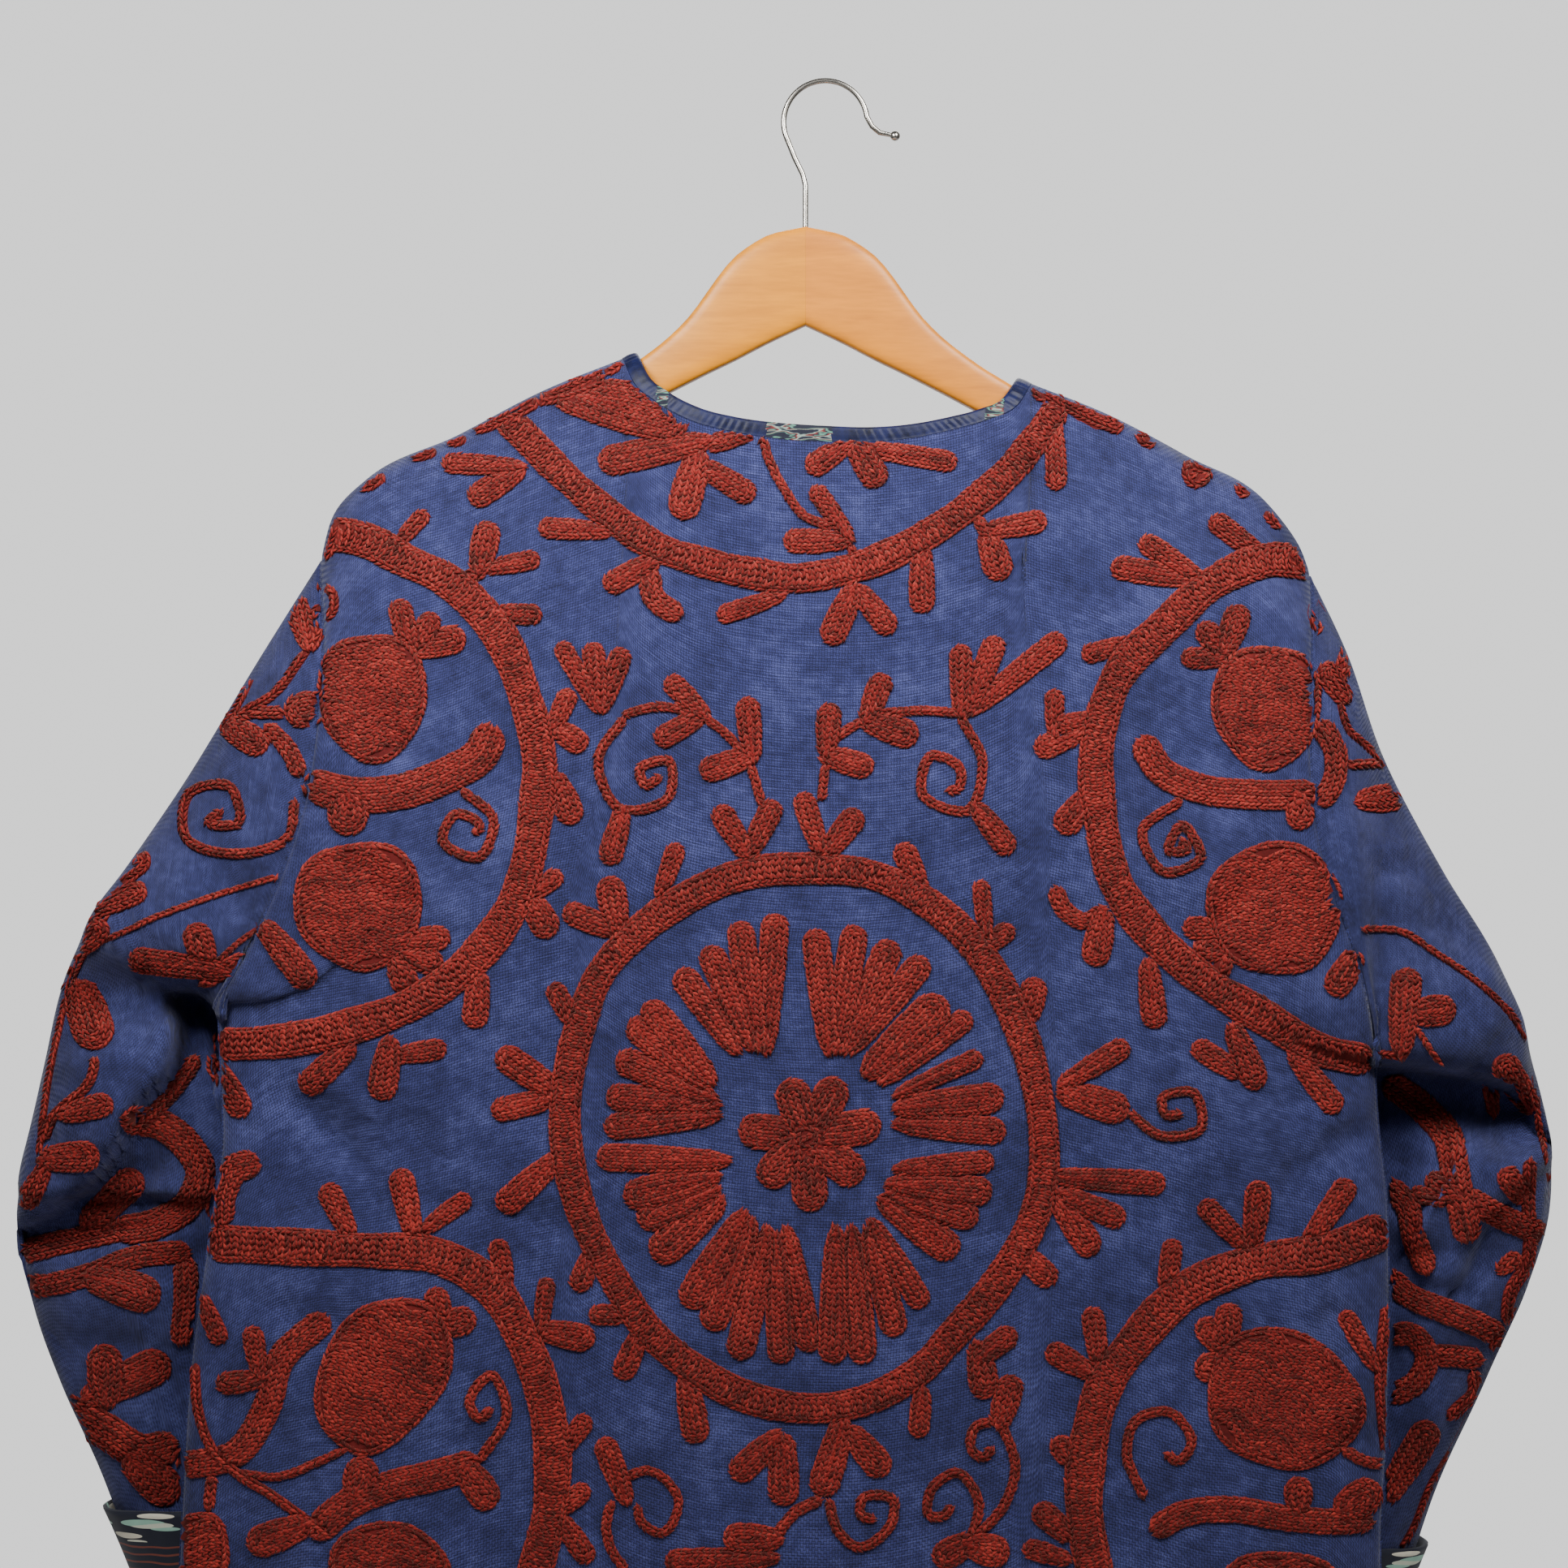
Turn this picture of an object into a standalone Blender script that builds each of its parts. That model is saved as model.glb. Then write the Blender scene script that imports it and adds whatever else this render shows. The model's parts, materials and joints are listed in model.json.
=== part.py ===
"""Embroidered kimono jacket, seen from behind, hanging from a contoured wooden hanger.

Frame: metres, +Z up. The origin is the inside top of the wire hook, where a rail or peg holds
the hanger. The jacket's back faces -Y, and the wearer's left is at -X. The tables are in
millimetres, with the columns that their first comment names.
"""

import math

import bmesh
import bpy
import numpy as np

MM = 0.001

# Cloth
WALL = 2.0 * MM
SEAM_GAP = 0.32 * MM
CENTRE_X = -10.5 * MM
HEM_Z = -950.0 * MM
FRONT_GAP = 28.0 * MM
SHOULDER_ROUND = 11.5 * MM
SHOULDER_ROUND_DROP = 12.0 * MM
DRAPE_DROP = 75.0 * MM
BACK_Y = -46.0 * MM
BACK_CURVE = 11.0 * MM
FRONT_EDGE_Y = 33.0 * MM
FRONT_FULLNESS = 0.62
FRONT_SIDE_FALL = 22.0 * MM
ARM_BOW = 28.0 * MM
ARM_BOW_REACH = 240.0 * MM
UNDERARM_BLEND = 60.0 * MM
SEAM_FLATNESS = 0.45
NECK_TILT = 0.35
SHARP_ANGLE = math.radians(50)

# Powers that bring a shoulder's steps closer at its armhole, and a front neck's at its top
SHOULDER_SPACING = 1.4
NECK_SPACING = 1.5

# Shares of a panel's width or a sleeve's length over which one shape fades into the next
ROUNDING_SHARE = 0.05
EDGE_SHARE = 0.2
COLUMN_SHARE = 0.15
COLUMN_POWER = 6
SEAM_SHARE = 0.12
FOLD_FACING = 0.6
FOLD_START_SHARE = 0.35
FOLD_END_SHARE = 0.25
MASK_STEPS = 3

# Mesh steps, shared by the pieces that meet at a seam
ARMHOLE_STEPS = 12
SKIRT_STEPS = 13
SHOULDER_STEPS = 10
BACK_NECK_STEPS = 14
FRONT_NECK_STEPS = 7
SLEEVE_STEPS = 26
CUFF_STEPS = 4

# Shoulder ridge, from the armhole (0) to the neck point (1): share, x, z
SHOULDERS = {
    "left": ((0.0, -268, -250), (0.1, -261, -225), (0.22, -243, -206), (0.5, -194, -183),
             (0.75, -150, -161), (1.0, -106, -144)),
    "right": ((0.0, 258, -258), (0.1, 251, -240), (0.22, 234, -218), (0.5, 192, -194),
              (0.75, 150, -173), (1.0, 108, -157)),
}
# Back neckline, from the left neck point to the right one: share of its width, z
BACK_NECK = ((0.0, -144), (0.03, -158), (0.08, -168), (0.16, -178), (0.26, -184.5), (0.38, -188.5),
             (0.5, -190), (0.62, -190), (0.72, -187.5), (0.82, -182.5), (0.9, -177), (0.96, -170),
             (1.0, -157))
# Front neckline, from a neck point (0) to the front edge (1): share, share of the way in, drop
FRONT_NECK = ((0.0, 0.0, 0), (0.25, 0.08, 38), (0.5, 0.3, 74), (0.75, 0.62, 99), (1.0, 1.0, 110))
# Armhole seams, from the shoulder (0) to the underarm (1): share, x, z, middle y, half depth
ARMHOLES = {
    "left": ((0.0, -268, -250, 20, 30), (0.2, -262, -297, 14, 43), (0.38, -264, -339, 12, 46),
             (0.55, -270, -379, 10, 45), (0.72, -283, -418, 6, 42), (0.87, -300, -454, -3, 36),
             (1.0, -318, -484, -12, 30)),
    "right": ((0.0, 258, -258, 20, 30), (0.15, 254, -297, 15, 42), (0.35, 251, -347, 12, 46),
              (0.5, 253, -386, 10, 46), (0.65, 262, -423, 7, 43), (0.82, 277, -466, -3, 36),
              (1.0, 287, -512, -12, 30)),
}
# Side seams from the underarm down: drop from the underarm, x, y
SIDES = {
    "left": ((0, -318, -12), (40, -316, -14), (70, -315, -15), (119, -322, -15), (183, -331, -15),
             (259, -336, -15), (330, -339, -15), (466, -341, -15)),
    "right": ((0, 287, -12), (35, 289, -14), (70, 293, -15), (105, 294, -15), (195, 293, -15),
              (250, 290, -15), (340, 293, -15), (438, 297, -15)),
}
# Sleeve rings, from the armhole (0) to the end (1): share, outer x, outer z, inner x, inner z,
# outer y, inner y, half depth
SLEEVES = {
    "left": ((0.00, -268, -250, -318, -484, 20, -12, 45), (0.10, -300, -302, -325, -500, 18, 0, 46),
             (0.20, -338, -365, -322, -525, 18, 17, 47), (0.30, -381, -429, -314, -550, 20, 29, 48),
             (0.38, -404, -470, -309, -574, 24, 35, 48), (0.46, -415, -514, -304, -597, 28, 39, 46),
             (0.54, -426, -562, -300, -620, 34, 42, 43), (0.62, -433, -608, -296, -642, 38, 45, 41),
             (0.70, -426, -646, -291, -664, 42, 47, 40), (0.80, -411, -690, -284, -700, 45, 50, 39),
             (0.90, -388, -742, -272, -742, 47, 52, 38), (1.00, -363, -814, -256, -800, 48, 52, 37)),
    "right": ((0.00, 258, -258, 287, -512, 20, -12, 45), (0.10, 277, -300, 295, -528, 18, 0, 46),
              (0.20, 296, -355, 293, -552, 18, 17, 47), (0.30, 328, -415, 288, -574, 20, 29, 48),
              (0.38, 357, -462, 284, -594, 24, 35, 48), (0.46, 376, -514, 279, -615, 28, 39, 46),
              (0.54, 388, -560, 274, -636, 34, 42, 43), (0.62, 388, -600, 268, -656, 38, 45, 41),
              (0.70, 378, -636, 262, -680, 42, 47, 40), (0.80, 356, -688, 250, -712, 45, 50, 39),
              (0.90, 328, -750, 234, -750, 47, 52, 38), (1.00, 302, -834, 214, -812, 48, 52, 37)),
}
SLEEVE_ROUND = 0.85
ARMHOLE_FADE = 0.3
# Sleeve folds on the back and on the front: top x, top z, bottom x, bottom z, width, depth
SLEEVE_FOLDS = {
    "left": {"back": ((-425, -474, -300, -490, 20, -15), (-420, -436, -312, -448, 24, 8),
                      (-340, -500, -440, -600, 22, 8), (-445, -606, -300, -618, 18, -7),
                      (-430, -670, -300, -690, 22, -5)),
             "front": ((-425, -500, -306, -526, 22, -13), (-420, -446, -312, -470, 26, 7),
                       (-445, -600, -296, -622, 20, -8), (-425, -690, -290, -700, 22, -5))},
    "right": {"back": ((268, -522, 392, -550, 20, -15), (272, -486, 385, -506, 26, 8),
                       (402, -606, 272, -630, 18, -7), (385, -664, 258, -684, 22, -5)),
              "front": ((268, -540, 395, -522, 22, -13), (276, -500, 390, -482, 26, 7),
                        (400, -604, 272, -636, 20, -8), (372, -700, 250, -712, 22, -5))},
}
# Body folds: top x, top z, bottom x, bottom z, width, depth (a trough is below 0)
BACK_FOLDS = (
    (-300, -520, -190, -580, 22, -6), (-296, -560, -220, -600, 20, -5),
    (-120, -640, -150, -960, 34, -7), (70, -660, 95, -960, 34, -7), (-20, -700, -15, -960, 40, 5),
    (-225, -260, -150, -400, 26, -5), (215, -280, 150, -420, 26, -5),
    (262, -560, 200, -620, 22, -5), (200, -720, 215, -960, 30, 5), (-240, -720, -262, -960, 30, 5),
)
FRONT_FOLDS = (
    (-280, -600, -250, -960, 30, 5), (-150, -420, -170, -960, 36, -7), (-70, -620, -85, -960, 30, 6),
    (240, -600, 225, -960, 30, 5), (120, -420, 140, -960, 36, -7), (50, -620, 62, -960, 30, 6),
)

# Turned-back cuffs: where each starts on its sleeve, and how far its free edge stands off
CUFF_STARTS = {"left": 0.92, "right": 0.932}
CUFF_STAND = 3.0 * MM
CUFF_WALL = 2.2 * MM

# Binding strip along the neck and the front edges
BINDING_WIDTH = 7.5 * MM
BINDING_GAP = 0.45 * MM
BINDING_THICK = 3.2 * MM
BINDING_CORNER = (0.75, 0.66)
# The strip's rounding: how far in from its edges each corner is, and how far down
BINDING_ROUNDS = ((1.0 * MM, 0.6 * MM), (1.2 * MM, 1.0 * MM))
NECK_CENTRE_Z = -109.0 * MM

# Hanger: offset from its middle, top z, bottom z, thickness
HANGER_ARM = (
    (0, -75.6, -127.7, 14), (20, -79.5, -137, 14), (38, -91, -146.5, 14), (50, -107, -152, 14),
    (60, -122, -157, 13.5), (74, -135.5, -164, 13), (92, -148.5, -173.5, 13),
    (115, -162, -185, 12.5), (145, -174.5, -197.5, 12), (180, -190, -212, 12),
    (210, -204, -225, 11.5), (226, -212, -230, 10.5), (233, -218, -230, 7), (235.5, -222, -227, 3),
)
HANGER_GAP = 0.3 * MM
HANGER_SIDES = 12
HANGER_SQUARENESS = 0.62

# Hook: bent wire
WIRE_RADIUS = 1.5 * MM
HOOK_RADIUS = 22.0 * MM
HOOK_CENTRE_Z = WIRE_RADIUS - HOOK_RADIUS
HOOK_START_TURN = 205.0
HOOK_END_TURN = 8.0
HOOK_TIP = (34.0 * MM, -27.0 * MM)
BALL_RADIUS = 2.7 * MM
BALL_SECTIONS = (-0.85, -0.4, 0.2, 0.75, 1.0)
BALL_END_RADIUS = 0.35 * MM
WIRE_SIDES = 10
HOOK_BEND_STEPS = 19
# Offsets of the wire from the wood's middle and top: x, height
HOOK_NECK = ((0, 0), (0, 12), (0, 22), (-1.5, 28), (-5.5, 36))
# The wire's turn out to its tip: x, z
HOOK_LIP = ((24.5, -22.5), (28.5, -25.8))


def smooth_rows(rows, at):
    """Read a table's other columns at values of its first one, along smooth cubics."""
    table = np.asarray(rows, float)
    knots, values = table[:, 0], table[:, 1:]
    slopes = np.gradient(values, knots, axis=0)
    at = np.clip(np.atleast_1d(np.asarray(at, float)), knots[0], knots[-1])
    cell = np.clip(np.searchsorted(knots, at, side="right") - 1, 0, len(knots) - 2)
    span = (knots[cell + 1] - knots[cell])[:, None]
    along = (at - knots[cell])[:, None] / span
    start = values[cell] * (2 * along**3 - 3 * along**2 + 1)
    end = values[cell + 1] * (3 * along**2 - 2 * along**3)
    bend = slopes[cell] * (along**3 - 2 * along**2 + along) + slopes[cell + 1] * (along**3 - along**2)
    return start + end + bend * span


def ease(share):
    """Rise smoothly from 0 to 1 as the share does."""
    share = np.clip(share, 0.0, 1.0)
    return share * share * (3 - 2 * share)


def unit(vectors):
    """Scale vectors to length 1."""
    return vectors / np.maximum(np.linalg.norm(vectors, axis=-1, keepdims=True), 1e-12)


def bow(x):
    """Give the forward bow of the hanger's arms, which the shoulder ridge follows."""
    return ARM_BOW * ((x - CENTRE_X) / ARM_BOW_REACH) ** 2


def ring_bulge(turn):
    """Give how far a ring stands back (above 0) or forward (below 0) of its middle."""
    wave = np.sin(2 * math.pi * turn)
    return np.sign(wave) * np.abs(wave) ** SLEEVE_ROUND


def armhole(side, turn):
    """Give points of an armhole seam: turn 0 is the shoulder, 0.25 the back, 0.5 the underarm."""
    turn = np.atleast_1d(turn)
    down = (1 - np.cos(2 * math.pi * turn)) / 2
    x, z, middle, depth = smooth_rows(ARMHOLES[side], down).T * MM
    return np.stack([x, middle - depth * ring_bulge(turn), z], axis=-1)


def ridge_normal(side, share):
    """Give the outward normal of the shoulder ridge, square to it in the XZ plane."""
    step = 0.01
    before, after = smooth_rows(SHOULDERS[side], [max(share - step, 0), min(share + step, 1)])
    run, rise = after - before
    normal = np.array([-rise, 0.0, run])
    return normal / np.linalg.norm(normal) * np.sign(normal[2])


def armhole_normals(side, turn):
    """Give the outward normals that both walls share along an armhole seam."""
    angle = 2 * math.pi * np.atleast_1d(turn)[:, None]
    top = ridge_normal(side, 0.0)
    under = np.array([0.0, 0.0, -1.0])
    upright = np.where(np.cos(angle) > 0, top * np.cos(angle), -under * np.cos(angle))
    return unit(SEAM_FLATNESS * upright + np.array([0.0, -1.0, 0.0]) * np.sin(angle))


def fold_depth(points, folds):
    """Sum soft troughs and ridges along straight lines of the XZ plane."""
    total = np.zeros(points.shape[:-1])
    for x0, z0, x1, z1, width, depth in folds:
        start = np.array([x0, z0]) * MM
        line = np.array([x1, z1]) * MM - start
        length = np.linalg.norm(line)
        away = points[..., [0, 2]] - start
        along = away @ (line / length)
        across = away @ (np.array([-line[1], line[0]]) / length)
        ends = ease(along / (FOLD_START_SHARE * length))
        ends *= ease((length - along) / (FOLD_END_SHARE * length))
        total += depth * MM * ends * np.exp(-((across / (width * MM)) ** 2))
    return total


def sleeve_fold_depth(side, points, turn):
    """Sum the folds that cross a sleeve's back and front."""
    facing = np.sin(2 * math.pi * turn)
    back = fold_depth(points, SLEEVE_FOLDS[side]["back"]) * ease(facing / FOLD_FACING)
    front = fold_depth(points, SLEEVE_FOLDS[side]["front"]) * ease(-facing / FOLD_FACING)
    return back + front


def grid_normals(points, wraps):
    """Give outward normals of a grid of rows running down and columns running across."""
    down = np.gradient(points, axis=0)
    if wraps:
        across = np.roll(points, -1, axis=1) - np.roll(points, 1, axis=1)
    else:
        across = np.gradient(points, axis=1)
    return unit(np.cross(down, across))


def wall_object(name, outer, inner, wraps, colour, roughness):
    """Build one closed wall from its outer and inner grids, rimmed at every free edge."""
    rows, columns = outer.shape[:2]
    mesh = bmesh.new()
    layers = [
        [[mesh.verts.new(point) for point in row] for row in grid] for grid in (outer, inner)
    ]
    steps = range(columns if wraps else columns - 1)
    for row in range(rows - 1):
        for column in steps:
            after = (column + 1) % columns
            for layer, grid in enumerate(layers):
                corners = (grid[row][column], grid[row + 1][column], grid[row + 1][after], grid[row][after])
                mesh.faces.new(corners if layer == 0 else corners[::-1])
    edges = [[(0, column) for column in range(columns)],
             [(rows - 1, column) for column in reversed(range(columns))]]
    if not wraps:
        edges.append([(row, 0) for row in reversed(range(rows))])
        edges.append([(row, columns - 1) for row in range(rows)])
    outside, inside = layers
    for edge in edges:
        pairs = zip(edge, edge[1:] + edge[:1] if wraps else edge[1:])
        for (row_a, column_a), (row_b, column_b) in pairs:
            rim = (outside[row_a][column_a], outside[row_b][column_b],
                   inside[row_b][column_b], inside[row_a][column_a])
            first = 0 if rim[0].co.z >= rim[1].co.z else 1
            mesh.faces.new((rim[first], rim[first + 1], rim[first + 2]))
            mesh.faces.new((rim[first], rim[first + 2], rim[(first + 3) % 4]))
    bmesh.ops.recalc_face_normals(mesh, faces=mesh.faces[:])
    return finish_object(name, mesh, colour, roughness, 0.0)


def finish_object(name, mesh, colour, roughness, metallic):
    """Put a finished bmesh into the scene with its own material."""
    data = bpy.data.meshes.new(name)
    mesh.to_mesh(data)
    mesh.free()
    thing = bpy.data.objects.new(name, data)
    bpy.context.scene.collection.objects.link(thing)
    data.shade_smooth()
    data.set_sharp_from_angle(angle=SHARP_ANGLE)
    material = bpy.data.materials.new(name + "_finish")
    material.use_nodes = True
    shader = material.node_tree.nodes["Principled BSDF"]
    shader.inputs["Base Color"].default_value = (*colour, 1.0)
    shader.inputs["Roughness"].default_value = roughness
    shader.inputs["Metallic"].default_value = metallic
    data.materials.append(material)
    return thing


def edge_rows(side, face):
    """Give a panel's outer edge down the armhole and the side seam: points, normals, gap moves."""
    turns = 0.5 * np.arange(ARMHOLE_STEPS + 1) / ARMHOLE_STEPS
    if face == "front":
        turns = 1.0 - turns
    seam = armhole(side, turns)
    seam_normals = armhole_normals(side, turns)
    inward = np.cross(seam_normals, np.gradient(seam, axis=0))
    inward *= np.sign(CENTRE_X - seam[:, :1]) * np.sign(inward[:, :1])
    below = (np.arange(1, SKIRT_STEPS + 1) / SKIRT_STEPS) * (seam[-1, 2] - HEM_Z)
    x, y = smooth_rows(SIDES[side], below / MM).T * MM
    skirt = np.stack([x, y, seam[-1, 2] - below], axis=-1)
    skirt_normals = np.tile([np.sign(x[0]), 0.0, 0.0], (SKIRT_STEPS, 1))
    moves = np.vstack([unit(inward), np.zeros_like(skirt)]) * SEAM_GAP / 2
    moves[[0, *range(ARMHOLE_STEPS, len(moves))]] += [0.0, face_sign(face) * SEAM_GAP / 2, 0.0]
    return np.vstack([seam, skirt]), np.vstack([seam_normals, skirt_normals]), moves


def face_sign(face):
    """Give -1 for the back, which faces -Y, and 1 for the front."""
    return -1.0 if face == "back" else 1.0


def shoulder_points(side):
    """Give a shoulder ridge from the armhole to the neck point, closer together at the armhole."""
    share = (np.arange(SHOULDER_STEPS + 1) / SHOULDER_STEPS) ** SHOULDER_SPACING
    x, z = smooth_rows(SHOULDERS[side], share).T * MM
    normals = np.array([ridge_normal(side, value) for value in share])
    return np.stack([x, bow(x), z], axis=-1), normals


def back_neck():
    """Give the back neckline from the left neck point to the right one."""
    angle = math.pi * np.arange(BACK_NECK_STEPS + 1) / BACK_NECK_STEPS
    share = (1 - np.cos(angle)) / 2
    left, right = shoulder_points("left")[0][-1], shoulder_points("right")[0][-1]
    x = left[0] + (right[0] - left[0]) * share
    z = smooth_rows(BACK_NECK, share)[:, 0] * MM
    z[[0, -1]] = left[2], right[2]
    return np.stack([x, np.zeros_like(x), z], axis=-1)


def front_neck(side):
    """Give a front neckline from its neck point to the top of the front edge."""
    steps = (np.arange(FRONT_NECK_STEPS + 1) / FRONT_NECK_STEPS) ** NECK_SPACING
    inward, drop = smooth_rows(FRONT_NECK, steps).T
    start = shoulder_points(side)[0][-1]
    x = start[0] + (front_edge_x(side) - start[0]) * inward
    return np.stack([x, np.zeros_like(x), start[2] - drop * MM], axis=-1)


def front_edge_x(side):
    """Give the place of a front panel's opening edge."""
    return CENTRE_X + FRONT_GAP / 2 * (-1 if side == "left" else 1)


def neck_frame(neck, face):
    """Give the outward normals and the directions out of the cloth along a neckline."""
    outward = unit((np.array([CENTRE_X, 0.0, NECK_CENTRE_Z]) - neck) * [1, 0, 1])
    along = np.gradient(neck, axis=0)
    along[0] = (0.0, 1.0, 0.0)
    if face == "back":
        along[-1] = (0.0, 1.0, 0.0)
    normals = np.cross(along, outward)
    toward = np.array([0.0, face_sign(face), NECK_TILT])
    normals *= np.sign(normals @ toward)[:, None]
    return unit(normals), unit(np.cross(np.cross(normals, outward), normals))


def panel(face, side):
    """Give a panel's outer and inner grids, and its neck edge with that edge's frame.

    The back takes both sides, and a front takes its own.
    """
    sides = ("left", "right") if face == "back" else (side,)
    edges = [edge_rows(name, face) for name in sides]
    shoulders = [shoulder_points(name) for name in sides]
    neck = back_neck() if face == "back" else front_neck(side)
    top = np.vstack([shoulders[0][0][:-1], neck])
    if face == "back":
        top = np.vstack([top, shoulders[1][0][-2::-1]])
    first = edges[0][0]
    down = (first[0, 2] - first[:, 2]) / (first[0, 2] - first[-1, 2])
    if face == "back":
        last = edges[1][0]
    else:
        last = top[-1] + down[:, None] * np.array([0.0, 0.0, HEM_Z - top[-1, 2]])
    points = fill_between(first, last, top, down)
    points[..., 1] = panel_depth(points, first, last, top, face)
    facing = 1.0 if face == "back" else np.sign(first[0, 0])
    folds = BACK_FOLDS if face == "back" else FRONT_FOLDS
    depth = fold_depth(points, folds) * edge_mask(points.shape[:2], face)
    points += grid_normals(points, wraps=False) * facing * depth[..., None]
    normals = grid_normals(points, wraps=False) * facing
    neck_columns = slice(SHOULDER_STEPS, SHOULDER_STEPS + len(neck))
    neck_edge = points[0, neck_columns].copy()
    neck_normals, outward = neck_frame(neck_edge, face)
    normals[0, neck_columns] = neck_normals
    normals[0, : SHOULDER_STEPS + 1] = shoulders[0][1]
    normals[:, 0] = edges[0][1]
    points[:, 0] += edges[0][2]
    seam_move = [0.0, face_sign(face) * SEAM_GAP / 2, 0.0]
    points[0, 1 : SHOULDER_STEPS + 1] += seam_move
    if face == "back":
        normals[0, -1 - SHOULDER_STEPS :] = shoulders[1][1][::-1]
        normals[:, -1] = edges[1][1]
        points[:, -1] += edges[1][2]
        points[0, -1 - SHOULDER_STEPS : -1] += seam_move
    return points, points - WALL * normals, (neck_edge, neck_normals, outward)


def fill_between(first, last, top, down):
    """Fill the XZ plane between a panel's two edges, its top and its level hem.

    The top's rise above the line between its corners fades out down the panel, and sooner
    beside the edges, so that no column crosses an armhole.
    """
    across = (top[:, 0] - top[0, 0]) / (top[-1, 0] - top[0, 0])
    nearest = np.minimum(across, 1 - across) if last[0, 0] * first[0, 0] < 0 else across
    power = 1 + COLUMN_POWER * (1 - ease(nearest / COLUMN_SHARE))
    fade = (1 - down[:, None]) ** power[None, :]
    s = across[None, :, None]
    ruled = (1 - s) * first[:, None] + s * last[:, None]
    rise = top[None] - (1 - s) * first[0] - s * last[0]
    return ruled + fade[..., None] * rise


def panel_depth(points, first, last, top, face):
    """Work out how far back or forward a panel hangs: over the hanger, down, and round the side."""
    sign = face_sign(face)
    across = (top[:, 0] - top[0, 0]) / (top[-1, 0] - top[0, 0])
    steps = np.arange(len(top))
    from_start = np.minimum(steps, SHOULDER_STEPS)
    from_end = np.maximum(steps, len(top) - 1 - SHOULDER_STEPS)
    on_right = (steps > len(top) / 2) & (face == "back")
    ridge = np.where(on_right[:, None], top[from_end], top[from_start])
    drop = np.maximum(ridge[None, :, 2] - points[..., 2], 0.0)
    underarm = first[ARMHOLE_STEPS, 2]
    skirt = ease(1 + (underarm - first[:, 2]) / UNDERARM_BLEND)[:, None]
    side_y = first[ARMHOLE_STEPS:, 1].min()
    if face == "back":
        upper = BACK_Y + BACK_CURVE * np.abs(2 * across - 1) ** 4
        lower = side_y - (side_y - BACK_Y) * np.sqrt(1 - np.abs(2 * across - 1) ** 3)
        nearest = np.minimum(across, 1 - across)
    else:
        upper = FRONT_EDGE_Y + FRONT_SIDE_FALL * (1 - across) ** 2
        lower = side_y + (FRONT_EDGE_Y - side_y) * across**FRONT_FULLNESS
        nearest = across
    hanging = upper[None] * (1 - skirt) + lower[None] * skirt
    over = np.sqrt(1 - (1 - np.minimum(drop / SHOULDER_ROUND_DROP, 1)) ** 2)
    top_y = bow(ridge[:, 0])[None] + sign * SHOULDER_ROUND * ease(nearest / ROUNDING_SHARE)[None] * over
    settled = 1 - np.exp(-drop / DRAPE_DROP)
    depth = top_y * (1 - settled) + hanging * settled
    near = np.clip(1 - across / EDGE_SHARE, 0, 1) ** 2
    fixed = depth + (first[:, 1] - depth[:, 0])[:, None] * near[None]
    if face == "back":
        far = np.clip(1 - (1 - across) / EDGE_SHARE, 0, 1) ** 2
        fixed += (last[:, 1] - depth[:, -1])[:, None] * far[None]
    return fixed


def edge_mask(shape, face):
    """Fade folds out at the seams, but not at the hem or at a front edge."""
    rows, columns = shape
    row = np.arange(rows)[:, None]
    column = np.arange(columns)[None, :]
    mask = ease(row / MASK_STEPS) * ease(column / MASK_STEPS)
    if face == "back":
        mask = mask * ease((columns - 1 - column) / MASK_STEPS)
    return mask


def ring_points(side, share, turn):
    """Give points of the sleeve's rings at shares along it and turns round it."""
    ox, oz, ix, iz, oy, iy, depth = (
        values.reshape(share.shape) * MM
        for values in smooth_rows(SLEEVES[side], share.ravel()).T
    )
    down = (1 - np.cos(2 * math.pi * turn)) / 2
    x = ox + (ix - ox) * down
    z = oz + (iz - oz) * down
    y = oy + (iy - oy) * down - depth * ring_bulge(turn)
    return np.stack([x, y, z], axis=-1)


def sleeve_grid(side, shares):
    """Give a sleeve's outer grid and its outward normals at shares along it."""
    turns = np.arange(2 * ARMHOLE_STEPS) / (2 * ARMHOLE_STEPS)
    share, turn = np.meshgrid(shares, turns, indexing="ij")
    start = armhole(side, turns) - ring_points(side, np.zeros_like(turns), turns)
    fade = np.clip(1 - share / ARMHOLE_FADE, 0, 1) ** 2
    points = ring_points(side, share, turn) + start[None] * fade[..., None]
    facing = 1.0 if side == "left" else -1.0
    normals = grid_normals(points, wraps=True) * facing
    folds = sleeve_fold_depth(side, points, turn) * ease(share / SEAM_SHARE)
    points = points + normals * folds[..., None]
    return points, grid_normals(points, wraps=True) * facing


def sleeve(side):
    """Give a sleeve's outer and inner grids."""
    shares = np.arange(SLEEVE_STEPS + 1) / SLEEVE_STEPS
    points, normals = sleeve_grid(side, shares)
    turns = np.arange(2 * ARMHOLE_STEPS) / (2 * ARMHOLE_STEPS)
    normals[0] = armhole_normals(side, turns)
    seam = armhole(side, turns)
    along = np.roll(seam, -1, axis=0) - np.roll(seam, 1, axis=0)
    outward = np.cross(normals[0], along)
    outward *= np.sign(seam[:, :1] - CENTRE_X) * np.sign(outward[:, :1])
    points[0] = seam + unit(outward) * SEAM_GAP / 2
    return points, points - WALL * normals


def cuff(side):
    """Give a turned-back cuff's outer and inner grids, standing off its sleeve at the free edge."""
    steps = np.arange(CUFF_STEPS + 1) / CUFF_STEPS
    shares = CUFF_STARTS[side] + (1 - CUFF_STARTS[side]) * steps
    points, normals = sleeve_grid(side, shares)
    stand = (SEAM_GAP + CUFF_STAND * (1 - steps) ** 2)[:, None, None]
    return points + (stand + CUFF_WALL) * normals, points + stand * normals


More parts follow.
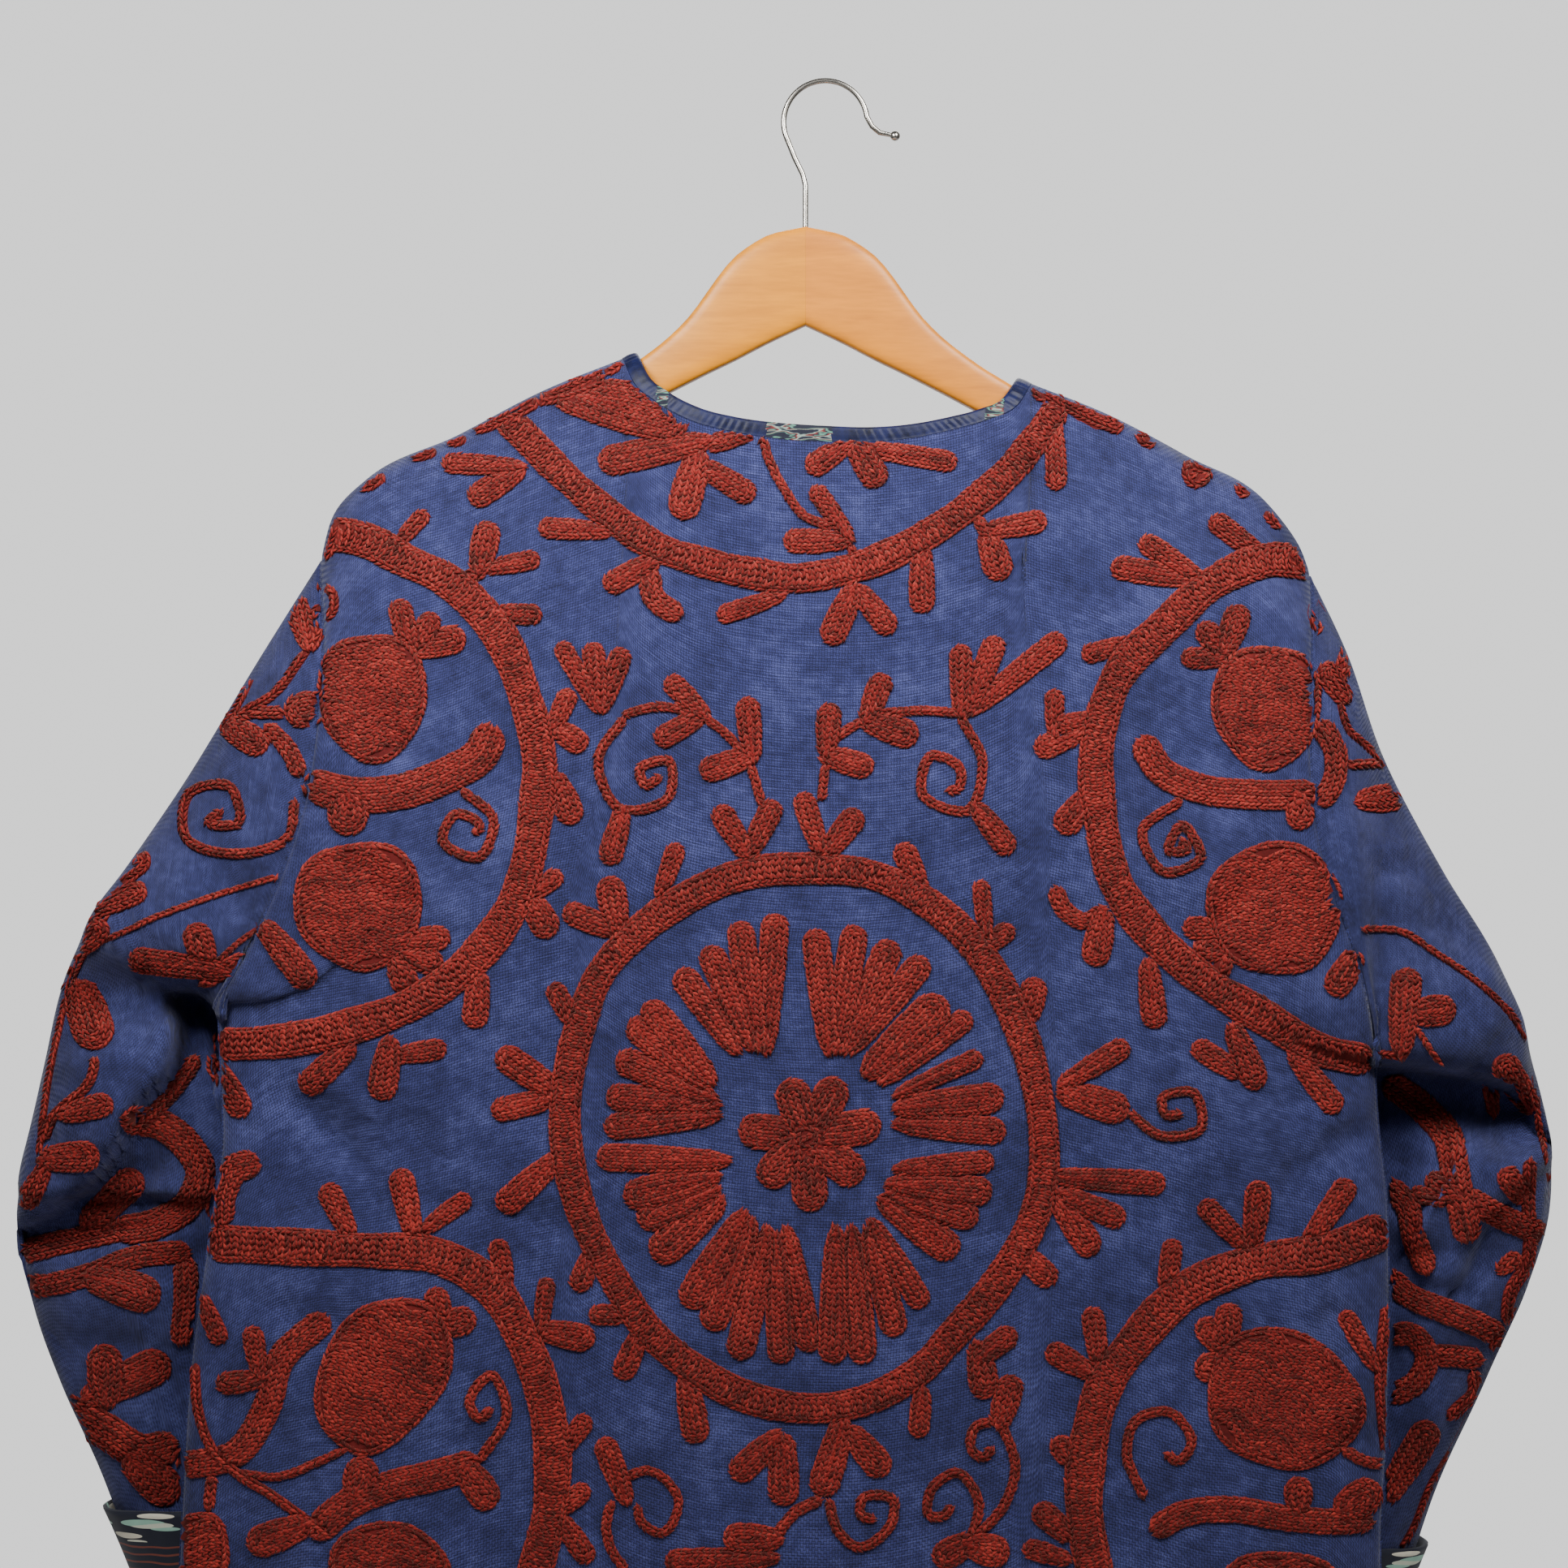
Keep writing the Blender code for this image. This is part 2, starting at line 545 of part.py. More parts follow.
def binding_grid(edge, outward, normals):
    """Give a rounded strip's cross-sections along a cloth edge, as a grid of closed rings."""
    reach = BINDING_WIDTH
    (near_in, near_down), (far_in, far_down) = BINDING_ROUNDS
    top = (BINDING_THICK - WALL) / 2
    low = top - BINDING_THICK
    section = ((0.0, top - near_down), (near_in, top), (reach - far_in, top), (reach, top - far_down),
               (reach, low + far_down), (reach - far_in, low), (near_in, low), (0.0, low + near_down))
    rings = [edge + outward * (BINDING_GAP + out) + normals * up for out, up in section]
    return np.stack(rings, axis=1)


def strip_object(name, rings, colour, roughness):
    """Skin closed rings into one solid and cap its two ends."""
    mesh = bmesh.new()
    grid = [[mesh.verts.new(point) for point in ring] for ring in rings]
    for ring, after in zip(grid, grid[1:]):
        for index in range(len(ring)):
            beside = (index + 1) % len(ring)
            mesh.faces.new((ring[index], ring[beside], after[beside], after[index]))
    mesh.faces.new(grid[0])
    mesh.faces.new(grid[-1][::-1])
    bmesh.ops.recalc_face_normals(mesh, faces=mesh.faces[:])
    return finish_object(name, mesh, colour, roughness, 0.0)


def back_binding():
    """Give the rings of the strip along the back of the neck."""
    edge, normals, outward = panel("back", "both")[2]
    edge[[0, -1], 1] -= SEAM_GAP / 2
    return binding_grid(edge, outward, normals)


def front_binding(side):
    """Give the rings of the strip down a front neckline and its front edge to the hem."""
    points, _, (neck, normals, outward) = panel("front", side)
    neck[0, 1] += SEAM_GAP / 2
    drops = points[1:, -1]
    inward = np.array([1.0 if side == "left" else -1.0, 0.0, 0.0])
    outward[-1] = inward * BINDING_CORNER[0] + np.array([0.0, 0.0, BINDING_CORNER[1]])
    outward = np.vstack([outward, np.tile(inward, (len(drops), 1))])
    normals = np.vstack([normals, np.tile([0.0, 1.0, 0.0], (len(drops), 1))])
    return binding_grid(np.vstack([neck, drops]), outward, normals)


def hanger_half(side):
    """Give the rings of one half of the hanger, from its middle seam to its end."""
    sign = -1.0 if side == "left" else 1.0
    angles = 2 * math.pi * np.arange(HANGER_SIDES) / HANGER_SIDES
    round_y = np.sign(np.cos(angles)) * np.abs(np.cos(angles)) ** HANGER_SQUARENESS
    round_z = np.sign(np.sin(angles)) * np.abs(np.sin(angles)) ** HANGER_SQUARENESS
    rings = []
    for offset, top, bottom, thick in HANGER_ARM:
        x = CENTRE_X + sign * max(offset * MM, HANGER_GAP / 2)
        middle, half = (top + bottom) / 2 * MM, (top - bottom) / 2 * MM
        y = bow(x) + thick / 2 * MM * round_y
        rings.append(np.stack([np.full(HANGER_SIDES, x), y, middle + half * round_z], axis=-1))
    return rings


def hook_object():
    """Bend the hook's wire from the wood's top round to its ball tip."""
    start_z = HANGER_ARM[0][1] * MM + HANGER_GAP
    turns = np.radians(np.linspace(HOOK_START_TURN, HOOK_END_TURN, HOOK_BEND_STEPS))
    route = [(CENTRE_X + across * MM, start_z + up * MM) for across, up in HOOK_NECK]
    route += [
        (HOOK_RADIUS * math.cos(turn), HOOK_CENTRE_Z + HOOK_RADIUS * math.sin(turn)) for turn in turns
    ]
    route += [(across * MM, up * MM) for across, up in HOOK_LIP]
    route.append(HOOK_TIP)
    path = np.array([(x, 0.0, z) for x, z in route])
    rings = []
    directions = unit(np.gradient(path, axis=0))
    directions[0] = (0.0, 0.0, 1.0)
    radii = np.full(len(path), WIRE_RADIUS)
    ball = np.array(BALL_SECTIONS) * BALL_RADIUS
    ball_radii = np.sqrt(np.maximum(BALL_RADIUS**2 - ball**2, BALL_END_RADIUS**2))
    tip = path[-1] + directions[-1] * (BALL_RADIUS + ball[:, None])
    path = np.vstack([path[:-1], tip])
    directions = np.vstack([directions[:-1], np.tile(directions[-1], (len(ball), 1))])
    radii = np.concatenate([radii[:-1], ball_radii])
    side = np.array([0.0, 1.0, 0.0])
    angles = 2 * math.pi * np.arange(WIRE_SIDES) / WIRE_SIDES
    for place, direction, radius in zip(path, directions, radii):
        upward = np.cross(direction, side)
        rings.append([place + radius * (math.cos(a) * side + math.sin(a) * upward) for a in angles])
    return strip_object("hook", rings, (0.75, 0.74, 0.72), 0.18)


def clear_scene():
    """Remove whatever the file holds before the model is made."""
    for thing in list(bpy.data.objects):
        bpy.data.objects.remove(thing, do_unlink=True)


def build():
    """Build every piece of the jacket and its hanger."""
    clear_scene()
    canvas, print_blue = (0.06, 0.11, 0.35), (0.02, 0.03, 0.10)
    satin, maple = (0.015, 0.04, 0.18), (0.72, 0.45, 0.20)
    wall_object("back", *panel("back", "both")[:2], False, canvas, 0.9)
    strip_object("binding_neck", back_binding(), satin, 0.45)
    for side in ("left", "right"):
        wall_object("front_" + side, *panel("front", side)[:2], False, canvas, 0.9)
        wall_object("sleeve_" + side, *sleeve(side), True, canvas, 0.9)
        wall_object("cuff_" + side, *cuff(side), True, print_blue, 0.8)
        strip_object("binding_" + side, front_binding(side), satin, 0.45)
        strip_object("hanger_" + side, hanger_half(side), maple, 0.4)
    hook = hook_object()
    hook.data.materials[0].node_tree.nodes["Principled BSDF"].inputs["Metallic"].default_value = 1.0


build()
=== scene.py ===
"""Looks of an embroidered kimono jacket, seen from behind, on a contoured wooden hanger.

Frame: metres, +Z up. The origin is the inside top of the wire hook. The jacket's back faces -Y,
and the wearer's left is at -X. The tables are in millimetres, with the columns that their first
comment names.
"""

import json
import logging
import math
from collections.abc import Iterator, Sequence
from dataclasses import dataclass, field
from enum import Enum

import bmesh
import bpy
import numpy as np
from mathutils import Vector
from mathutils.bvhtree import BVHTree
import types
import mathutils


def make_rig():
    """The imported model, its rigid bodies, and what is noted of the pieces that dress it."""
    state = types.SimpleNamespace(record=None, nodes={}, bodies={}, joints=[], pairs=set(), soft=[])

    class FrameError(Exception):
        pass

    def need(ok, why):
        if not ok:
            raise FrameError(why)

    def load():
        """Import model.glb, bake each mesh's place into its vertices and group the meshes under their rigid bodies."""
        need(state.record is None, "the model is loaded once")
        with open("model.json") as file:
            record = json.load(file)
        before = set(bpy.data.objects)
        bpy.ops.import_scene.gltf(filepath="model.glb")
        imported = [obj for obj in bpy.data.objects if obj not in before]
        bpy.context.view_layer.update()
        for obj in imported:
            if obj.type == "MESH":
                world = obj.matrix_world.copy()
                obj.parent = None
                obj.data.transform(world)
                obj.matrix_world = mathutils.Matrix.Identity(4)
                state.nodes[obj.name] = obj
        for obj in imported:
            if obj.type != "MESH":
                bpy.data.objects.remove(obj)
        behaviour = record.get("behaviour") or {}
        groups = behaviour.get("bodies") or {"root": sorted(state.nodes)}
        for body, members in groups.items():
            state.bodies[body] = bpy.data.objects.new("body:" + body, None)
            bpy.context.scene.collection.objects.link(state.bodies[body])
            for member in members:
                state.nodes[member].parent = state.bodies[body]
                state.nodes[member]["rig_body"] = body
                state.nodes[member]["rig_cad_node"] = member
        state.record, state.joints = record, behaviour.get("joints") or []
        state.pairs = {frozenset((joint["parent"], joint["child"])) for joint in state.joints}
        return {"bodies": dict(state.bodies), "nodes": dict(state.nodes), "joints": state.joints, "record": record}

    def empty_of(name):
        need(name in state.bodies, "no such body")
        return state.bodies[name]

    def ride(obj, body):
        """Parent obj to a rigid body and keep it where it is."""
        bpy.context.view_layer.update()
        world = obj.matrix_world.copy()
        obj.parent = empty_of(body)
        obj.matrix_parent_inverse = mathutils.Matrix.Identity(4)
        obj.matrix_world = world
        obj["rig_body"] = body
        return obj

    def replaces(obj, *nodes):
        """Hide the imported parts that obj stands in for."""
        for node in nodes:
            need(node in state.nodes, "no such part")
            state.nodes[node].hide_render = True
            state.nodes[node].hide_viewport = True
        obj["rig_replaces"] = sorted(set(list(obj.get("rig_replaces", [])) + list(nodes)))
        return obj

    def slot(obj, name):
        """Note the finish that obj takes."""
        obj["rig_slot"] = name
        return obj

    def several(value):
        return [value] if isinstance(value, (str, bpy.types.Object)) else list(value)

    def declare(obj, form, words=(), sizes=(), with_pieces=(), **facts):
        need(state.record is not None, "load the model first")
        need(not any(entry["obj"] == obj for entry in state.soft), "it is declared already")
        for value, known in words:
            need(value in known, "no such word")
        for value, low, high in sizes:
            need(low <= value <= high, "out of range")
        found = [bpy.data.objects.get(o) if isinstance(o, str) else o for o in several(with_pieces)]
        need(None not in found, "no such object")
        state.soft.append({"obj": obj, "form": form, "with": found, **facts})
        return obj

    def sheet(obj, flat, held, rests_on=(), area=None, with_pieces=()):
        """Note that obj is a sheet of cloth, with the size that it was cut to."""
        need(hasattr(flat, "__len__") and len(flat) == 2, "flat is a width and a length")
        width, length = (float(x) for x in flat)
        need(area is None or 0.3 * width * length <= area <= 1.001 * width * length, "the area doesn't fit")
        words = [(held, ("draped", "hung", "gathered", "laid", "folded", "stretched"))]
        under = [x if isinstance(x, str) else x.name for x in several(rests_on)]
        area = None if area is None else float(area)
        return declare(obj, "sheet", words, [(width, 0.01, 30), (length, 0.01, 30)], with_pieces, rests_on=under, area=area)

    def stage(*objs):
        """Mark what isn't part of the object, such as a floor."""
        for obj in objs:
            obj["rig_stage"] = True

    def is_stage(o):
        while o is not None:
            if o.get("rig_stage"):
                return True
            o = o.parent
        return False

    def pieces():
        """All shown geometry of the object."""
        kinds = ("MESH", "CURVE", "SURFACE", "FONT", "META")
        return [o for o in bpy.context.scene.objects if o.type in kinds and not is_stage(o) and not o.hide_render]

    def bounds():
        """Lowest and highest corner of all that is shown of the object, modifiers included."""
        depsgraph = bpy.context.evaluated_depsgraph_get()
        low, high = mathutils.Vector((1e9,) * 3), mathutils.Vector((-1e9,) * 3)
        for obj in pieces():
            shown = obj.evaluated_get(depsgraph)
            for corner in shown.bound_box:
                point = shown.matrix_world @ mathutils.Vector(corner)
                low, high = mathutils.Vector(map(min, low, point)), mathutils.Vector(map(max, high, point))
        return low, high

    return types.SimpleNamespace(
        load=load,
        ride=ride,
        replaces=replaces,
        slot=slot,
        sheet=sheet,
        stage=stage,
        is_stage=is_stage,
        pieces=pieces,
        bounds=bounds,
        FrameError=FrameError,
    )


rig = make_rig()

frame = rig.load()
CAD_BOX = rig.bounds()
CAD_LOW, CAD_HIGH = (np.array(corner, float) for corner in CAD_BOX)

# Short names for types
Array = np.ndarray
Mesh = bpy.types.Mesh
Node = bpy.types.Node
Object = bpy.types.Object
Tree = bpy.types.NodeTree
Inputs = dict[str | int, object]
Stops = Sequence[tuple[float, str]]
Table = Sequence[Sequence[float]]

LOG = logging.getLogger("kimono_jacket")
MM = 0.001
SIZE_FILE = "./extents.json"
# The cloth's own measure in metres, and a wave texture's scale for one wave a metre
UV_NAME = "cloth_measure"
WAVES_A_METRE = 0.314
# Settings of a node that multiplies two colours
MULTIPLIED = {"data_type": "RGBA", "blend_type": "MULTIPLY"}

# How close points are joined, and how sharp an edge stays sharp on a solid strip
WELD_DISTANCE = 0.001 * MM
SHARP_ANGLE = math.radians(50)

# Cloth, as the frame's own pieces are cut
WALL = 2.0 * MM
SEAM_GAP = 0.32 * MM
SHOULDER_SEAM_REACH = 70.0 * MM
SHOULDER_SEAM_DROP = 22.0 * MM
CENTRE_X = -10.5 * MM
HEM_Z = -950.0 * MM
FRONT_GAP = 28.0 * MM
SHOULDER_ROUND = 11.5 * MM
SHOULDER_ROUND_DROP = 12.0 * MM
DRAPE_DROP = 75.0 * MM
BACK_Y = -46.0 * MM
BACK_CURVE = 11.0 * MM
BACK_CURVE_POWER = 4
BACK_SIDE_POWER = 3
FRONT_EDGE_Y = 33.0 * MM
FRONT_FULLNESS = 0.62
FRONT_SIDE_FALL = 22.0 * MM
ARM_BOW = 28.0 * MM
ARM_BOW_REACH = 240.0 * MM
UNDERARM_BLEND = 60.0 * MM
NECK_TILT = 0.35
SLEEVE_ROUND = 0.85
ARMHOLE_FADE = 0.3
NECK_CENTRE_Z = -109.0 * MM
SHOULDER_SPACING = 1.4
NECK_SPACING = 1.5

# The viewer that the tables were measured for, and the upright plane that they were measured on
EYE = (-0.0218, -1.845, -0.3686)
TABLE_Y = -45.0 * MM

# Shares of a panel's width or a sleeve's length over which one shape fades into the next
ROUNDING_SHARE = 0.05
EDGE_SHARE = 0.2
COLUMN_SHARE = 0.15
COLUMN_POWER = 6
SEAM_SHARE = 0.12
FOLD_FACING = 0.6
FOLD_START_SHARE = 0.35
FOLD_END_SHARE = 0.25
MASK_STEPS = 3
CREASE_GAIN = 2.3
LEDGE_SHARPNESS = 6.0 * MM
LEDGE_LIP = 6.0 * MM
LEDGE_RISE = 3.0
LEDGE_END = 14.0 * MM
LEDGE_ROOM = 0.8
LEDGE_FACING = 0.25
LEDGE_SEAM_SHARE = 0.05

# Mesh steps of the frame's pieces, which each cut multiplies by its own detail
ARMHOLE_STEPS = 12
SKIRT_STEPS = 13
SHOULDER_STEPS = 10
BACK_NECK_STEPS = 14
FRONT_NECK_STEPS = 7
SLEEVE_STEPS = 26
# Just short of a grid's last step, in steps from its end
PAST_LAST_CELL = 1.001
# Steps of a smooth line before it is laid out evenly
FINE_STEP = 0.5 * MM
FEWEST_STEPS = 8
# Steps of the padded ground and of the rows on it, and the places across a strip of ground
GROUND_STEP = 3 * MM
STEM_STEP = 2.2 * MM
ROW_STEP = 1.5 * MM
NARROWEST = 0.05 * MM
END_SHARE = 0.05
RIBBON_SHARES = np.array([-1.0, -0.8, -0.3, 0.3, 0.8, 1.0])


class Side(Enum):
    """The wearer's two sides."""

    LEFT = "left"
    RIGHT = "right"


class Face(Enum):
    """The jacket's two faces, with the direction along Y that each looks in."""

    BACK = -1.0
    FRONT = 1.0


# Shoulder ridge, from the armhole (0) to the neck point (1): share, x, z
SHOULDERS = {
    Side.LEFT: (
        (0.0, -268, -250), (0.1, -261, -225), (0.22, -243, -206), (0.5, -194, -183), (0.75, -150, -161),
        (1.0, -106, -144),
    ),
    Side.RIGHT: (
        (0.0, 258, -258), (0.1, 251, -240), (0.22, 234, -218), (0.5, 192, -194), (0.75, 150, -173),
        (1.0, 108, -157),
    ),
}
# Back neckline, from the left neck point to the right one: share of its width, z
BACK_NECK = (
    (0.0, -144), (0.03, -158), (0.08, -168), (0.16, -178), (0.26, -184.5), (0.38, -188.5), (0.5, -190),
    (0.62, -190), (0.72, -187.5), (0.82, -182.5), (0.9, -177), (0.96, -170), (1.0, -157),
)
# Front neckline, from a neck point (0) to the front edge (1): share, share of the way in, drop
FRONT_NECK = ((0.0, 0.0, 0), (0.25, 0.08, 38), (0.5, 0.3, 74), (0.75, 0.62, 99), (1.0, 1.0, 110))
# Armhole seams, from the shoulder (0) to the underarm (1): share, x, z, middle y, half depth
ARMHOLES = {
    Side.LEFT: (
        (0.0, -268, -250, 20, 30), (0.2, -262, -297, 14, 43), (0.38, -264, -339, 12, 46),
        (0.55, -270, -379, 10, 45), (0.72, -283, -418, 6, 42), (0.87, -300, -454, -3, 36),
        (1.0, -318, -484, -12, 30),
    ),
    Side.RIGHT: (
        (0.0, 258, -258, 20, 30), (0.15, 254, -297, 15, 42), (0.35, 251, -347, 12, 46),
        (0.5, 253, -386, 10, 46), (0.65, 262, -423, 7, 43), (0.82, 277, -466, -3, 36),
        (1.0, 287, -512, -12, 30),
    ),
}
# Side seams from the underarm down: drop from the underarm, x, y
SIDES = {
    Side.LEFT: (
        (0, -318, -12), (40, -316, -14), (70, -315, -15), (119, -322, -15), (183, -331, -15),
        (259, -336, -15), (330, -339, -15), (466, -341, -15),
    ),
    Side.RIGHT: (
        (0, 287, -12), (35, 289, -14), (70, 293, -15), (105, 294, -15), (195, 293, -15), (250, 290, -15),
        (340, 293, -15), (438, 297, -15),
    ),
}
# Sleeve rings, from the armhole (0) to the end (1): share, outer x, outer z, inner x, inner z,
# outer y, inner y, half depth
SLEEVES = {
    Side.LEFT: (
        (0.0, -268, -250, -318, -484, 20, -12, 45), (0.1, -300, -302, -315, -500, 18, 0, 46),
        (0.2, -338, -365, -310, -525, 18, 17, 47), (0.3, -381, -429, -305, -550, 20, 29, 48),
        (0.38, -404, -470, -300, -574, 24, 35, 48), (0.46, -415, -514, -304, -597, 28, 39, 46),
        (0.54, -426, -562, -300, -620, 34, 42, 43), (0.62, -433, -608, -296, -642, 38, 45, 41),
        (0.7, -426, -646, -291, -664, 42, 47, 40), (0.8, -411, -690, -284, -700, 45, 50, 39),
        (0.9, -388, -742, -272, -742, 47, 52, 38), (1.0, -363, -814, -256, -800, 48, 52, 37),
    ),
    Side.RIGHT: (
        (0.0, 258, -258, 287, -512, 20, -12, 45), (0.1, 277, -300, 288, -528, 18, 0, 46),
        (0.2, 296, -355, 283, -552, 18, 17, 47), (0.3, 328, -415, 280, -574, 20, 29, 48),
        (0.38, 357, -462, 277, -594, 24, 35, 48), (0.46, 376, -514, 279, -615, 28, 39, 46),
        (0.54, 388, -560, 274, -636, 34, 42, 43), (0.62, 388, -600, 268, -656, 38, 45, 41),
        (0.7, 378, -636, 262, -680, 42, 47, 40), (0.8, 356, -688, 250, -712, 45, 50, 39),
        (0.9, 328, -750, 234, -750, 47, 52, 38), (1.0, 302, -834, 214, -812, 48, 52, 37),
    ),
}
# Sleeve folds on the back and on the front: top x, top z, bottom x, bottom z, width, depth
SLEEVE_FOLDS = {
    Side.LEFT: {
        Face.BACK: (
            (-425, -474, -300, -490, 20, -15), (-420, -436, -312, -448, 24, 8),
            (-340, -500, -440, -600, 22, 8), (-445, -606, -300, -618, 18, -7),
            (-430, -670, -300, -690, 22, -5),
        ),
        Face.FRONT: (
            (-425, -500, -306, -526, 22, -13), (-420, -446, -312, -470, 26, 7),
            (-445, -600, -296, -622, 20, -8), (-425, -690, -290, -700, 22, -5),
        ),
    },
    Side.RIGHT: {
        Face.BACK: (
            (268, -522, 392, -550, 20, -15), (272, -486, 385, -506, 26, 8),
            (402, -606, 272, -630, 18, -7), (385, -664, 258, -684, 22, -5),
        ),
        Face.FRONT: (
            (268, -540, 395, -522, 22, -13), (276, -500, 390, -482, 26, 7),
            (400, -604, 272, -636, 20, -8), (372, -700, 250, -712, 22, -5),
        ),
    },
}
# Body folds: top x, top z, bottom x, bottom z, width, depth (a trough is below 0)
BACK_FOLDS = (
    (-300, -520, -190, -580, 22, -6), (-296, -560, -220, -600, 20, -5), (-120, -640, -150, -960, 34, -7),
    (70, -660, 95, -960, 34, -7), (-20, -700, -15, -960, 40, 5), (-225, -260, -150, -400, 26, -5),
    (215, -280, 150, -420, 26, -5), (262, -560, 200, -620, 22, -5), (200, -720, 215, -960, 30, 5),
    (-240, -720, -262, -960, 30, 5),
)
FRONT_FOLDS = (
    (-280, -600, -250, -960, 30, 5), (-150, -420, -170, -960, 36, -7), (-70, -620, -85, -960, 30, 6),
    (240, -600, 225, -960, 30, 5), (120, -420, 140, -960, 36, -7), (50, -620, 62, -960, 30, 6),
)

# Fine creases that the solids leave out, in the same columns
BACK_CREASES = (
    (-214, -580, -120, -600, 7, -1.6), (-205, -600, -130, -622, 6, -1.2),
    (-120, -560, -90, -700, 9, -1.5), (-180, -470, -140, -560, 8, -1.2), (40, -560, 66, -700, 9, -1.4),
    (110, -520, 140, -640, 9, -1.3), (-70, -690, -84, -900, 7, -1.8), (-170, -700, -176, -930, 8, -1.6),
    (20, -760, 30, -950, 7, -1.6), (120, -740, 128, -950, 8, -1.6), (240, -720, 236, -940, 8, -1.5),
    (-290, -640, -230, -650, 8, -1.4), (-300, -600, -240, -612, 6, 1.2), (230, -570, 284, -560, 7, -1.4),
    (170, -620, 262, -600, 8, -1.4), (-150, -200, -120, -300, 9, -1.1), (120, -215, 90, -310, 9, -1.1),
    (-60, -205, -50, -300, 8, -1.0), (20, -205, 30, -290, 8, -1.0), (-250, -300, -200, -380, 8, -1.6),
    (238, -320, 190, -400, 8, -1.6), (-262, -400, -200, -440, 7, -1.4), (244, -400, 190, -450, 7, -1.4),
    (-40, -620, -30, -760, 8, 1.2), (-255, -540, -180, -548, 6, -1.0), (-10, -860, 6, -950, 9, 1.6),
    (-130, -830, -120, -950, 9, 1.6), (-290, -518, -238, -572, 6, -1.6), (-272, -512, -216, -548, 6, 1.3),
    (-262, -540, -224, -590, 6, -1.2), (240, -545, 288, -534, 7, 1.8), (250, -556, 286, -549, 6, -1.5),
    (212, -528, 256, -540, 7, -1.0), (-196, -690, -160, -742, 7, -1.4), (-90, -330, -60, -402, 8, -1.0),
    (96, -350, 74, -410, 8, 1.0), (250, -640, 288, -650, 7, -1.4), (244, -700, 290, -690, 7, 1.3),
    (-318, -690, -270, -704, 7, -1.3),
)
FRONT_CREASES = (
    (-200, -300, -160, -420, 9, -1.5), (170, -300, 140, -420, 9, -1.5), (-260, -400, -190, -450, 8, -1.6),
    (250, -410, 180, -460, 8, -1.6), (-120, -560, -128, -760, 9, -1.5), (90, -560, 100, -760, 9, -1.5),
    (-60, -700, -66, -940, 8, -1.6), (44, -720, 40, -940, 8, -1.6), (-210, -650, -216, -930, 9, -1.6),
    (190, -640, 196, -930, 9, -1.6), (-290, -560, -220, -600, 8, -1.5), (268, -580, 200, -620, 8, -1.5),
)
SLEEVE_CREASES = {
    Side.LEFT: {
        Face.BACK: (
            (-440, -590, -310, -592, 5, -6), (-440, -583, -310, -584, 6, 3),
            (-330, -404, -285, -440, 8, -2.2), (-352, -410, -300, -462, 9, 2.2),
            (-372, -440, -330, -462, 7, -2.4), (-398, -462, -322, -494, 8, -3.4),
            (-414, -520, -352, -508, 8, 2.6), (-420, -548, -370, -566, 8, -2.4),
            (-402, -590, -340, -530, 11, 3.4), (-425, -606, -330, -560, 7, -3.2),
            (-334, -480, -372, -556, 8, -3.4), (-425, -640, -330, -636, 8, 2.2),
            (-420, -664, -320, -670, 8, -2.2), (-400, -716, -300, -716, 9, 1.8),
            (-386, -752, -292, -742, 9, -1.8), (-318, -372, -280, -392, 8, -1.6),
            (-300, -330, -276, -352, 7, -1.3),
        ),
        Face.FRONT: (
            (-398, -462, -322, -480, 9, -2.6), (-420, -540, -340, -556, 9, 2.4),
            (-425, -580, -340, -586, 8, -2.4), (-420, -650, -320, -652, 9, -2.0),
            (-390, -740, -300, -742, 9, -1.8), (-340, -400, -290, -430, 8, -1.8),
        ),
    },
    Side.RIGHT: {
        Face.BACK: (
            (278, -404, 306, -401, 6, 1.8), (283, -416, 318, -438, 8, 2.4),
            (276, -410, 312, -416, 6, -1.6), (296, -430, 346, -456, 7, -2.6),
            (322, -488, 352, -462, 7, 2.4), (306, -500, 336, -476, 7, -2.4),
            (372, -500, 330, -520, 8, -2.6), (282, -540, 360, -572, 9, 2.6),
            (300, -560, 380, -590, 8, -3.0), (372, -620, 286, -600, 9, 2.4),
            (366, -650, 280, -640, 8, -2.4), (344, -700, 262, -700, 9, 1.8),
            (332, -740, 250, -734, 9, -1.8), (268, -330, 282, -352, 7, -1.3),
            (266, -372, 296, -384, 7, -1.6), (300, -622, 346, -629, 7, 3.0),
            (294, -646, 334, -644, 6, 2.4), (300, -634, 350, -640, 6, -2.2),
            (330, -480, 352, -496, 6, 1.8),
        ),
        Face.FRONT: (
            (366, -482, 300, -500, 9, -2.6), (384, -560, 300, -572, 9, 2.4),
            (380, -600, 300, -610, 8, -2.4), (364, -660, 280, -668, 9, -2.0),
            (336, -740, 252, -742, 9, -1.8), (310, -400, 270, -430, 8, -1.8),
        ),
    },
}

# Ledges where a sleeve's upper cloth laps over its lower cloth, which lies on the left of the way
# along each: how far the lower cloth drops at the start and at the end, how far it takes to come
# back, and the points x, z
SLEEVE_LEDGES = {
    Side.LEFT: (
        (
            40, 14, 50, (-300, -503), (-312, -486), (-324, -475), (-340, -476), (-337, -494),
            (-341, -513), (-360, -539), (-379, -570), (-398, -586), (-422, -598),
        ),
        (7, 4, 16, (-430, -612), (-380, -606), (-330, -598)),
    ),
    Side.RIGHT: (
        (14, 44, 66, (369, -545), (364, -532), (343, -519), (312, -514), (285, -512), (262, -511)),
        (7, 5, 16, (372, -560), (340, -590), (322, -625)),
    ),
}

# Turned-back cuffs: where each starts on its sleeve, and how far its free edge stands off
CUFF_STARTS = {Side.LEFT: 0.92, Side.RIGHT: 0.932}
CUFF_STAND = 3.0 * MM
CUFF_WALL = 2.2 * MM

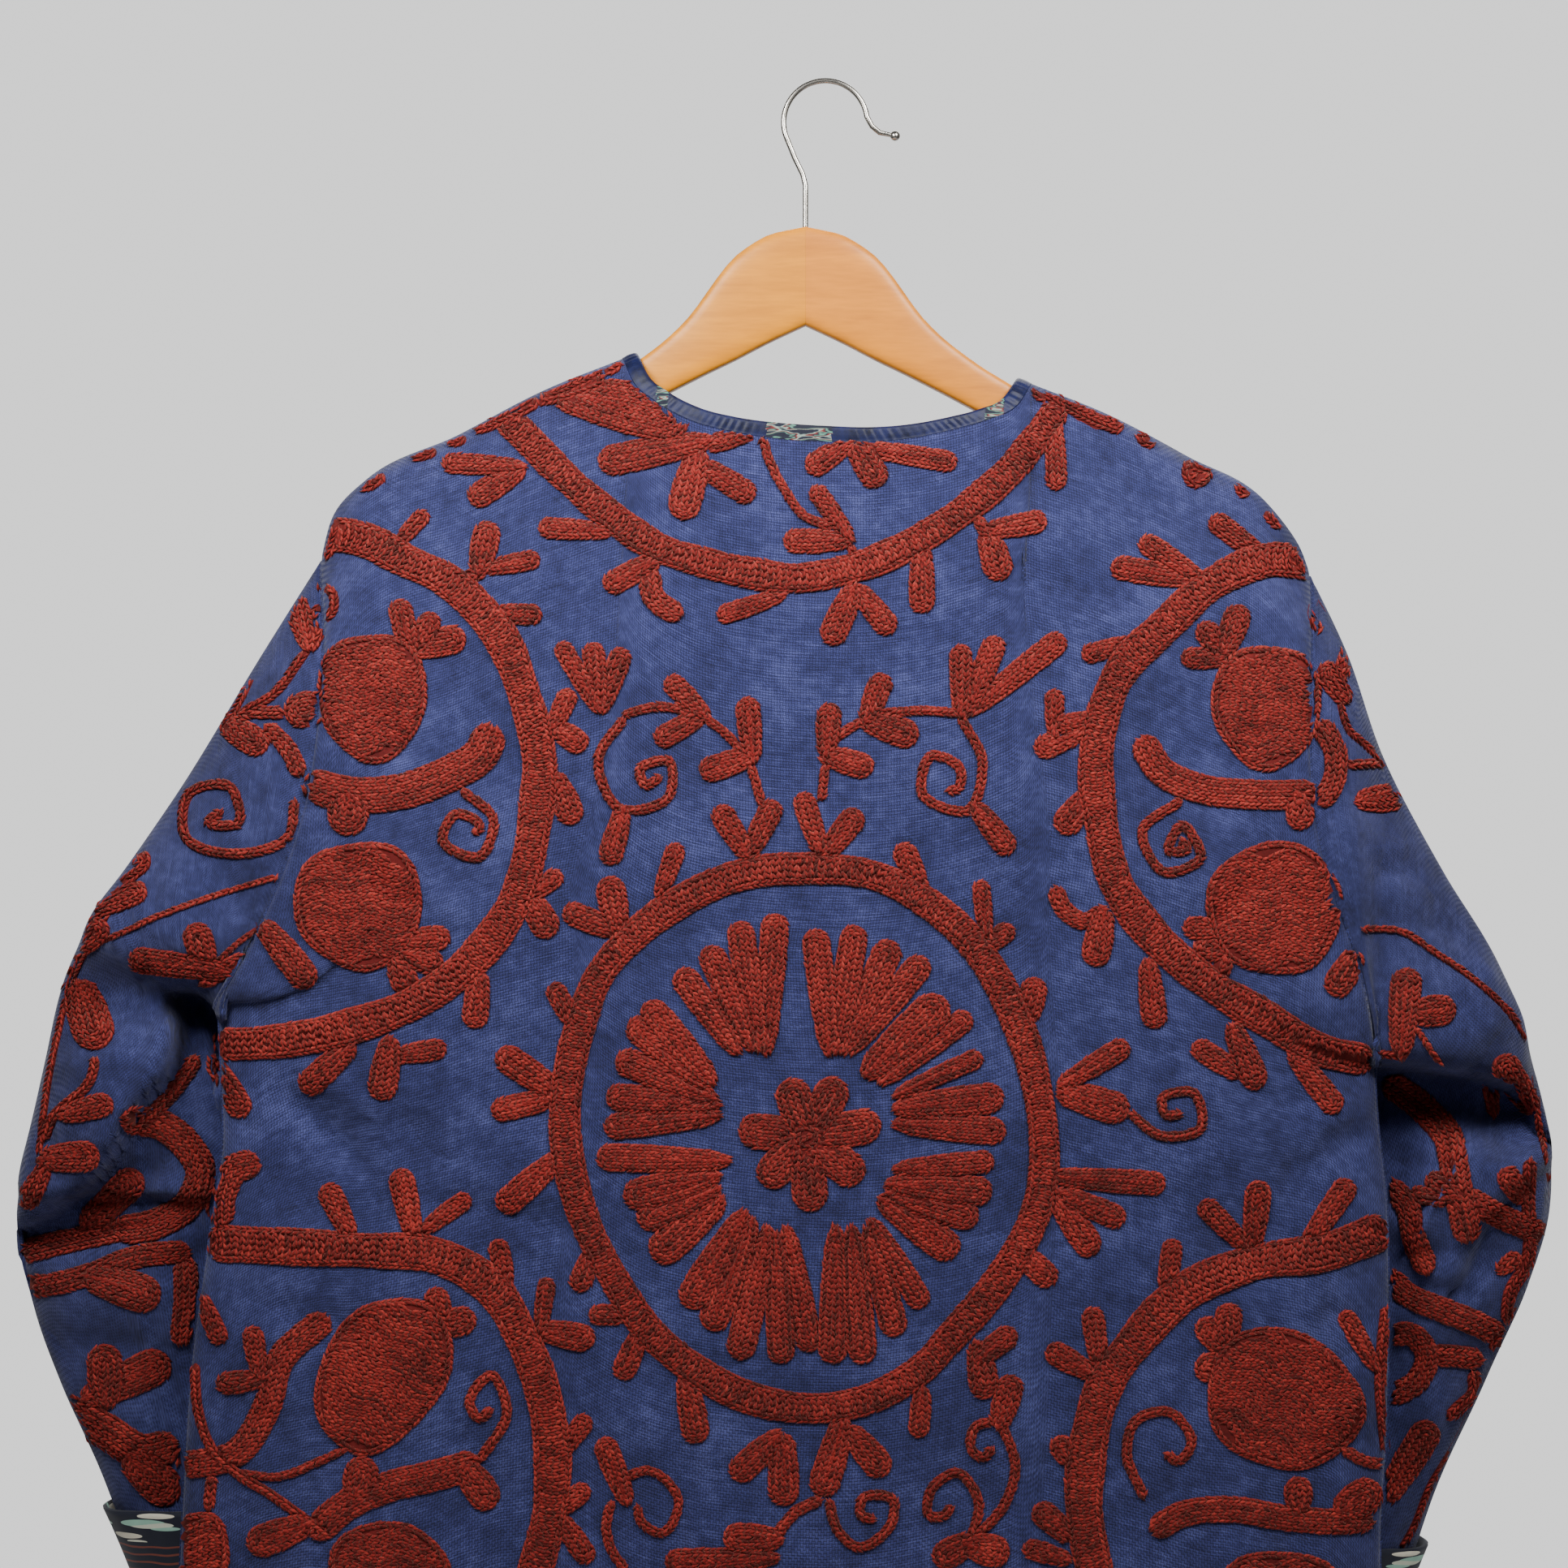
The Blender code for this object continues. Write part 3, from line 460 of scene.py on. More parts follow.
# Binding strip along the neck and the front edges
BINDING_WIDTH = 7.5 * MM
BINDING_THICK = 3.2 * MM
BINDING_CORNER = (0.75, 0.66)

# Hanger: offset from its middle, top z, bottom z, thickness
HANGER_ARM = (
    (0, -75.6, -127.7, 14), (20, -79.5, -137, 14), (38, -91, -146.5, 14), (50, -107, -152, 14),
    (60, -122, -157, 13.5), (74, -135.5, -164, 13), (92, -148.5, -173.5, 13), (115, -162, -185, 12.5),
    (145, -174.5, -197.5, 12), (180, -190, -212, 12), (210, -204, -225, 11.5), (226, -212, -230, 10.5),
    (233, -218, -230, 7), (235.5, -222, -227, 3),
)
HANGER_GAP = 0.04 * MM
HANGER_SQUARENESS = 0.42

# Hook: bent wire
WIRE_RADIUS = 1.5 * MM
HOOK_RADIUS = 22.0 * MM
HOOK_CENTRE_Z = WIRE_RADIUS - HOOK_RADIUS
HOOK_START_TURN = 205.0
HOOK_END_TURN = 8.0
HOOK_TIP = (34.0 * MM, -27.0 * MM)
BALL_RADIUS = 2.7 * MM
# Offsets of the wire from the wood's middle and top: x, height
HOOK_NECK = ((0, 0), (0, 12), (0, 22), (-1.5, 28), (-5.5, 36))
# The wire's turn out to its tip: x, z
HOOK_LIP = ((24.5, -22.5), (28.5, -25.8))

# Leaves by place: base x, base z, tip x, tip z, width
LEAVES = {
    "upper back": (
        (117, -183, 118, -218, 10.8), (-138, -167, -70, -183, 26.7), (-62, -193, -117, -204, 15.8),
        (-66, -199, -75, -233, 16.7), (-66, -204, -37, -222, 12.5), (-39, -189, -62, -195, 10),
        (11, -241, -7, -216, 10), (9, -244, -22, -244, 12.5), (11, -194, -10, -208, 12.5),
        (15, -195, 28, -216, 15), (17, -196, 67, -204, 10.8), (-88, -254, -114, -268, 12.5),
        (-24, -272, -56, -283, 10), (13, -270, 1, -297, 14.2), (17, -270, 34, -291, 12.5),
        (49, -249, 49, -281, 13.3), (78, -233, 83, -243, 6.7), (82, -239, 113, -233, 11.7),
        (83, -241, 90, -264, 15), (-112, -239, -148, -237, 10.8), (-158, -206, -197, -204, 10.8),
        (-158, -208, -183, -224, 13.3), (-118, -329, -137, -296, 10), (-117, -329, -120, -296, 11.7),
        (-115, -329, -104, -299, 11.7), (-63, -333, -82, -314, 11.7), (-63, -333, -88, -347, 11.7),
        (-38, -354, -41, -324, 12.5), (-38, -354, -65, -363, 13.3), (-105, -384, -112, -410, 12.5),
        (69, -331, 69, -297, 11.7), (72, -331, 88, -293, 12.5), (74, -331, 122, -293, 12.5),
        (21, -334, 30, -312, 12.5), (21, -336, 47, -345, 15), (0, -351, 2, -327, 12.5),
        (0, -354, 24, -361, 13.3), (78, -382, 95, -404, 12.5), (-42, -403, -56, -380, 12.5),
        (-39, -403, -26, -377, 12.5), (-3, -403, -13, -373, 11.7), (1, -403, 17, -382, 13.3),
    ),
    "left ring": (
        (-220, -245, -205, -229, 8.8), (-178, -258, -173, -234, 14.2), (-174, -258, -147, -253, 10),
        (-170, -281, -146, -282, 10.8), (-139, -337, -131, -320, 10.8), (-137, -341, -123, -350, 12.5),
        (-139, -366, -129, -389, 14.2), (-149, -424, -136, -414, 10), (-151, -429, -141, -447, 15),
        (-178, -468, -181, -494, 13.3), (-224, -502, -229, -531, 15), (-220, -508, -195, -504, 10.8),
        (-245, -504, -269, -526, 14.2), (-314, -512, -298, -539, 13.3), (-214, -299, -220, -274, 12.5),
        (-210, -297, -201, -281, 12.5), (-212, -299, -185, -293, 15), (-260, -329, -278, -333, 18.3),
        (-245, -377, -246, -395, 20.8), (-216, -449, -193, -447, 12.5), (-214, -456, -197, -462, 13.3),
        (-220, -460, -214, -477, 14.2), (-289, -441, -264, -472, 15),
    ),
    "right ring": (
        (192, -264, 161, -243, 11.7), (188, -264, 146, -257, 12.5), (226, -254, 197, -232, 11.7),
        (161, -295, 131, -303, 10), (136, -335, 117, -339, 10), (117, -341, 117, -320, 10),
        (136, -339, 107, -352, 12.5), (136, -374, 119, -393, 15), (142, -437, 137, -462, 15),
        (165, -462, 169, -494, 13.3), (209, -495, 222, -525, 14.2), (211, -517, 188, -502, 11.7),
        (240, -508, 263, -537, 12.5), (205, -299, 213, -277, 14.2), (201, -299, 192, -286, 12.5),
        (207, -304, 182, -304, 10.8), (242, -377, 244, -392, 14.2), (203, -443, 183, -442, 11.7),
        (203, -452, 188, -454, 14.2), (205, -458, 201, -468, 10), (271, -457, 259, -477, 15),
    ),
    "medallion": (
        (-85, -424, -76, -399, 10), (-107, -443, -112, -416, 15), (-106, -445, -135, -433, 12.5),
        (-129, -493, -141, -471, 10.8), (-137, -527, -169, -506, 15), (-137, -529, -172, -537, 12.5),
        (-137, -560, -168, -587, 14.2), (-120, -608, -128, -629, 11.7), (-99, -641, -122, -641, 10.8),
        (-95, -649, -106, -674, 12.5), (-72, -674, -66, -707, 14.2), (49, -681, 47, -704, 10.8),
        (80, -662, 97, -649, 12.5), (78, -658, 82, -684, 15), (99, -608, 117, -625, 13.3),
        (117, -570, 174, -574, 12.5), (122, -579, 153, -593, 12.5), (119, -583, 138, -610, 15),
        (122, -522, 155, -502, 11.7), (122, -527, 155, -537, 16.7), (102, -491, 108, -468, 14.2),
        (82, -449, 79, -418, 9.2), (83, -451, 96, -442, 10.8), (49, -424, 38, -399, 12.5),
    ),
    "fingers": (
        (-47, -504, -76, -464, 14.2), (-39, -502, -61, -452, 14.2), (-35, -502, -45, -439, 14.2),
        (-31, -504, -26, -435, 14.2), (1, -504, -6, -443, 14.2), (5, -504, 15, -441, 14.2),
        (9, -504, 34, -449, 15), (13, -504, 51, -458, 14.2), (22, -516, 61, -479, 20),
        (30, -520, 74, -487, 12.5), (38, -527, 80, -508, 10), (38, -535, 91, -529, 15.8),
        (38, -543, 92, -547, 14.2), (38, -566, 86, -562, 11.7), (34, -574, 85, -578, 15),
        (34, -579, 78, -592, 15), (30, -583, 67, -610, 16.7), (24, -595, 50, -637, 12.5),
        (22, -599, 36, -652, 14.2), (13, -599, 19, -666, 15), (5, -599, 3, -666, 15),
        (-43, -591, -72, -637, 16.7), (-39, -595, -60, -649, 15.8), (-31, -599, -45, -664, 15),
        (-26, -602, -23, -666, 14.2), (-20, -599, -8, -660, 13.3), (-53, -562, -118, -560, 14.2),
        (-58, -570, -104, -581, 16.7), (-58, -577, -97, -593, 16.7), (-56, -583, -89, -612, 18.3),
        (-60, -520, -93, -481, 15.8), (-62, -522, -101, -490, 15.8), (-60, -529, -108, -509, 15),
        (-58, -533, -113, -529, 14.2), (-58, -539, -114, -545, 13.3),
    ),
    "petals": (
        (-10, -549, -20, -520, 18.3), (-10, -549, 7, -520, 18.3), (-10, -549, 28, -543, 18.3),
        (-10, -549, 18, -572, 18.3), (-10, -549, -8, -588, 18.3), (-10, -549, -33, -574, 18.3),
        (-10, -549, -45, -546, 18.3),
    ),
    "lower left": (
        (-245, -599, -257, -574, 12.5), (-212, -599, -219, -566, 13.3), (-206, -597, -183, -580, 10),
        (-164, -627, -169, -602, 10.8), (-147, -649, -143, -622, 9.2), (-145, -649, -119, -654, 14.2),
        (-320, -633, -310, -656, 10), (-291, -670, -295, -647, 10.8), (-291, -674, -313, -677, 11.7),
        (-197, -649, -201, -627, 13.3), (-197, -647, -180, -642, 15), (-185, -720, -171, -740, 16.7),
        (-241, -731, -236, -714, 17.5), (-137, -712, -122, -693, 10.8), (-137, -741, -122, -729, 10.8),
        (-137, -745, -121, -768, 11.7), (-268, -749, -297, -760, 16.7), (-103, -735, -115, -704, 12.5),
        (-26, -704, -48, -725, 14.2), (-22, -706, -22, -739, 15.8), (8, -697, -3, -734, 15.8),
        (13, -702, 31, -723, 15), (-26, -756, -53, -755, 15), (-28, -766, -83, -768, 13.3),
    ),
    "lower right": (
        (219, -604, 222, -572, 13.3), (213, -604, 192, -583, 11.7), (247, -604, 269, -572, 12.5),
        (174, -629, 178, -602, 10.8), (140, -666, 136, -637, 11.7), (134, -670, 113, -658, 12.5),
        (126, -716, 117, -704, 12.5), (205, -654, 207, -635, 14.2), (201, -656, 192, -643, 13.3),
        (203, -667, 189, -670, 15.8), (280, -666, 265, -639, 10), (242, -739, 242, -724, 14.2),
        (265, -741, 284, -729, 19.2), (122, -766, 101, -760, 10.8), (124, -754, 107, -739, 13.3),
        (89, -696, 96, -672, 14.2), (76, -760, 94, -764, 16.7), (72, -758, 55, -768, 15),
    ),
    "left sleeve": (
        (-266, -297, -275, -266, 12.5), (-264, -297, -260, -277, 10.8), (-307, -335, -294, -304, 9.2),
        (-308, -338, -287, -351, 15), (-379, -594, -352, -568, 17), (-369, -421, -348, -404, 14.2),
        (-375, -433, -349, -422, 12.5), (-388, -454, -369, -440, 15), (-306, -465, -358, -458, 13.3),
        (-318, -463, -325, -440, 15), (-318, -469, -297, -458, 10.8), (-383, -473, -373, -505, 21.7),
        (-390, -538, -366, -532, 12.5), (-400, -561, -373, -559, 15.8), (-402, -568, -412, -586, 11.7),
        (-377, -622, -342, -633, 19.2), (-369, -685, -371, -656, 18.3), (-378, -683, -337, -664, 19.2),
        (-356, -715, -333, -736, 20.8), (-383, -748, -360, -747, 5),
    ),
    "right sleeve": (
        (265, -324, 254, -307, 12.5), (261, -320, 270, -295, 9.2), (275, -377, 297, -375, 14.2),
        (295, -505, 298, -463, 15.8), (302, -486, 323, -484, 15.8), (361, -534, 345, -508, 14.2),
        (342, -536, 340, -519, 8), (340, -446, 345, -455, 4.2), (349, -463, 355, -476, 4.2),
        (322, -580, 308, -570, 11), (356, -580, 347, -566, 12.5), (347, -617, 356, -610, 9),
        (348, -657, 348, -649, 16.5), (352, -646, 364, -632, 10), (287, -735, 311, -696, 16),
    ),
}
# Stems and scrolls by place: width, then the points x, z that each curls through
STEMS = {
    "back": (
        (4.6, (-33, -191), (-28, -206), (-20, -220), (-14, -229), (5, -239), (17, -254)),
        (11.7, (-91, -258), (-89, -272), (-75, -283)), (8.3, (-185, -264), (-176, -259)),
        (18.3, (-268, -368), (-245, -374), (-216, -372), (-195, -364), (-178, -354), (-171, -339)),
        (
            5, (-187, -372), (-171, -387), (-178, -406), (-197, -397), (-190, -384), (-178, -391),
            (-181, -394),
        ),
        (5, (-261, -267), (-254, -270), (-254, -281), (-259, -285)),
        (9.2, (144, -433), (132, -439), (122, -433), (117, -422)),
        (15, (161, -345), (172, -362), (192, -371), (217, -374), (251, -374)),
        (
            5, (182, -377), (162, -393), (174, -414), (192, -406), (182, -390), (176, -403), (185, -402),
            (182, -397),
        ),
        (4.6, (253, -291), (249, -281), (252, -272), (259, -281)),
        (4.6, (-104, -333), (-87, -329), (-61, -336), (-41, -356), (-33, -379)),
        (
            5, (-104, -335), (-117, -356), (-106, -381), (-81, -375), (-81, -357), (-96, -362),
            (-93, -369), (-85, -365),
        ),
        (4.6, (68, -332), (47, -331), (28, -333), (4, -347), (-3, -377)),
        (
            5, (68, -333), (80, -358), (73, -382), (49, -373), (54, -354), (69, -362), (67, -371),
            (62, -372),
        ),
        (5, (155, -537), (172, -549), (192, -545), (188, -527), (172, -531), (174, -538), (182, -538)),
        (15, (-311, -595), (-310, -579), (-303, -566), (-291, -563)),
        (5, (-324, -666), (-322, -691), (-315, -710), (-303, -722), (-287, -732), (-256, -754)),
        (14.2, (-333, -719), (-303, -712), (-286, -685), (-281, -666), (-256, -642)),
        (4.2, (-303, -722), (-281, -724), (-262, -717), (-247, -710)),
        (15.8, (-264, -754), (-245, -738), (-224, -729), (-203, -724), (-178, -717)),
        (5, (-178, -716), (-164, -689), (-172, -672), (-183, -687), (-178, -694), (-172, -689)),
        (5.8, (-315, -724), (-317, -741)), (5.8, (-3, -736), (-14, -741), (-26, -754)),
        (5, (1, -736), (6, -752), (15, -760), (34, -746), (34, -736), (18, -736), (18, -744), (25, -746)),
        (5, (-110, -737), (-113, -749), (-110, -762), (-103, -772)),
        (4.6, (-103, -724), (-91, -721), (-76, -737), (-85, -753), (-95, -747), (-97, -739)),
        (5, (90, -697), (97, -720), (92, -737), (74, -758)),
        (5, (88, -695), (76, -699), (75, -711), (81, -714), (85, -709)),
        (5, (74, -756), (78, -737), (67, -722), (53, -732), (53, -744), (60, -744), (64, -739)),
        (5.8, (287, -637), (284, -674), (287, -712)), (5.8, (265, -710), (276, -716), (288, -718)),
        (13.3, (280, -746), (259, -747), (234, -745), (209, -741), (184, -743), (167, -752)),
        (5, (163, -735), (154, -710), (159, -695), (176, -691), (187, -708), (180, -716), (174, -712)),
    ),
    "left sleeve": (
        (4.6, (-266, -299), (-270, -305), (-283, -322), (-299, -332)), (6.7, (-302, -332), (-278, -332)),
        (9.2, (-287, -339), (-276, -351), (-270, -364)),
        (
            5, (-273, -377), (-276, -395), (-297, -404), (-329, -395), (-327, -374), (-306, -370),
            (-302, -389), (-317, -388), (-310, -383),
        ),
        (2.9, (-282, -416), (-302, -422), (-344, -437), (-383, -455)),
        (2.9, (-291, -442), (-302, -450), (-314, -461)),
        (5, (-375, -509), (-377, -519), (-398, -542), (-401, -551)),
        (8.3, (-323, -509), (-337, -528), (-358, -547)),
        (
            15.5, (-362, -541), (-343, -543), (-329, -553), (-321, -568), (-326, -582), (-343, -594),
            (-365, -598),
        ),
        (12.5, (-345, -594), (-365, -598), (-388, -603), (-420, -611)),
        (14, (-364, -417), (-378, -440), (-388, -458), (-396, -478)),
        (11.7, (-419, -626), (-402, -626), (-377, -620), (-356, -612), (-327, -608)),
        (12.5, (-329, -612), (-329, -635), (-331, -656)),
        (18.3, (-401, -686), (-386, -692), (-369, -701), (-352, -711), (-333, -708)),
        (3.3, (-390, -478), (-399, -520), (-404, -558)),
    ),
    "right sleeve": (
        (3.8, (263, -324), (268, -341), (278, -350), (290, -362)),
        (11.7, (253, -337), (261, -353), (259, -370), (252, -379)), (4.6, (263, -359), (288, -358)),
        (
            3.3, (275, -443), (294, -444), (312, -455), (337, -473), (352, -488), (361, -504),
            (364, -521), (366, -543), (371, -570), (373, -590),
        ),
        (2.9, (303, -494), (310, -505), (316, -513)), (4, (282, -507), (296, -508)),
        (
            15, (287, -521), (300, -530), (311, -540), (319, -550), (322, -564), (324, -577), (327, -590),
            (329, -603),
        ),
        (12.5, (326, -579), (343, -589), (361, -597), (373, -602)),
        (12.5, (287, -573), (298, -585), (302, -602), (309, -619)),
        (9, (300, -578), (311, -581), (322, -581)),
        (12.5, (286, -619), (299, -631), (315, -638), (332, -645), (347, -652)),
        (7, (361, -562), (360, -585), (361, -600), (359, -615), (351, -629), (349, -645)),
        (12, (286, -653), (300, -651), (308, -661), (304, -674), (288, -684)),
        (11.5, (306, -662), (321, -662), (336, -664)),
        (7, (332, -670), (332, -681), (324, -689), (319, -694)),
        (3.3, (331, -690), (322, -708), (309, -730), (301, -750), (293, -764)),
    ),
}
# Wide bands: width, then the points x, z that each runs through
BANDS = {
    "top arc": (
        15.4, (-166, -179), (-154, -191), (-133, -212), (-108, -233), (-87, -247), (-66, -254),
        (-41, -260), (-16, -263), (9, -259), (30, -252), (51, -241), (76, -224), (94, -208), (109, -189),
        (120, -174),
    ),
    "right ridge": (11.7, (106, -165), (118, -170), (136, -179), (145, -184)),
    "left ridge": (10, (-151, -171), (-133, -167), (-114, -160)),
    "left ring": (
        17.5, (-267, -244), (-249, -241), (-233, -245), (-216, -254), (-195, -264), (-178, -279),
        (-166, -295), (-156, -320), (-147, -362), (-149, -383), (-160, -429), (-187, -464), (-212, -481),
        (-241, -492), (-270, -499), (-299, -502), (-315, -502),
    ),
    "right ring": (
        17.5, (253, -256), (226, -254), (201, -264), (172, -289), (153, -308), (140, -341), (138, -362),
        (140, -383), (151, -424), (163, -441), (201, -474), (226, -489), (251, -504), (280, -511),
    ),
    "lower left": (
        18.3, (-318, -604), (-278, -606), (-237, -608), (-199, -611), (-170, -629), (-158, -649),
        (-146, -679), (-141, -708), (-142, -741), (-151, -777), (-160, -806), (-178, -836), (-205, -856),
        (-240, -864), (-278, -866), (-330, -866),
    ),
    "lower right": (
        19.2, (289, -596), (259, -608), (217, -615), (184, -629), (159, -654), (142, -679), (135, -704),
        (132, -737), (138, -774), (146, -806), (165, -834), (192, -852), (225, -862), (259, -866),
        (292, -867),
    ),
    "medallion ring": (
        15.8, (-8, -412), (-43, -415), (-72, -427), (-95, -443), (-116, -466), (-126, -491), (-134, -549),
        (-123, -595), (-108, -624), (-91, -649), (-66, -670), (-41, -683), (-8, -689), (22, -684),
        (47, -670), (67, -649), (86, -627), (109, -583), (107, -520), (88, -470), (72, -447), (51, -429),
        (26, -416),
    ),
}
# Pomegranates and dots: centre x, centre z, half width, half height, tilt in degrees
FRUITS = (
    (-233, -324, 28, 33, 0), (-240, -431, 33, 33, 0), (226, -329, 28, 32, 0), (230, -433, 35, 34, 0),
    (-228, -672, 31, 43, -33), (234, -685, 41, 35, -25), (-225, -778, 31, 31, 0), (234, -795, 36, 33, 0),
    (-322, -764, 16, 22, 0), (190, -209, 8, 8, 0), (-10, -550, 7, 7, 0),
)

# The work below the picture mirrors the work above the lower rings' middle: the groups that it
# mirrors, their middle height, and where the mirrored work starts
HEM_GROUPS = ("lower left", "lower right", "medallion", "fingers", "petals")
SLEEVE_GROUPS = ("left sleeve", "right sleeve")
HEM_MIDDLE_Z = -735
HEM_START_Z = -776

# Small leaves that lie over the shoulder ridge: share of the shoulder at base and tip, width
SHOULDER_WORK = {
    Side.LEFT: (
        (0.02, 0.1, 8), (0.2, 0.27, 7), (0.36, 0.43, 6), (0.47, 0.52, 6), (0.55, 0.74, 9),
        (0.93, 0.76, 8), (0.99, 0.94, 6),
    ),
    Side.RIGHT: (
        (0.03, 0.1, 7), (0.16, 0.21, 6), (0.32, 0.27, 7), (0.42, 0.49, 6), (0.66, 0.6, 8),
        (0.95, 0.7, 10),
    ),
}
SHOULDER_WORK_DROP = 3.2
# How far a leaf's base is tucked in under what it grows from
LEAF_TUCK = 3.5


def smooth_rows(rows: Table, at: Array | float) -> Array:
    """Read a table's other columns at values of its first one, along smooth cubics.

    Args:
        rows: The table, with its first column rising.
        at: Where to read it.

    Returns:
        One row of values for each place.
    """
    table = np.asarray(rows, float)
    knots, values = table[:, 0], table[:, 1:]
    slopes = np.gradient(values, knots, axis=0)
    at = np.clip(np.atleast_1d(np.asarray(at, float)), knots[0], knots[-1])
    cell = np.clip(np.searchsorted(knots, at, side="right") - 1, 0, len(knots) - 2)
    span = (knots[cell + 1] - knots[cell])[:, None]
    along = (at - knots[cell])[:, None] / span
    start = values[cell] * (2 * along**3 - 3 * along**2 + 1)
    end = values[cell + 1] * (3 * along**2 - 2 * along**3)
    bend = slopes[cell] * (along**3 - 2 * along**2 + along) + slopes[cell + 1] * (along**3 - along**2)
    return start + end + bend * span


def ease(share: Array | float) -> Array:
    """Rise smoothly from 0 to 1 as the share does."""
    share = np.clip(share, 0.0, 1.0)
    return share * share * (3 - 2 * share)


def unit(vectors: Array) -> Array:
    """Scale vectors to length 1."""
    return vectors / np.maximum(np.linalg.norm(vectors, axis=-1, keepdims=True), 1e-12)


def distances(points: Array, axis: int = 0) -> Array:
    """Give each point's distance from the first one, along one axis of a grid."""
    first = np.take(points, [0], axis)
    return np.linalg.norm(np.diff(points, axis=axis, prepend=first), axis=-1).cumsum(axis=axis)


def read_line(at: Array, length: Array, values: Array) -> Array:
    """Read the points of a line at distances from its start."""
    return np.stack([np.interp(at, length, column) for column in values.T], axis=-1)


def left_of(along: Array) -> Array:
    """Turn directions of the XZ plane to their left."""
    return np.stack([-along[..., 1], along[..., 0]], axis=-1)


def finished(mesh: bmesh.types.BMesh, name: str) -> Mesh:
    """Turn a mesh under work into a finished one."""
    data = bpy.data.meshes.new(name)
    mesh.to_mesh(data)
    mesh.free()
    return data


def add_object(name: str, data: bpy.types.ID) -> Object:
    """Put data in the scene as an object of its own."""
    added = bpy.data.objects.new(name, data)
    bpy.context.scene.collection.objects.link(added)
    return added


def bow(x: Array | float) -> Array:
    """Give the forward bow of the hanger's arms, which the shoulder ridge follows."""
    return ARM_BOW * ((x - CENTRE_X) / ARM_BOW_REACH) ** 2


def ring_bulge(turn: Array) -> Array:
    """Give how far a ring stands back (above 0) or forward (below 0) of its middle."""
    wave = np.sin(2 * math.pi * turn)
    return np.sign(wave) * np.abs(wave) ** SLEEVE_ROUND


def armhole(side: Side, turn: Array) -> Array:
    """Give points of an armhole seam: turn 0 is the shoulder, 0.25 the back, 0.5 the underarm."""
    down = (1 - np.cos(2 * math.pi * turn)) / 2
    x, z, middle, depth = smooth_rows(ARMHOLES[side], down).T * MM
    return np.stack([x, middle - depth * ring_bulge(turn), z], axis=-1)


def fold_depth(points: Array, folds: Table) -> Array:
    """Sum soft troughs and ridges along straight lines of the XZ plane.

    Args:
        points: A grid of points.
        folds: Rows of top x, top z, bottom x, bottom z, width and depth.

    Returns:
        How far each point is moved along its normal.
    """
    total = np.zeros(points.shape[:-1])
    for x0, z0, x1, z1, width, depth in folds:
        start = np.array([x0, z0]) * MM
        line = np.array([x1, z1]) * MM - start
        length = np.linalg.norm(line)
        away = points[..., [0, 2]] - start
        along = away @ (line / length)
        across = away @ (left_of(line) / length)
        ends = ease(along / (FOLD_START_SHARE * length))
        ends = ends * ease((length - along) / (FOLD_END_SHARE * length))
        total += depth * MM * ends * np.exp(-((across / (width * MM)) ** 2))
    return total


def ledge_depth(points: Array, ledges: Sequence[Sequence]) -> Array:
    """Drop the cloth sharply on the left of a line, and let it come back slowly.

    Args:
        points: A grid of points.
        ledges: Rows of the drop at the start and at the end, the reach, and the points x, z.

    Returns:
        How far each point is moved away from the viewer.
    """
    total = np.zeros(points.shape[:-1])
    for first, last, reach, *route in ledges:
        line = smooth_path(route, 2.0 * MM)
        along = unit(np.gradient(line, axis=0))
        away = points[..., None, [0, 2]] - line
        nearest = np.linalg.norm(away, axis=-1).argmin(axis=-1)
        away = np.take_along_axis(away, nearest[..., None, None], axis=-2)[..., 0, :]
        ahead = along[nearest]
        side = away[..., 1] * ahead[..., 0] - away[..., 0] * ahead[..., 1]
        below = np.sign(side) * np.linalg.norm(away, axis=-1)
        past = np.abs((away * ahead).sum(axis=-1)) * np.isin(nearest, (0, len(line) - 1))
        drop = first + (last - first) * nearest / (len(line) - 1)
        dropped = ease(below / LEDGE_SHARPNESS) * np.exp(-((np.maximum(below, 0) / (reach * MM)) ** 2))
        lip = np.exp(-(((below + LEDGE_LIP) / LEDGE_LIP) ** 2))
        total += ease(1 - past / LEDGE_END) * MM * (drop * dropped - LEDGE_RISE * lip)
    return total


def grid_normals(points: Array, wraps: bool) -> Array:
    """Give outward normals of a grid of rows running down and columns running across."""
    down = np.gradient(points, axis=0)
    if wraps:
        across = np.roll(points, -1, axis=1) - np.roll(points, 1, axis=1)
    else:
        across = np.gradient(points, axis=1)
    return unit(np.cross(down, across))


def on_table(points: Array) -> Array:
    """Give where the viewer sees points on the tables' plane."""
    away = points - np.array(EYE)
    return np.array(EYE) + away * ((TABLE_Y - EYE[1]) / away[..., 1:2])


def shoulder_points(side: Side, steps: int) -> Array:
    """Give a shoulder ridge from the armhole to the neck point, closer together at the armhole."""
    share = (np.arange(steps + 1) / steps) ** SHOULDER_SPACING
    x, z = smooth_rows(SHOULDERS[side], share).T * MM
    return np.stack([x, bow(x), z], axis=-1)


def mirrored(z: float) -> float:
    """Give the height, in a table, that the work towards the hem mirrors a height to."""
    return 2 * HEM_MIDDLE_Z - z


def front_edge_x(side: Side) -> float:
    """Give the place of a front panel's opening edge."""
    return CENTRE_X + FRONT_GAP / 2 * (-1 if side is Side.LEFT else 1)


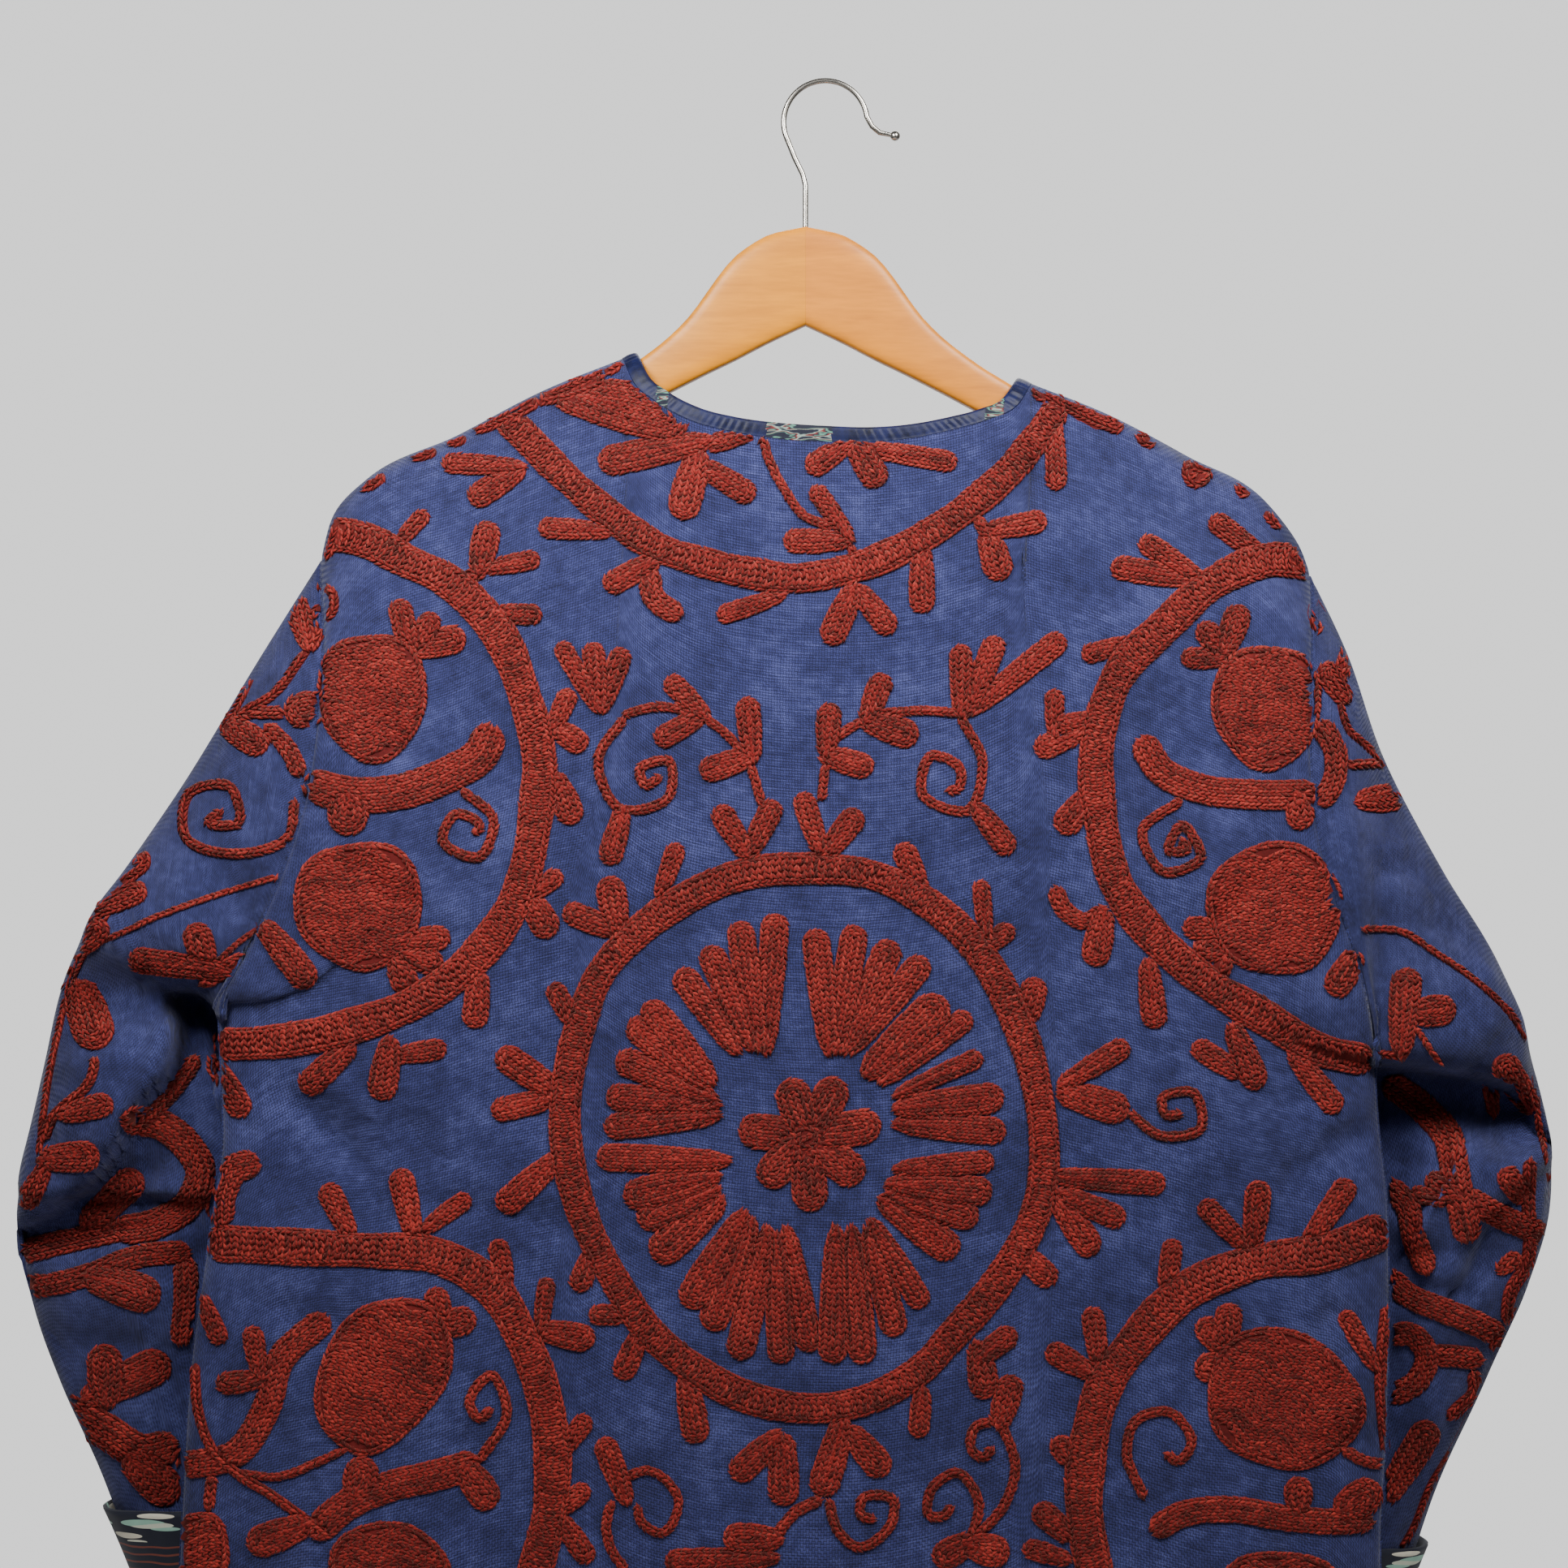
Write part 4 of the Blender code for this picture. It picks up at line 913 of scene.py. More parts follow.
@dataclass
class ClothMaker:
    """Turns a grid of points into a cloth wall with its own measure in metres as its UV map."""

    wall: float = WALL

    def make(self, name: str, points: Array, wraps: bool, facing: float) -> Object:
        """Build a cloth wall whose outer face runs through a grid of points.

        Args:
            name: The piece's name.
            points: Rows running down and columns running across.
            wraps: Whether the last column meets the first.
            facing: 1 where the grid's own normals look outward, and -1 where they look inward.

        Returns:
            The piece, with its thickness as a live modifier.
        """
        grid = np.concatenate([points, points[:, :1]], axis=1) if wraps else points
        rows, columns = grid.shape[:2]
        mesh = bmesh.new()
        bmesh.ops.create_grid(mesh, x_segments=columns - 1, y_segments=rows - 1, size=1.0)
        if facing > 0:
            bmesh.ops.reverse_faces(mesh, faces=mesh.faces[:])
        data = finished(mesh, name)
        data.vertices.foreach_set("co", grid.astype(np.float32).ravel())
        self.measure(data, grid)
        self.weld(data)
        data.shade_smooth()
        piece = add_object(name, data)
        solid = piece.modifiers.new("thickness", "SOLIDIFY")
        solid.thickness, solid.offset = self.wall, -1.0
        solid.use_even_offset = False
        return piece

    def measure(self, data: Mesh, grid: Array) -> None:
        """Store how far each point lies along the cloth and across it, in metres."""
        down, across = distances(grid), distances(grid, 1)
        across -= across[:, across.shape[1] // 2, None]
        places = np.stack([across, down], axis=-1).reshape(-1, 2)
        corners = np.zeros(len(data.loops), np.int32)
        data.loops.foreach_get("vertex_index", corners)
        layer = data.uv_layers.new(name=UV_NAME)
        layer.data.foreach_set("uv", places[corners].astype(np.float32).ravel())

    def weld(self, data: Mesh) -> None:
        """Join the points that lie on each other, such as where a sleeve closes."""
        mesh = bmesh.new()
        mesh.from_mesh(data)
        bmesh.ops.remove_doubles(mesh, verts=mesh.verts[:], dist=WELD_DISTANCE)
        mesh.to_mesh(data)
        mesh.free()


@dataclass
class BodyPanel:
    """The back, or one front, hung over the hanger from the shoulder ridge to the hem."""

    name: str
    face: Face
    sides: tuple[Side, ...]
    row_detail: int = 6
    column_detail: int = 5
    seam_dip: float = 1.1 * MM
    seam_reach: float = 2.6 * MM
    ridge_blur: int = 16
    ridge_fade: float = 40.0 * MM
    points: Array = field(init=False)

    def __post_init__(self) -> None:
        """Lay the panel's points out."""
        self.armhole_rows = ARMHOLE_STEPS * self.row_detail
        self.skirt_rows = SKIRT_STEPS * self.row_detail
        self.shoulder_columns = SHOULDER_STEPS * self.column_detail
        self.points = self.lay_out()

    @property
    def is_back(self) -> bool:
        """Whether this is the back, which takes both sides."""
        return self.face is Face.BACK

    @property
    def facing(self) -> float:
        """Which way the grid's own normals look: 1 outward, -1 inward."""
        return 1.0 if self.is_back or self.sides[0] is Side.RIGHT else -1.0

    def edge(self, side: Side) -> tuple[Array, Array]:
        """Give the outer edge down the armhole and the side seam, and its moves for the seam gap."""
        turns = 0.5 * np.arange(self.armhole_rows + 1) / self.armhole_rows
        if not self.is_back:
            turns = 1.0 - turns
        seam = armhole(side, turns)
        below = np.arange(1, self.skirt_rows + 1) / self.skirt_rows * (seam[-1, 2] - HEM_Z)
        x, y = smooth_rows(SIDES[side], below / MM).T * MM
        skirt = np.stack([x, y, seam[-1, 2] - below], axis=-1)
        points = np.vstack([seam, skirt])
        moves = np.zeros_like(points)
        moves[: self.armhole_rows + 1, 0] = np.sign(CENTRE_X - seam[:, 0]) * SEAM_GAP / 2
        moves[self.armhole_rows :, 1] = self.face.value * SEAM_GAP / 2
        return points, moves

    def neckline(self) -> Array:
        """Give the neckline, from the left neck point or from the front's own one."""
        if self.is_back:
            steps = BACK_NECK_STEPS * self.column_detail
            share = (1 - np.cos(math.pi * np.arange(steps + 1) / steps)) / 2
            ends = [shoulder_points(side, self.shoulder_columns)[-1] for side in self.sides]
            x = ends[0][0] + (ends[1][0] - ends[0][0]) * share
            z = smooth_rows(BACK_NECK, share)[:, 0] * MM
            z[[0, -1]] = ends[0][2], ends[1][2]
            return np.stack([x, np.zeros_like(x), z], axis=-1)
        steps = FRONT_NECK_STEPS * self.column_detail
        inward, drop = smooth_rows(FRONT_NECK, (np.arange(steps + 1) / steps) ** NECK_SPACING).T
        start = shoulder_points(self.sides[0], self.shoulder_columns)[-1]
        x = start[0] + (front_edge_x(self.sides[0]) - start[0]) * inward
        return np.stack([x, np.zeros_like(x), start[2] - drop * MM], axis=-1)

    def lay_out(self) -> Array:
        """Lay the panel's points out, with its folds, its creases and its dipped seams."""
        first, first_moves = self.edge(self.sides[0])
        shoulders = [shoulder_points(side, self.shoulder_columns) for side in self.sides]
        top = np.vstack([shoulders[0][:-1], self.neckline()])
        if self.is_back:
            top = np.vstack([top, shoulders[1][-2::-1]])
        down = (first[0, 2] - first[:, 2]) / (first[0, 2] - first[-1, 2])
        if self.is_back:
            last, last_moves = self.edge(self.sides[1])
        else:
            last = top[-1] + down[:, None] * np.array([0.0, 0.0, HEM_Z - top[-1, 2]])
        points = self.fill_between(first, last, top, down)
        points[..., 1] = self.hang(points, first, last, top)
        folds = BACK_FOLDS if self.is_back else FRONT_FOLDS
        creases = BACK_CREASES if self.is_back else FRONT_CREASES
        depth = fold_depth(points, folds) + CREASE_GAIN * fold_depth(points, creases)
        depth *= self.edge_mask(points.shape[:2])
        depth -= self.seam_dips(points)
        points += grid_normals(points, wraps=False) * self.facing * depth[..., None]
        points[:, 0] += first_moves
        points[0, 1 : self.shoulder_columns + 1, 1] += self.face.value * SEAM_GAP / 2
        if self.is_back:
            points[:, -1] += last_moves
            points[0, -1 - self.shoulder_columns : -1, 1] += self.face.value * SEAM_GAP / 2
        return points

    def seam_dips(self, points: Array) -> Array:
        """Give how far the cloth dips towards its armhole and side seams."""
        dips = np.zeros(points.shape[:2])
        for column in (0, -1) if self.is_back else (0,):
            away = np.linalg.norm(points - points[:, column, None], axis=-1)
            dips += self.seam_dip * np.exp(-((away / self.seam_reach) ** 2)) * (away > 0)
        return dips

    def fill_between(self, first: Array, last: Array, top: Array, down: Array) -> Array:
        """Fill the XZ plane between the panel's two edges, its top and its level hem."""
        across = (top[:, 0] - top[0, 0]) / (top[-1, 0] - top[0, 0])
        nearest = np.minimum(across, 1 - across) if self.is_back else across
        power = 1 + COLUMN_POWER * (1 - ease(nearest / COLUMN_SHARE))
        fade = (1 - down[:, None]) ** power[None, :]
        s = across[None, :, None]
        ruled = (1 - s) * first[:, None] + s * last[:, None]
        rise = top[None] - (1 - s) * first[0] - s * last[0]
        return ruled + fade[..., None] * rise

    def hang(self, points: Array, first: Array, last: Array, top: Array) -> Array:
        """Work out how far back or forward the panel hangs: over the hanger, down, round the side."""
        across = (top[:, 0] - top[0, 0]) / (top[-1, 0] - top[0, 0])
        steps = np.arange(len(top))
        from_start = np.minimum(steps, self.shoulder_columns)
        from_end = np.maximum(steps, len(top) - 1 - self.shoulder_columns)
        neck = (steps - self.shoulder_columns) / (len(top) - 1 - 2 * self.shoulder_columns)
        past = ease(neck)[:, None] * self.is_back
        ridge = top[from_start] * (1 - past) + top[from_end] * past
        away = np.arange(-self.ridge_blur, self.ridge_blur + 1)
        near_by = np.clip(steps[:, None] + away, 0, len(top) - 1)
        eased = ridge[near_by].mean(axis=1) - ridge
        below = ease((ridge[None, :, 2] - points[..., 2]) / self.ridge_fade)
        drop = np.maximum(ridge[None, :, 2] + eased[:, 2] * below - points[..., 2], 0.0)
        underarm = first[self.armhole_rows, 2]
        skirt = ease(1 + (underarm - first[:, 2]) / UNDERARM_BLEND)[:, None]
        side_y = first[self.armhole_rows :, 1].min()
        if self.is_back:
            upper = BACK_Y + BACK_CURVE * np.abs(2 * across - 1) ** BACK_CURVE_POWER
            lower = side_y - (side_y - BACK_Y) * np.sqrt(1 - np.abs(2 * across - 1) ** BACK_SIDE_POWER)
            nearest = np.minimum(across, 1 - across)
        else:
            upper = FRONT_EDGE_Y + FRONT_SIDE_FALL * (1 - across) ** 2
            lower = side_y + (FRONT_EDGE_Y - side_y) * across**FRONT_FULLNESS
            nearest = across
        hanging = upper[None] * (1 - skirt) + lower[None] * skirt
        over = np.sqrt(1 - (1 - np.minimum(drop / SHOULDER_ROUND_DROP, 1)) ** 2)
        rounding = self.face.value * SHOULDER_ROUND * ease(nearest / ROUNDING_SHARE)[None] * over
        settled = 1 - np.exp(-drop / DRAPE_DROP)
        along = bow(ridge[None, :, 0] + eased[:, 0] * below)
        depth = (along + rounding) * (1 - settled) + hanging * settled
        near = np.clip(1 - across / EDGE_SHARE, 0, 1) ** 2
        fixed = depth + (first[:, 1] - depth[:, 0])[:, None] * near[None]
        if self.is_back:
            far = np.clip(1 - (1 - across) / EDGE_SHARE, 0, 1) ** 2
            fixed += (last[:, 1] - depth[:, -1])[:, None] * far[None]
        seam = bow(top[:, 0])
        for edge in (first, last) if self.is_back else (first,):
            reach = np.clip(1 - np.abs(top[:, 0] - edge[0, 0]) / SHOULDER_SEAM_REACH, 0, 1) ** 2
            seam = seam + (edge[0, 1] - bow(edge[0, 0])) * reach
        on_ridge = steps <= self.shoulder_columns
        if self.is_back:
            on_ridge |= steps >= len(top) - 1 - self.shoulder_columns
        pull = np.where(on_ridge, seam - fixed[0], 0.0)
        return fixed + pull[None] * np.exp(-((drop / SHOULDER_SEAM_DROP) ** 2))

    def edge_mask(self, shape: tuple[int, int]) -> Array:
        """Fade folds out at the seams, but not at the hem or at a front edge."""
        rows, columns = shape
        row = np.arange(rows)[:, None] / self.row_detail
        column = np.arange(columns)[None, :] / self.column_detail
        mask = ease(row / MASK_STEPS) * ease(column / MASK_STEPS)
        if self.is_back:
            mask = mask * ease((columns - 1) / self.column_detail / MASK_STEPS - column / MASK_STEPS)
        return mask

    def build(self, maker: ClothMaker) -> Object:
        """Build the panel's cloth."""
        return maker.make(self.name, self.points, False, self.facing)


@dataclass
class Sleeve:
    """One set-in sleeve, from its armhole to its end, with the folds of its hanging elbow."""

    name: str
    side: Side
    row_detail: int = 5
    turn_detail: int = 5
    seam_dip: float = 1.1 * MM
    seam_reach: float = 2.6 * MM
    points: Array = field(init=False)

    def __post_init__(self) -> None:
        """Lay the sleeve's points out."""
        rows = SLEEVE_STEPS * self.row_detail
        self.points = self.lay_out(np.arange(rows + 1) / rows)[0]

    @property
    def facing(self) -> float:
        """Which way the grid's own normals look: 1 outward, -1 inward."""
        return 1.0 if self.side is Side.LEFT else -1.0

    def rings(self, share: Array, turn: Array) -> Array:
        """Give points of the sleeve's rings at shares along it and turns round it."""
        ox, oz, ix, iz, oy, iy, depth = (
            values.reshape(share.shape) * MM
            for values in smooth_rows(SLEEVES[self.side], share.ravel()).T
        )
        down = (1 - np.cos(2 * math.pi * turn)) / 2
        x = ox + (ix - ox) * down
        z = oz + (iz - oz) * down
        y = oy + (iy - oy) * down - depth * ring_bulge(turn)
        return np.stack([x, y, z], axis=-1)

    def lay_out(self, shares: Array) -> tuple[Array, Array]:
        """Give the sleeve's points and outward normals at shares along it."""
        steps = 2 * ARMHOLE_STEPS * self.turn_detail
        turns = np.arange(steps) / steps
        share, turn = np.meshgrid(shares, turns, indexing="ij")
        seam = armhole(self.side, turns)
        start = seam - self.rings(np.zeros_like(turns), turns)
        fade = np.clip(1 - share / ARMHOLE_FADE, 0, 1) ** 2
        points = self.rings(share, turn) + start[None] * fade[..., None]
        normals = grid_normals(points, wraps=True) * self.facing
        depth = self.folds(points, turn) * ease(share / SEAM_SHARE)
        away = np.linalg.norm(points - seam[None], axis=-1)
        depth -= self.seam_dip * np.exp(-((away / self.seam_reach) ** 2)) * (share > 0)
        points = points + normals * depth[..., None]
        seen = ease(np.sin(2 * math.pi * turn) / LEDGE_FACING) * ease(share / LEDGE_SEAM_SHARE)
        other_wall = points[:, -np.arange(steps) % steps, 1]
        room = np.maximum(LEDGE_ROOM * (other_wall - points[..., 1]), 0.0)
        lapped = ledge_depth(on_table(points), SLEEVE_LEDGES[self.side]) * seen
        points[..., 1] += np.minimum(lapped, room)
        return points, grid_normals(points, wraps=True) * self.facing

    def folds(self, points: Array, turn: Array) -> Array:
        """Sum the folds and creases that cross the sleeve's back and front."""
        facing = np.sin(2 * math.pi * turn)
        total = np.zeros(turn.shape)
        for face, sign in ((Face.BACK, 1.0), (Face.FRONT, -1.0)):
            rows = SLEEVE_FOLDS[self.side][face] + SLEEVE_CREASES[self.side][face]
            total += fold_depth(points, rows) * ease(sign * facing / FOLD_FACING)
        return total

    def build(self, maker: ClothMaker) -> Object:
        """Build the sleeve's cloth."""
        return maker.make(self.name, self.points, True, self.facing)


@dataclass
class Cuff:
    """The printed lining, turned back over the sleeve's end."""

    name: str
    sleeve: Sleeve
    rows: int = 18
    ripple: float = 0.7 * MM
    ripple_turns: tuple[float, ...] = (5.0, 11.0, 17.0)

    def build(self, maker: ClothMaker) -> Object:
        """Build the cuff's cloth, standing off its sleeve at the free edge."""
        steps = np.arange(self.rows + 1) / self.rows
        start = CUFF_STARTS[self.sleeve.side]
        points, normals = self.sleeve.lay_out(start + (1 - start) * steps)
        turns = np.arange(points.shape[1]) / points.shape[1]
        waves = sum(np.sin(2 * math.pi * turns * times + times) / times**0.5 for times in self.ripple_turns)
        stand = SEAM_GAP + CUFF_STAND * (1 - steps) ** 2
        offset = stand[:, None] + maker.wall + self.ripple * (1 - steps)[:, None] * np.abs(waves)[None]
        return maker.make(self.name, points + normals * offset[..., None], True, self.sleeve.facing)


@dataclass
class Binding:
    """The narrow satin strip round a neckline, and down a front edge where it has one."""

    name: str
    panel: BodyPanel
    step: float = 1.1 * MM
    pucker: float = 0.4 * MM
    pucker_pitch: float = 4.2 * MM
    # How far and over what length the puckers wander, and how much and over what length they fade
    wander: float = 2.6
    wander_length: float = 11 * MM
    fading: float = 0.45
    fading_length: float = 6.3 * MM
    # The line of stitches that holds the lower edge: its place, depth and width
    stitch_line: float = 1.4 * MM
    stitch_depth: float = 0.5 * MM
    stitch_width: float = 0.5 * MM
    overlap: float = 1.5 * MM
    inner_roundness: float = 0.6
    round_steps: int = 4
    flat_steps: int = 4

    def edge(self) -> tuple[Array, Array, Array]:
        """Give the cloth's edge under the strip, its outward normals and the way out of the cloth."""
        panel = self.panel
        columns = panel.shoulder_columns
        length = (BACK_NECK_STEPS if panel.is_back else FRONT_NECK_STEPS) * panel.column_detail + 1
        neck = panel.points[0, columns : columns + length].copy()
        outward = unit((np.array([CENTRE_X, 0.0, NECK_CENTRE_Z]) - neck) * [1, 0, 1])
        along = np.gradient(neck, axis=0)
        along[0] = (0.0, 1.0, 0.0)
        if panel.is_back:
            along[-1] = (0.0, 1.0, 0.0)
        normals = np.cross(along, outward)
        normals *= np.sign(normals @ np.array([0.0, panel.face.value, NECK_TILT]))[:, None]
        normals = unit(normals)
        outward = unit(np.cross(np.cross(normals, outward), normals))
        if panel.is_back:
            return neck, normals, outward
        drops = panel.points[1:, -1]
        inward = np.array([1.0 if panel.sides[0] is Side.LEFT else -1.0, 0.0, 0.0])
        outward[-1] = inward * BINDING_CORNER[0] + np.array([0.0, 0.0, BINDING_CORNER[1]])
        outward = np.vstack([outward, np.tile(inward, (len(drops), 1))])
        normals = np.vstack([normals, np.tile([0.0, 1.0, 0.0], (len(drops), 1))])
        return np.vstack([neck, drops]), normals, outward

    def section(self) -> Array:
        """Give the strip's rounded cross-section: how far out of the cloth, and how far up."""
        half = BINDING_THICK / 2
        turns = np.linspace(-math.pi / 2, math.pi / 2, 2 * self.round_steps + 1)
        far = np.stack([BINDING_WIDTH - half + half * np.cos(turns), half * np.sin(turns)], axis=-1)
        inner = half * self.inner_roundness
        near = np.stack([inner - inner * np.cos(turns), -half * np.sin(turns)], axis=-1)
        flat = np.linspace(BINDING_WIDTH - half, inner, self.flat_steps + 2)[1:-1]
        middle = np.stack([flat, np.full_like(flat, half)], axis=-1)
        under = middle[::-1] * [1, -1]
        return np.vstack([far, middle, near, under])

    def build(self) -> Object:
        """Build the strip with its small puckers and the dip of its stitched lower edge."""
        edge, normals, outward = self.edge()
        length = distances(edge)
        even = np.linspace(0.0, length[-1], int(length[-1] / self.step))
        edge, normals, outward = (read_line(even, length, values) for values in (edge, normals, outward))
        normals, outward = unit(normals), unit(outward)
        out, up = self.section().T
        wandering = self.wander * np.sin(even / self.wander_length)
        wave = np.sin(2 * math.pi * even / self.pucker_pitch + wandering)
        wave *= 1 - self.fading + self.fading * np.sin(even / self.fading_length + 1.0)
        swell = self.pucker * wave[:, None] * np.sin(math.pi * np.clip(out / BINDING_WIDTH, 0, 1))[None]
        from_line = (out - self.stitch_line) / self.stitch_width
        stitched = self.stitch_depth * np.exp(-(from_line**2)) * (up > 0)
        height = up[None] + swell * np.sign(up)[None] - stitched[None] - WALL / 2
        reach = out[None] * (1 + self.overlap / BINDING_WIDTH) - self.overlap
        rings = edge[:, None] + outward[:, None] * reach[..., None] + normals[:, None] * height[..., None]
        return make_tube(self.name, rings)


def make_tube(name: str, rings: Array) -> Object:
    """Skin closed rings into one solid with capped ends.

    Args:
        name: The piece's name.
        rings: Rings of points, one after another.

    Returns:
        The piece, smooth along its length.
    """
    count, around = rings.shape[:2]
    closed = np.concatenate([rings, rings[:, :1]], axis=1)
    mesh = bmesh.new()
    made = bmesh.ops.create_grid(mesh, x_segments=around, y_segments=count - 1, size=1.0)
    for vert, place in zip(made["verts"], closed.reshape(-1, 3)):
        vert.co = place
    bmesh.ops.remove_doubles(mesh, verts=mesh.verts[:], dist=WELD_DISTANCE / 2)
    bmesh.ops.holes_fill(mesh, edges=[edge for edge in mesh.edges if edge.is_boundary], sides=0)
    bmesh.ops.recalc_face_normals(mesh, faces=mesh.faces[:])
    data = finished(mesh, name)
    data.shade_smooth()
    data.set_sharp_from_angle(angle=SHARP_ANGLE)
    return add_object(name, data)


@dataclass
class Hanger:
    """The contoured hanger: two book-matched halves of wood and a bent wire hook."""

    sides: int = 32
    steps: int = 72
    wire_sides: int = 24
    bend_steps: int = 56
    ball_steps: int = 12
    # Where the ball starts on the wire, as a turn about its middle, and the width that its far end keeps
    ball_start: float = -1.1
    ball_end: float = 0.1 * MM
    blur: tuple[float, ...] = (0.25, 0.5, 0.25)

    def half(self, side: Side) -> Object:
        """Build one half of the wood, from the middle seam to its rounded end."""
        sign = -1.0 if side is Side.LEFT else 1.0
        angles = 2 * math.pi * np.arange(self.sides) / self.sides
        round_y, round_z = (
            np.sign(wave) * np.abs(wave) ** HANGER_SQUARENESS for wave in (np.cos(angles), np.sin(angles))
        )
        table = np.array(HANGER_ARM, float)
        offsets = table[-1, 0] * np.sin(np.linspace(0, math.pi / 2, self.steps))
        top, bottom, thick = (np.interp(offsets, table[:, 0], table[:, column]) for column in (1, 2, 3))
        for values in (top, bottom):
            values[1:-1] = np.convolve(values, self.blur, mode="valid")
        rings = []
        for offset, high, low, depth in zip(offsets, top, bottom, thick):
            x = CENTRE_X + sign * max(offset * MM, HANGER_GAP / 2)
            middle, reach = (high + low) / 2 * MM, (high - low) / 2 * MM
            y = bow(x) + depth / 2 * MM * round_y
            rings.append(np.stack([np.full(self.sides, x), y, middle + reach * round_z], axis=-1))
        return make_tube(f"wood_{side.value}", np.array(rings))

    def hook(self) -> Object:
        """Bend the wire from the wood's top round to its ball tip."""
        start_z = HANGER_ARM[0][1] * MM + HANGER_GAP
        turns = np.radians(np.linspace(HOOK_START_TURN, HOOK_END_TURN, self.bend_steps))
        route = [(CENTRE_X + across * MM, start_z + up * MM) for across, up in HOOK_NECK]
        route += zip(HOOK_RADIUS * np.cos(turns), HOOK_CENTRE_Z + HOOK_RADIUS * np.sin(turns))
        route += [*((across * MM, up * MM) for across, up in HOOK_LIP), HOOK_TIP]
        path = np.array([(x, 0.0, z) for x, z in route])
        directions = unit(np.gradient(path, axis=0))
        directions[0] = (0.0, 0.0, 1.0)
        rise = np.sin(np.linspace(self.ball_start, math.pi / 2, self.ball_steps)) * BALL_RADIUS
        widths = np.sqrt(np.maximum(BALL_RADIUS**2 - rise**2, self.ball_end**2))
        tip = path[-1] + directions[-1] * (BALL_RADIUS + rise[:, None])
        radii = np.concatenate([np.full(len(path) - 1, WIRE_RADIUS), widths])
        path = np.vstack([path[:-1], tip])
        directions = np.vstack([directions[:-1], np.tile(directions[-1], (len(rise), 1))])
        side = np.array([0.0, 1.0, 0.0])
        angles = 2 * math.pi * np.arange(self.wire_sides) / self.wire_sides
        upward = np.cross(directions, side)
        rings = path[:, None] + radii[:, None, None] * (
            np.cos(angles)[None, :, None] * side + np.sin(angles)[None, :, None] * upward[:, None]
        )
        return make_tube("wire_hook", rings)


@dataclass
class ClothView:
    """The cloth's outer faces: from behind as the viewer sees them, and from in front square on."""

    face: Face
    cloths: Sequence[Object]
    cell: float = 1.5 * MM
    widest_jump: float = 7.0 * MM
    start: float = 0.4

    def __post_init__(self) -> None:
        """Find the cloth's places and whose they are, on an even grid of the tables' plane."""
        tree, owners = self.tree()
        self.x = np.arange(CAD_LOW[0], CAD_HIGH[0], self.cell)
        self.z = np.arange(CAD_LOW[2], CAD_HIGH[2], self.cell)
        self.places = np.full((len(self.z), len(self.x), 3), np.nan)
        self.owner = np.full(self.places.shape[:2], -1)
        for row, z in enumerate(self.z):
            for column, x in enumerate(self.x):
                place, _, index, _ = tree.ray_cast(*self.ray(x, z))
                if index is not None:
                    self.places[row, column] = place
                    self.owner[row, column] = owners[index]

    def ray(self, x: float, z: float) -> tuple[Vector, Vector]:
        """Give the start and the direction of the look through a place of the tables' plane."""
        if self.face is Face.BACK:
            return Vector(EYE), (Vector((x, TABLE_Y, z)) - Vector(EYE)).normalized()
        return Vector((x, self.start, z)), Vector((0.0, -1.0, 0.0))

    def tree(self) -> tuple[BVHTree, Array]:
        """Give one search tree of all the cloths' faces, and which cloth each face is of."""
        corners, faces, owners = [], [], []
        for index, cloth in enumerate(self.cloths):
            data = cloth.data
            places = np.zeros(len(data.vertices) * 3, np.float32)
            data.vertices.foreach_get("co", places)
            quads = np.zeros(len(data.loops), np.int32)
            data.loops.foreach_get("vertex_index", quads)
            faces.extend((quads.reshape(-1, 4) + len(corners)).tolist())
            owners.extend([index] * len(data.polygons))
            corners.extend(places.reshape(-1, 3).tolist())
        return BVHTree.FromPolygons(corners, faces), np.array(owners)

    def lay(self, x: Array, z: Array) -> tuple[Array, Array, Array]:
        """Lay places of the tables' plane on the cloth.

        Args:
            x: Their places across, in metres.
            z: Their heights, in metres.

        Returns:
            The points on the cloth, its outward normals there, and the index of the cloth, which is
            -1 where there is none or where the place bridges two layers.
        """
        across = np.clip((x - self.x[0]) / self.cell, 0, len(self.x) - PAST_LAST_CELL)
        up = np.clip((z - self.z[0]) / self.cell, 0, len(self.z) - PAST_LAST_CELL)
        column, row = across.astype(int), up.astype(int)
        right, high = (across - column)[..., None], (up - row)[..., None]
        corners = [self.places[row + a, column + b] for a in (0, 1) for b in (0, 1)]
        low = corners[0] * (1 - right) + corners[1] * right
        top = corners[2] * (1 - right) + corners[3] * right
        along = (corners[1] - corners[0]) * (1 - high) + (corners[3] - corners[2]) * high
        normals = unit(np.cross(along, top - low)) * -self.face.value
        depths = np.stack(corners)[..., 1]
        steady = depths.max(axis=0) - depths.min(axis=0) < self.widest_jump
        return low * (1 - high) + top * high, normals, np.where(steady, self.owner[row, column], -1)


def smooth_path(points: Table, step: float, closed: bool = False) -> Array:
    """Run a smooth line through points of the XZ plane.

    Args:
        points: The points, in millimetres.
        step: The distance between its even steps, in metres.
        closed: Whether it comes back to its first point.

    Returns:
        Even steps of the line, in metres.
    """
    knots = np.array(points, float) * MM
    if closed:
        knots = np.vstack([knots[-2:], knots, knots[:3]])
    length = distances(knots)
    start, end = (length[2], length[-3]) if closed else (length[0], length[-1])
    fine = np.linspace(start, end, max(int((end - start) / FINE_STEP), FEWEST_STEPS))
    return even_steps(smooth_rows(np.column_stack([length, knots]), fine), step)


def even_steps(line: Array, step: float) -> Array:
    """Place a line's points again at even steps."""
    length = distances(line)
    count = max(int(round(length[-1] / step)), 2)
    return read_line(np.linspace(0.0, length[-1], count + 1), length, line)


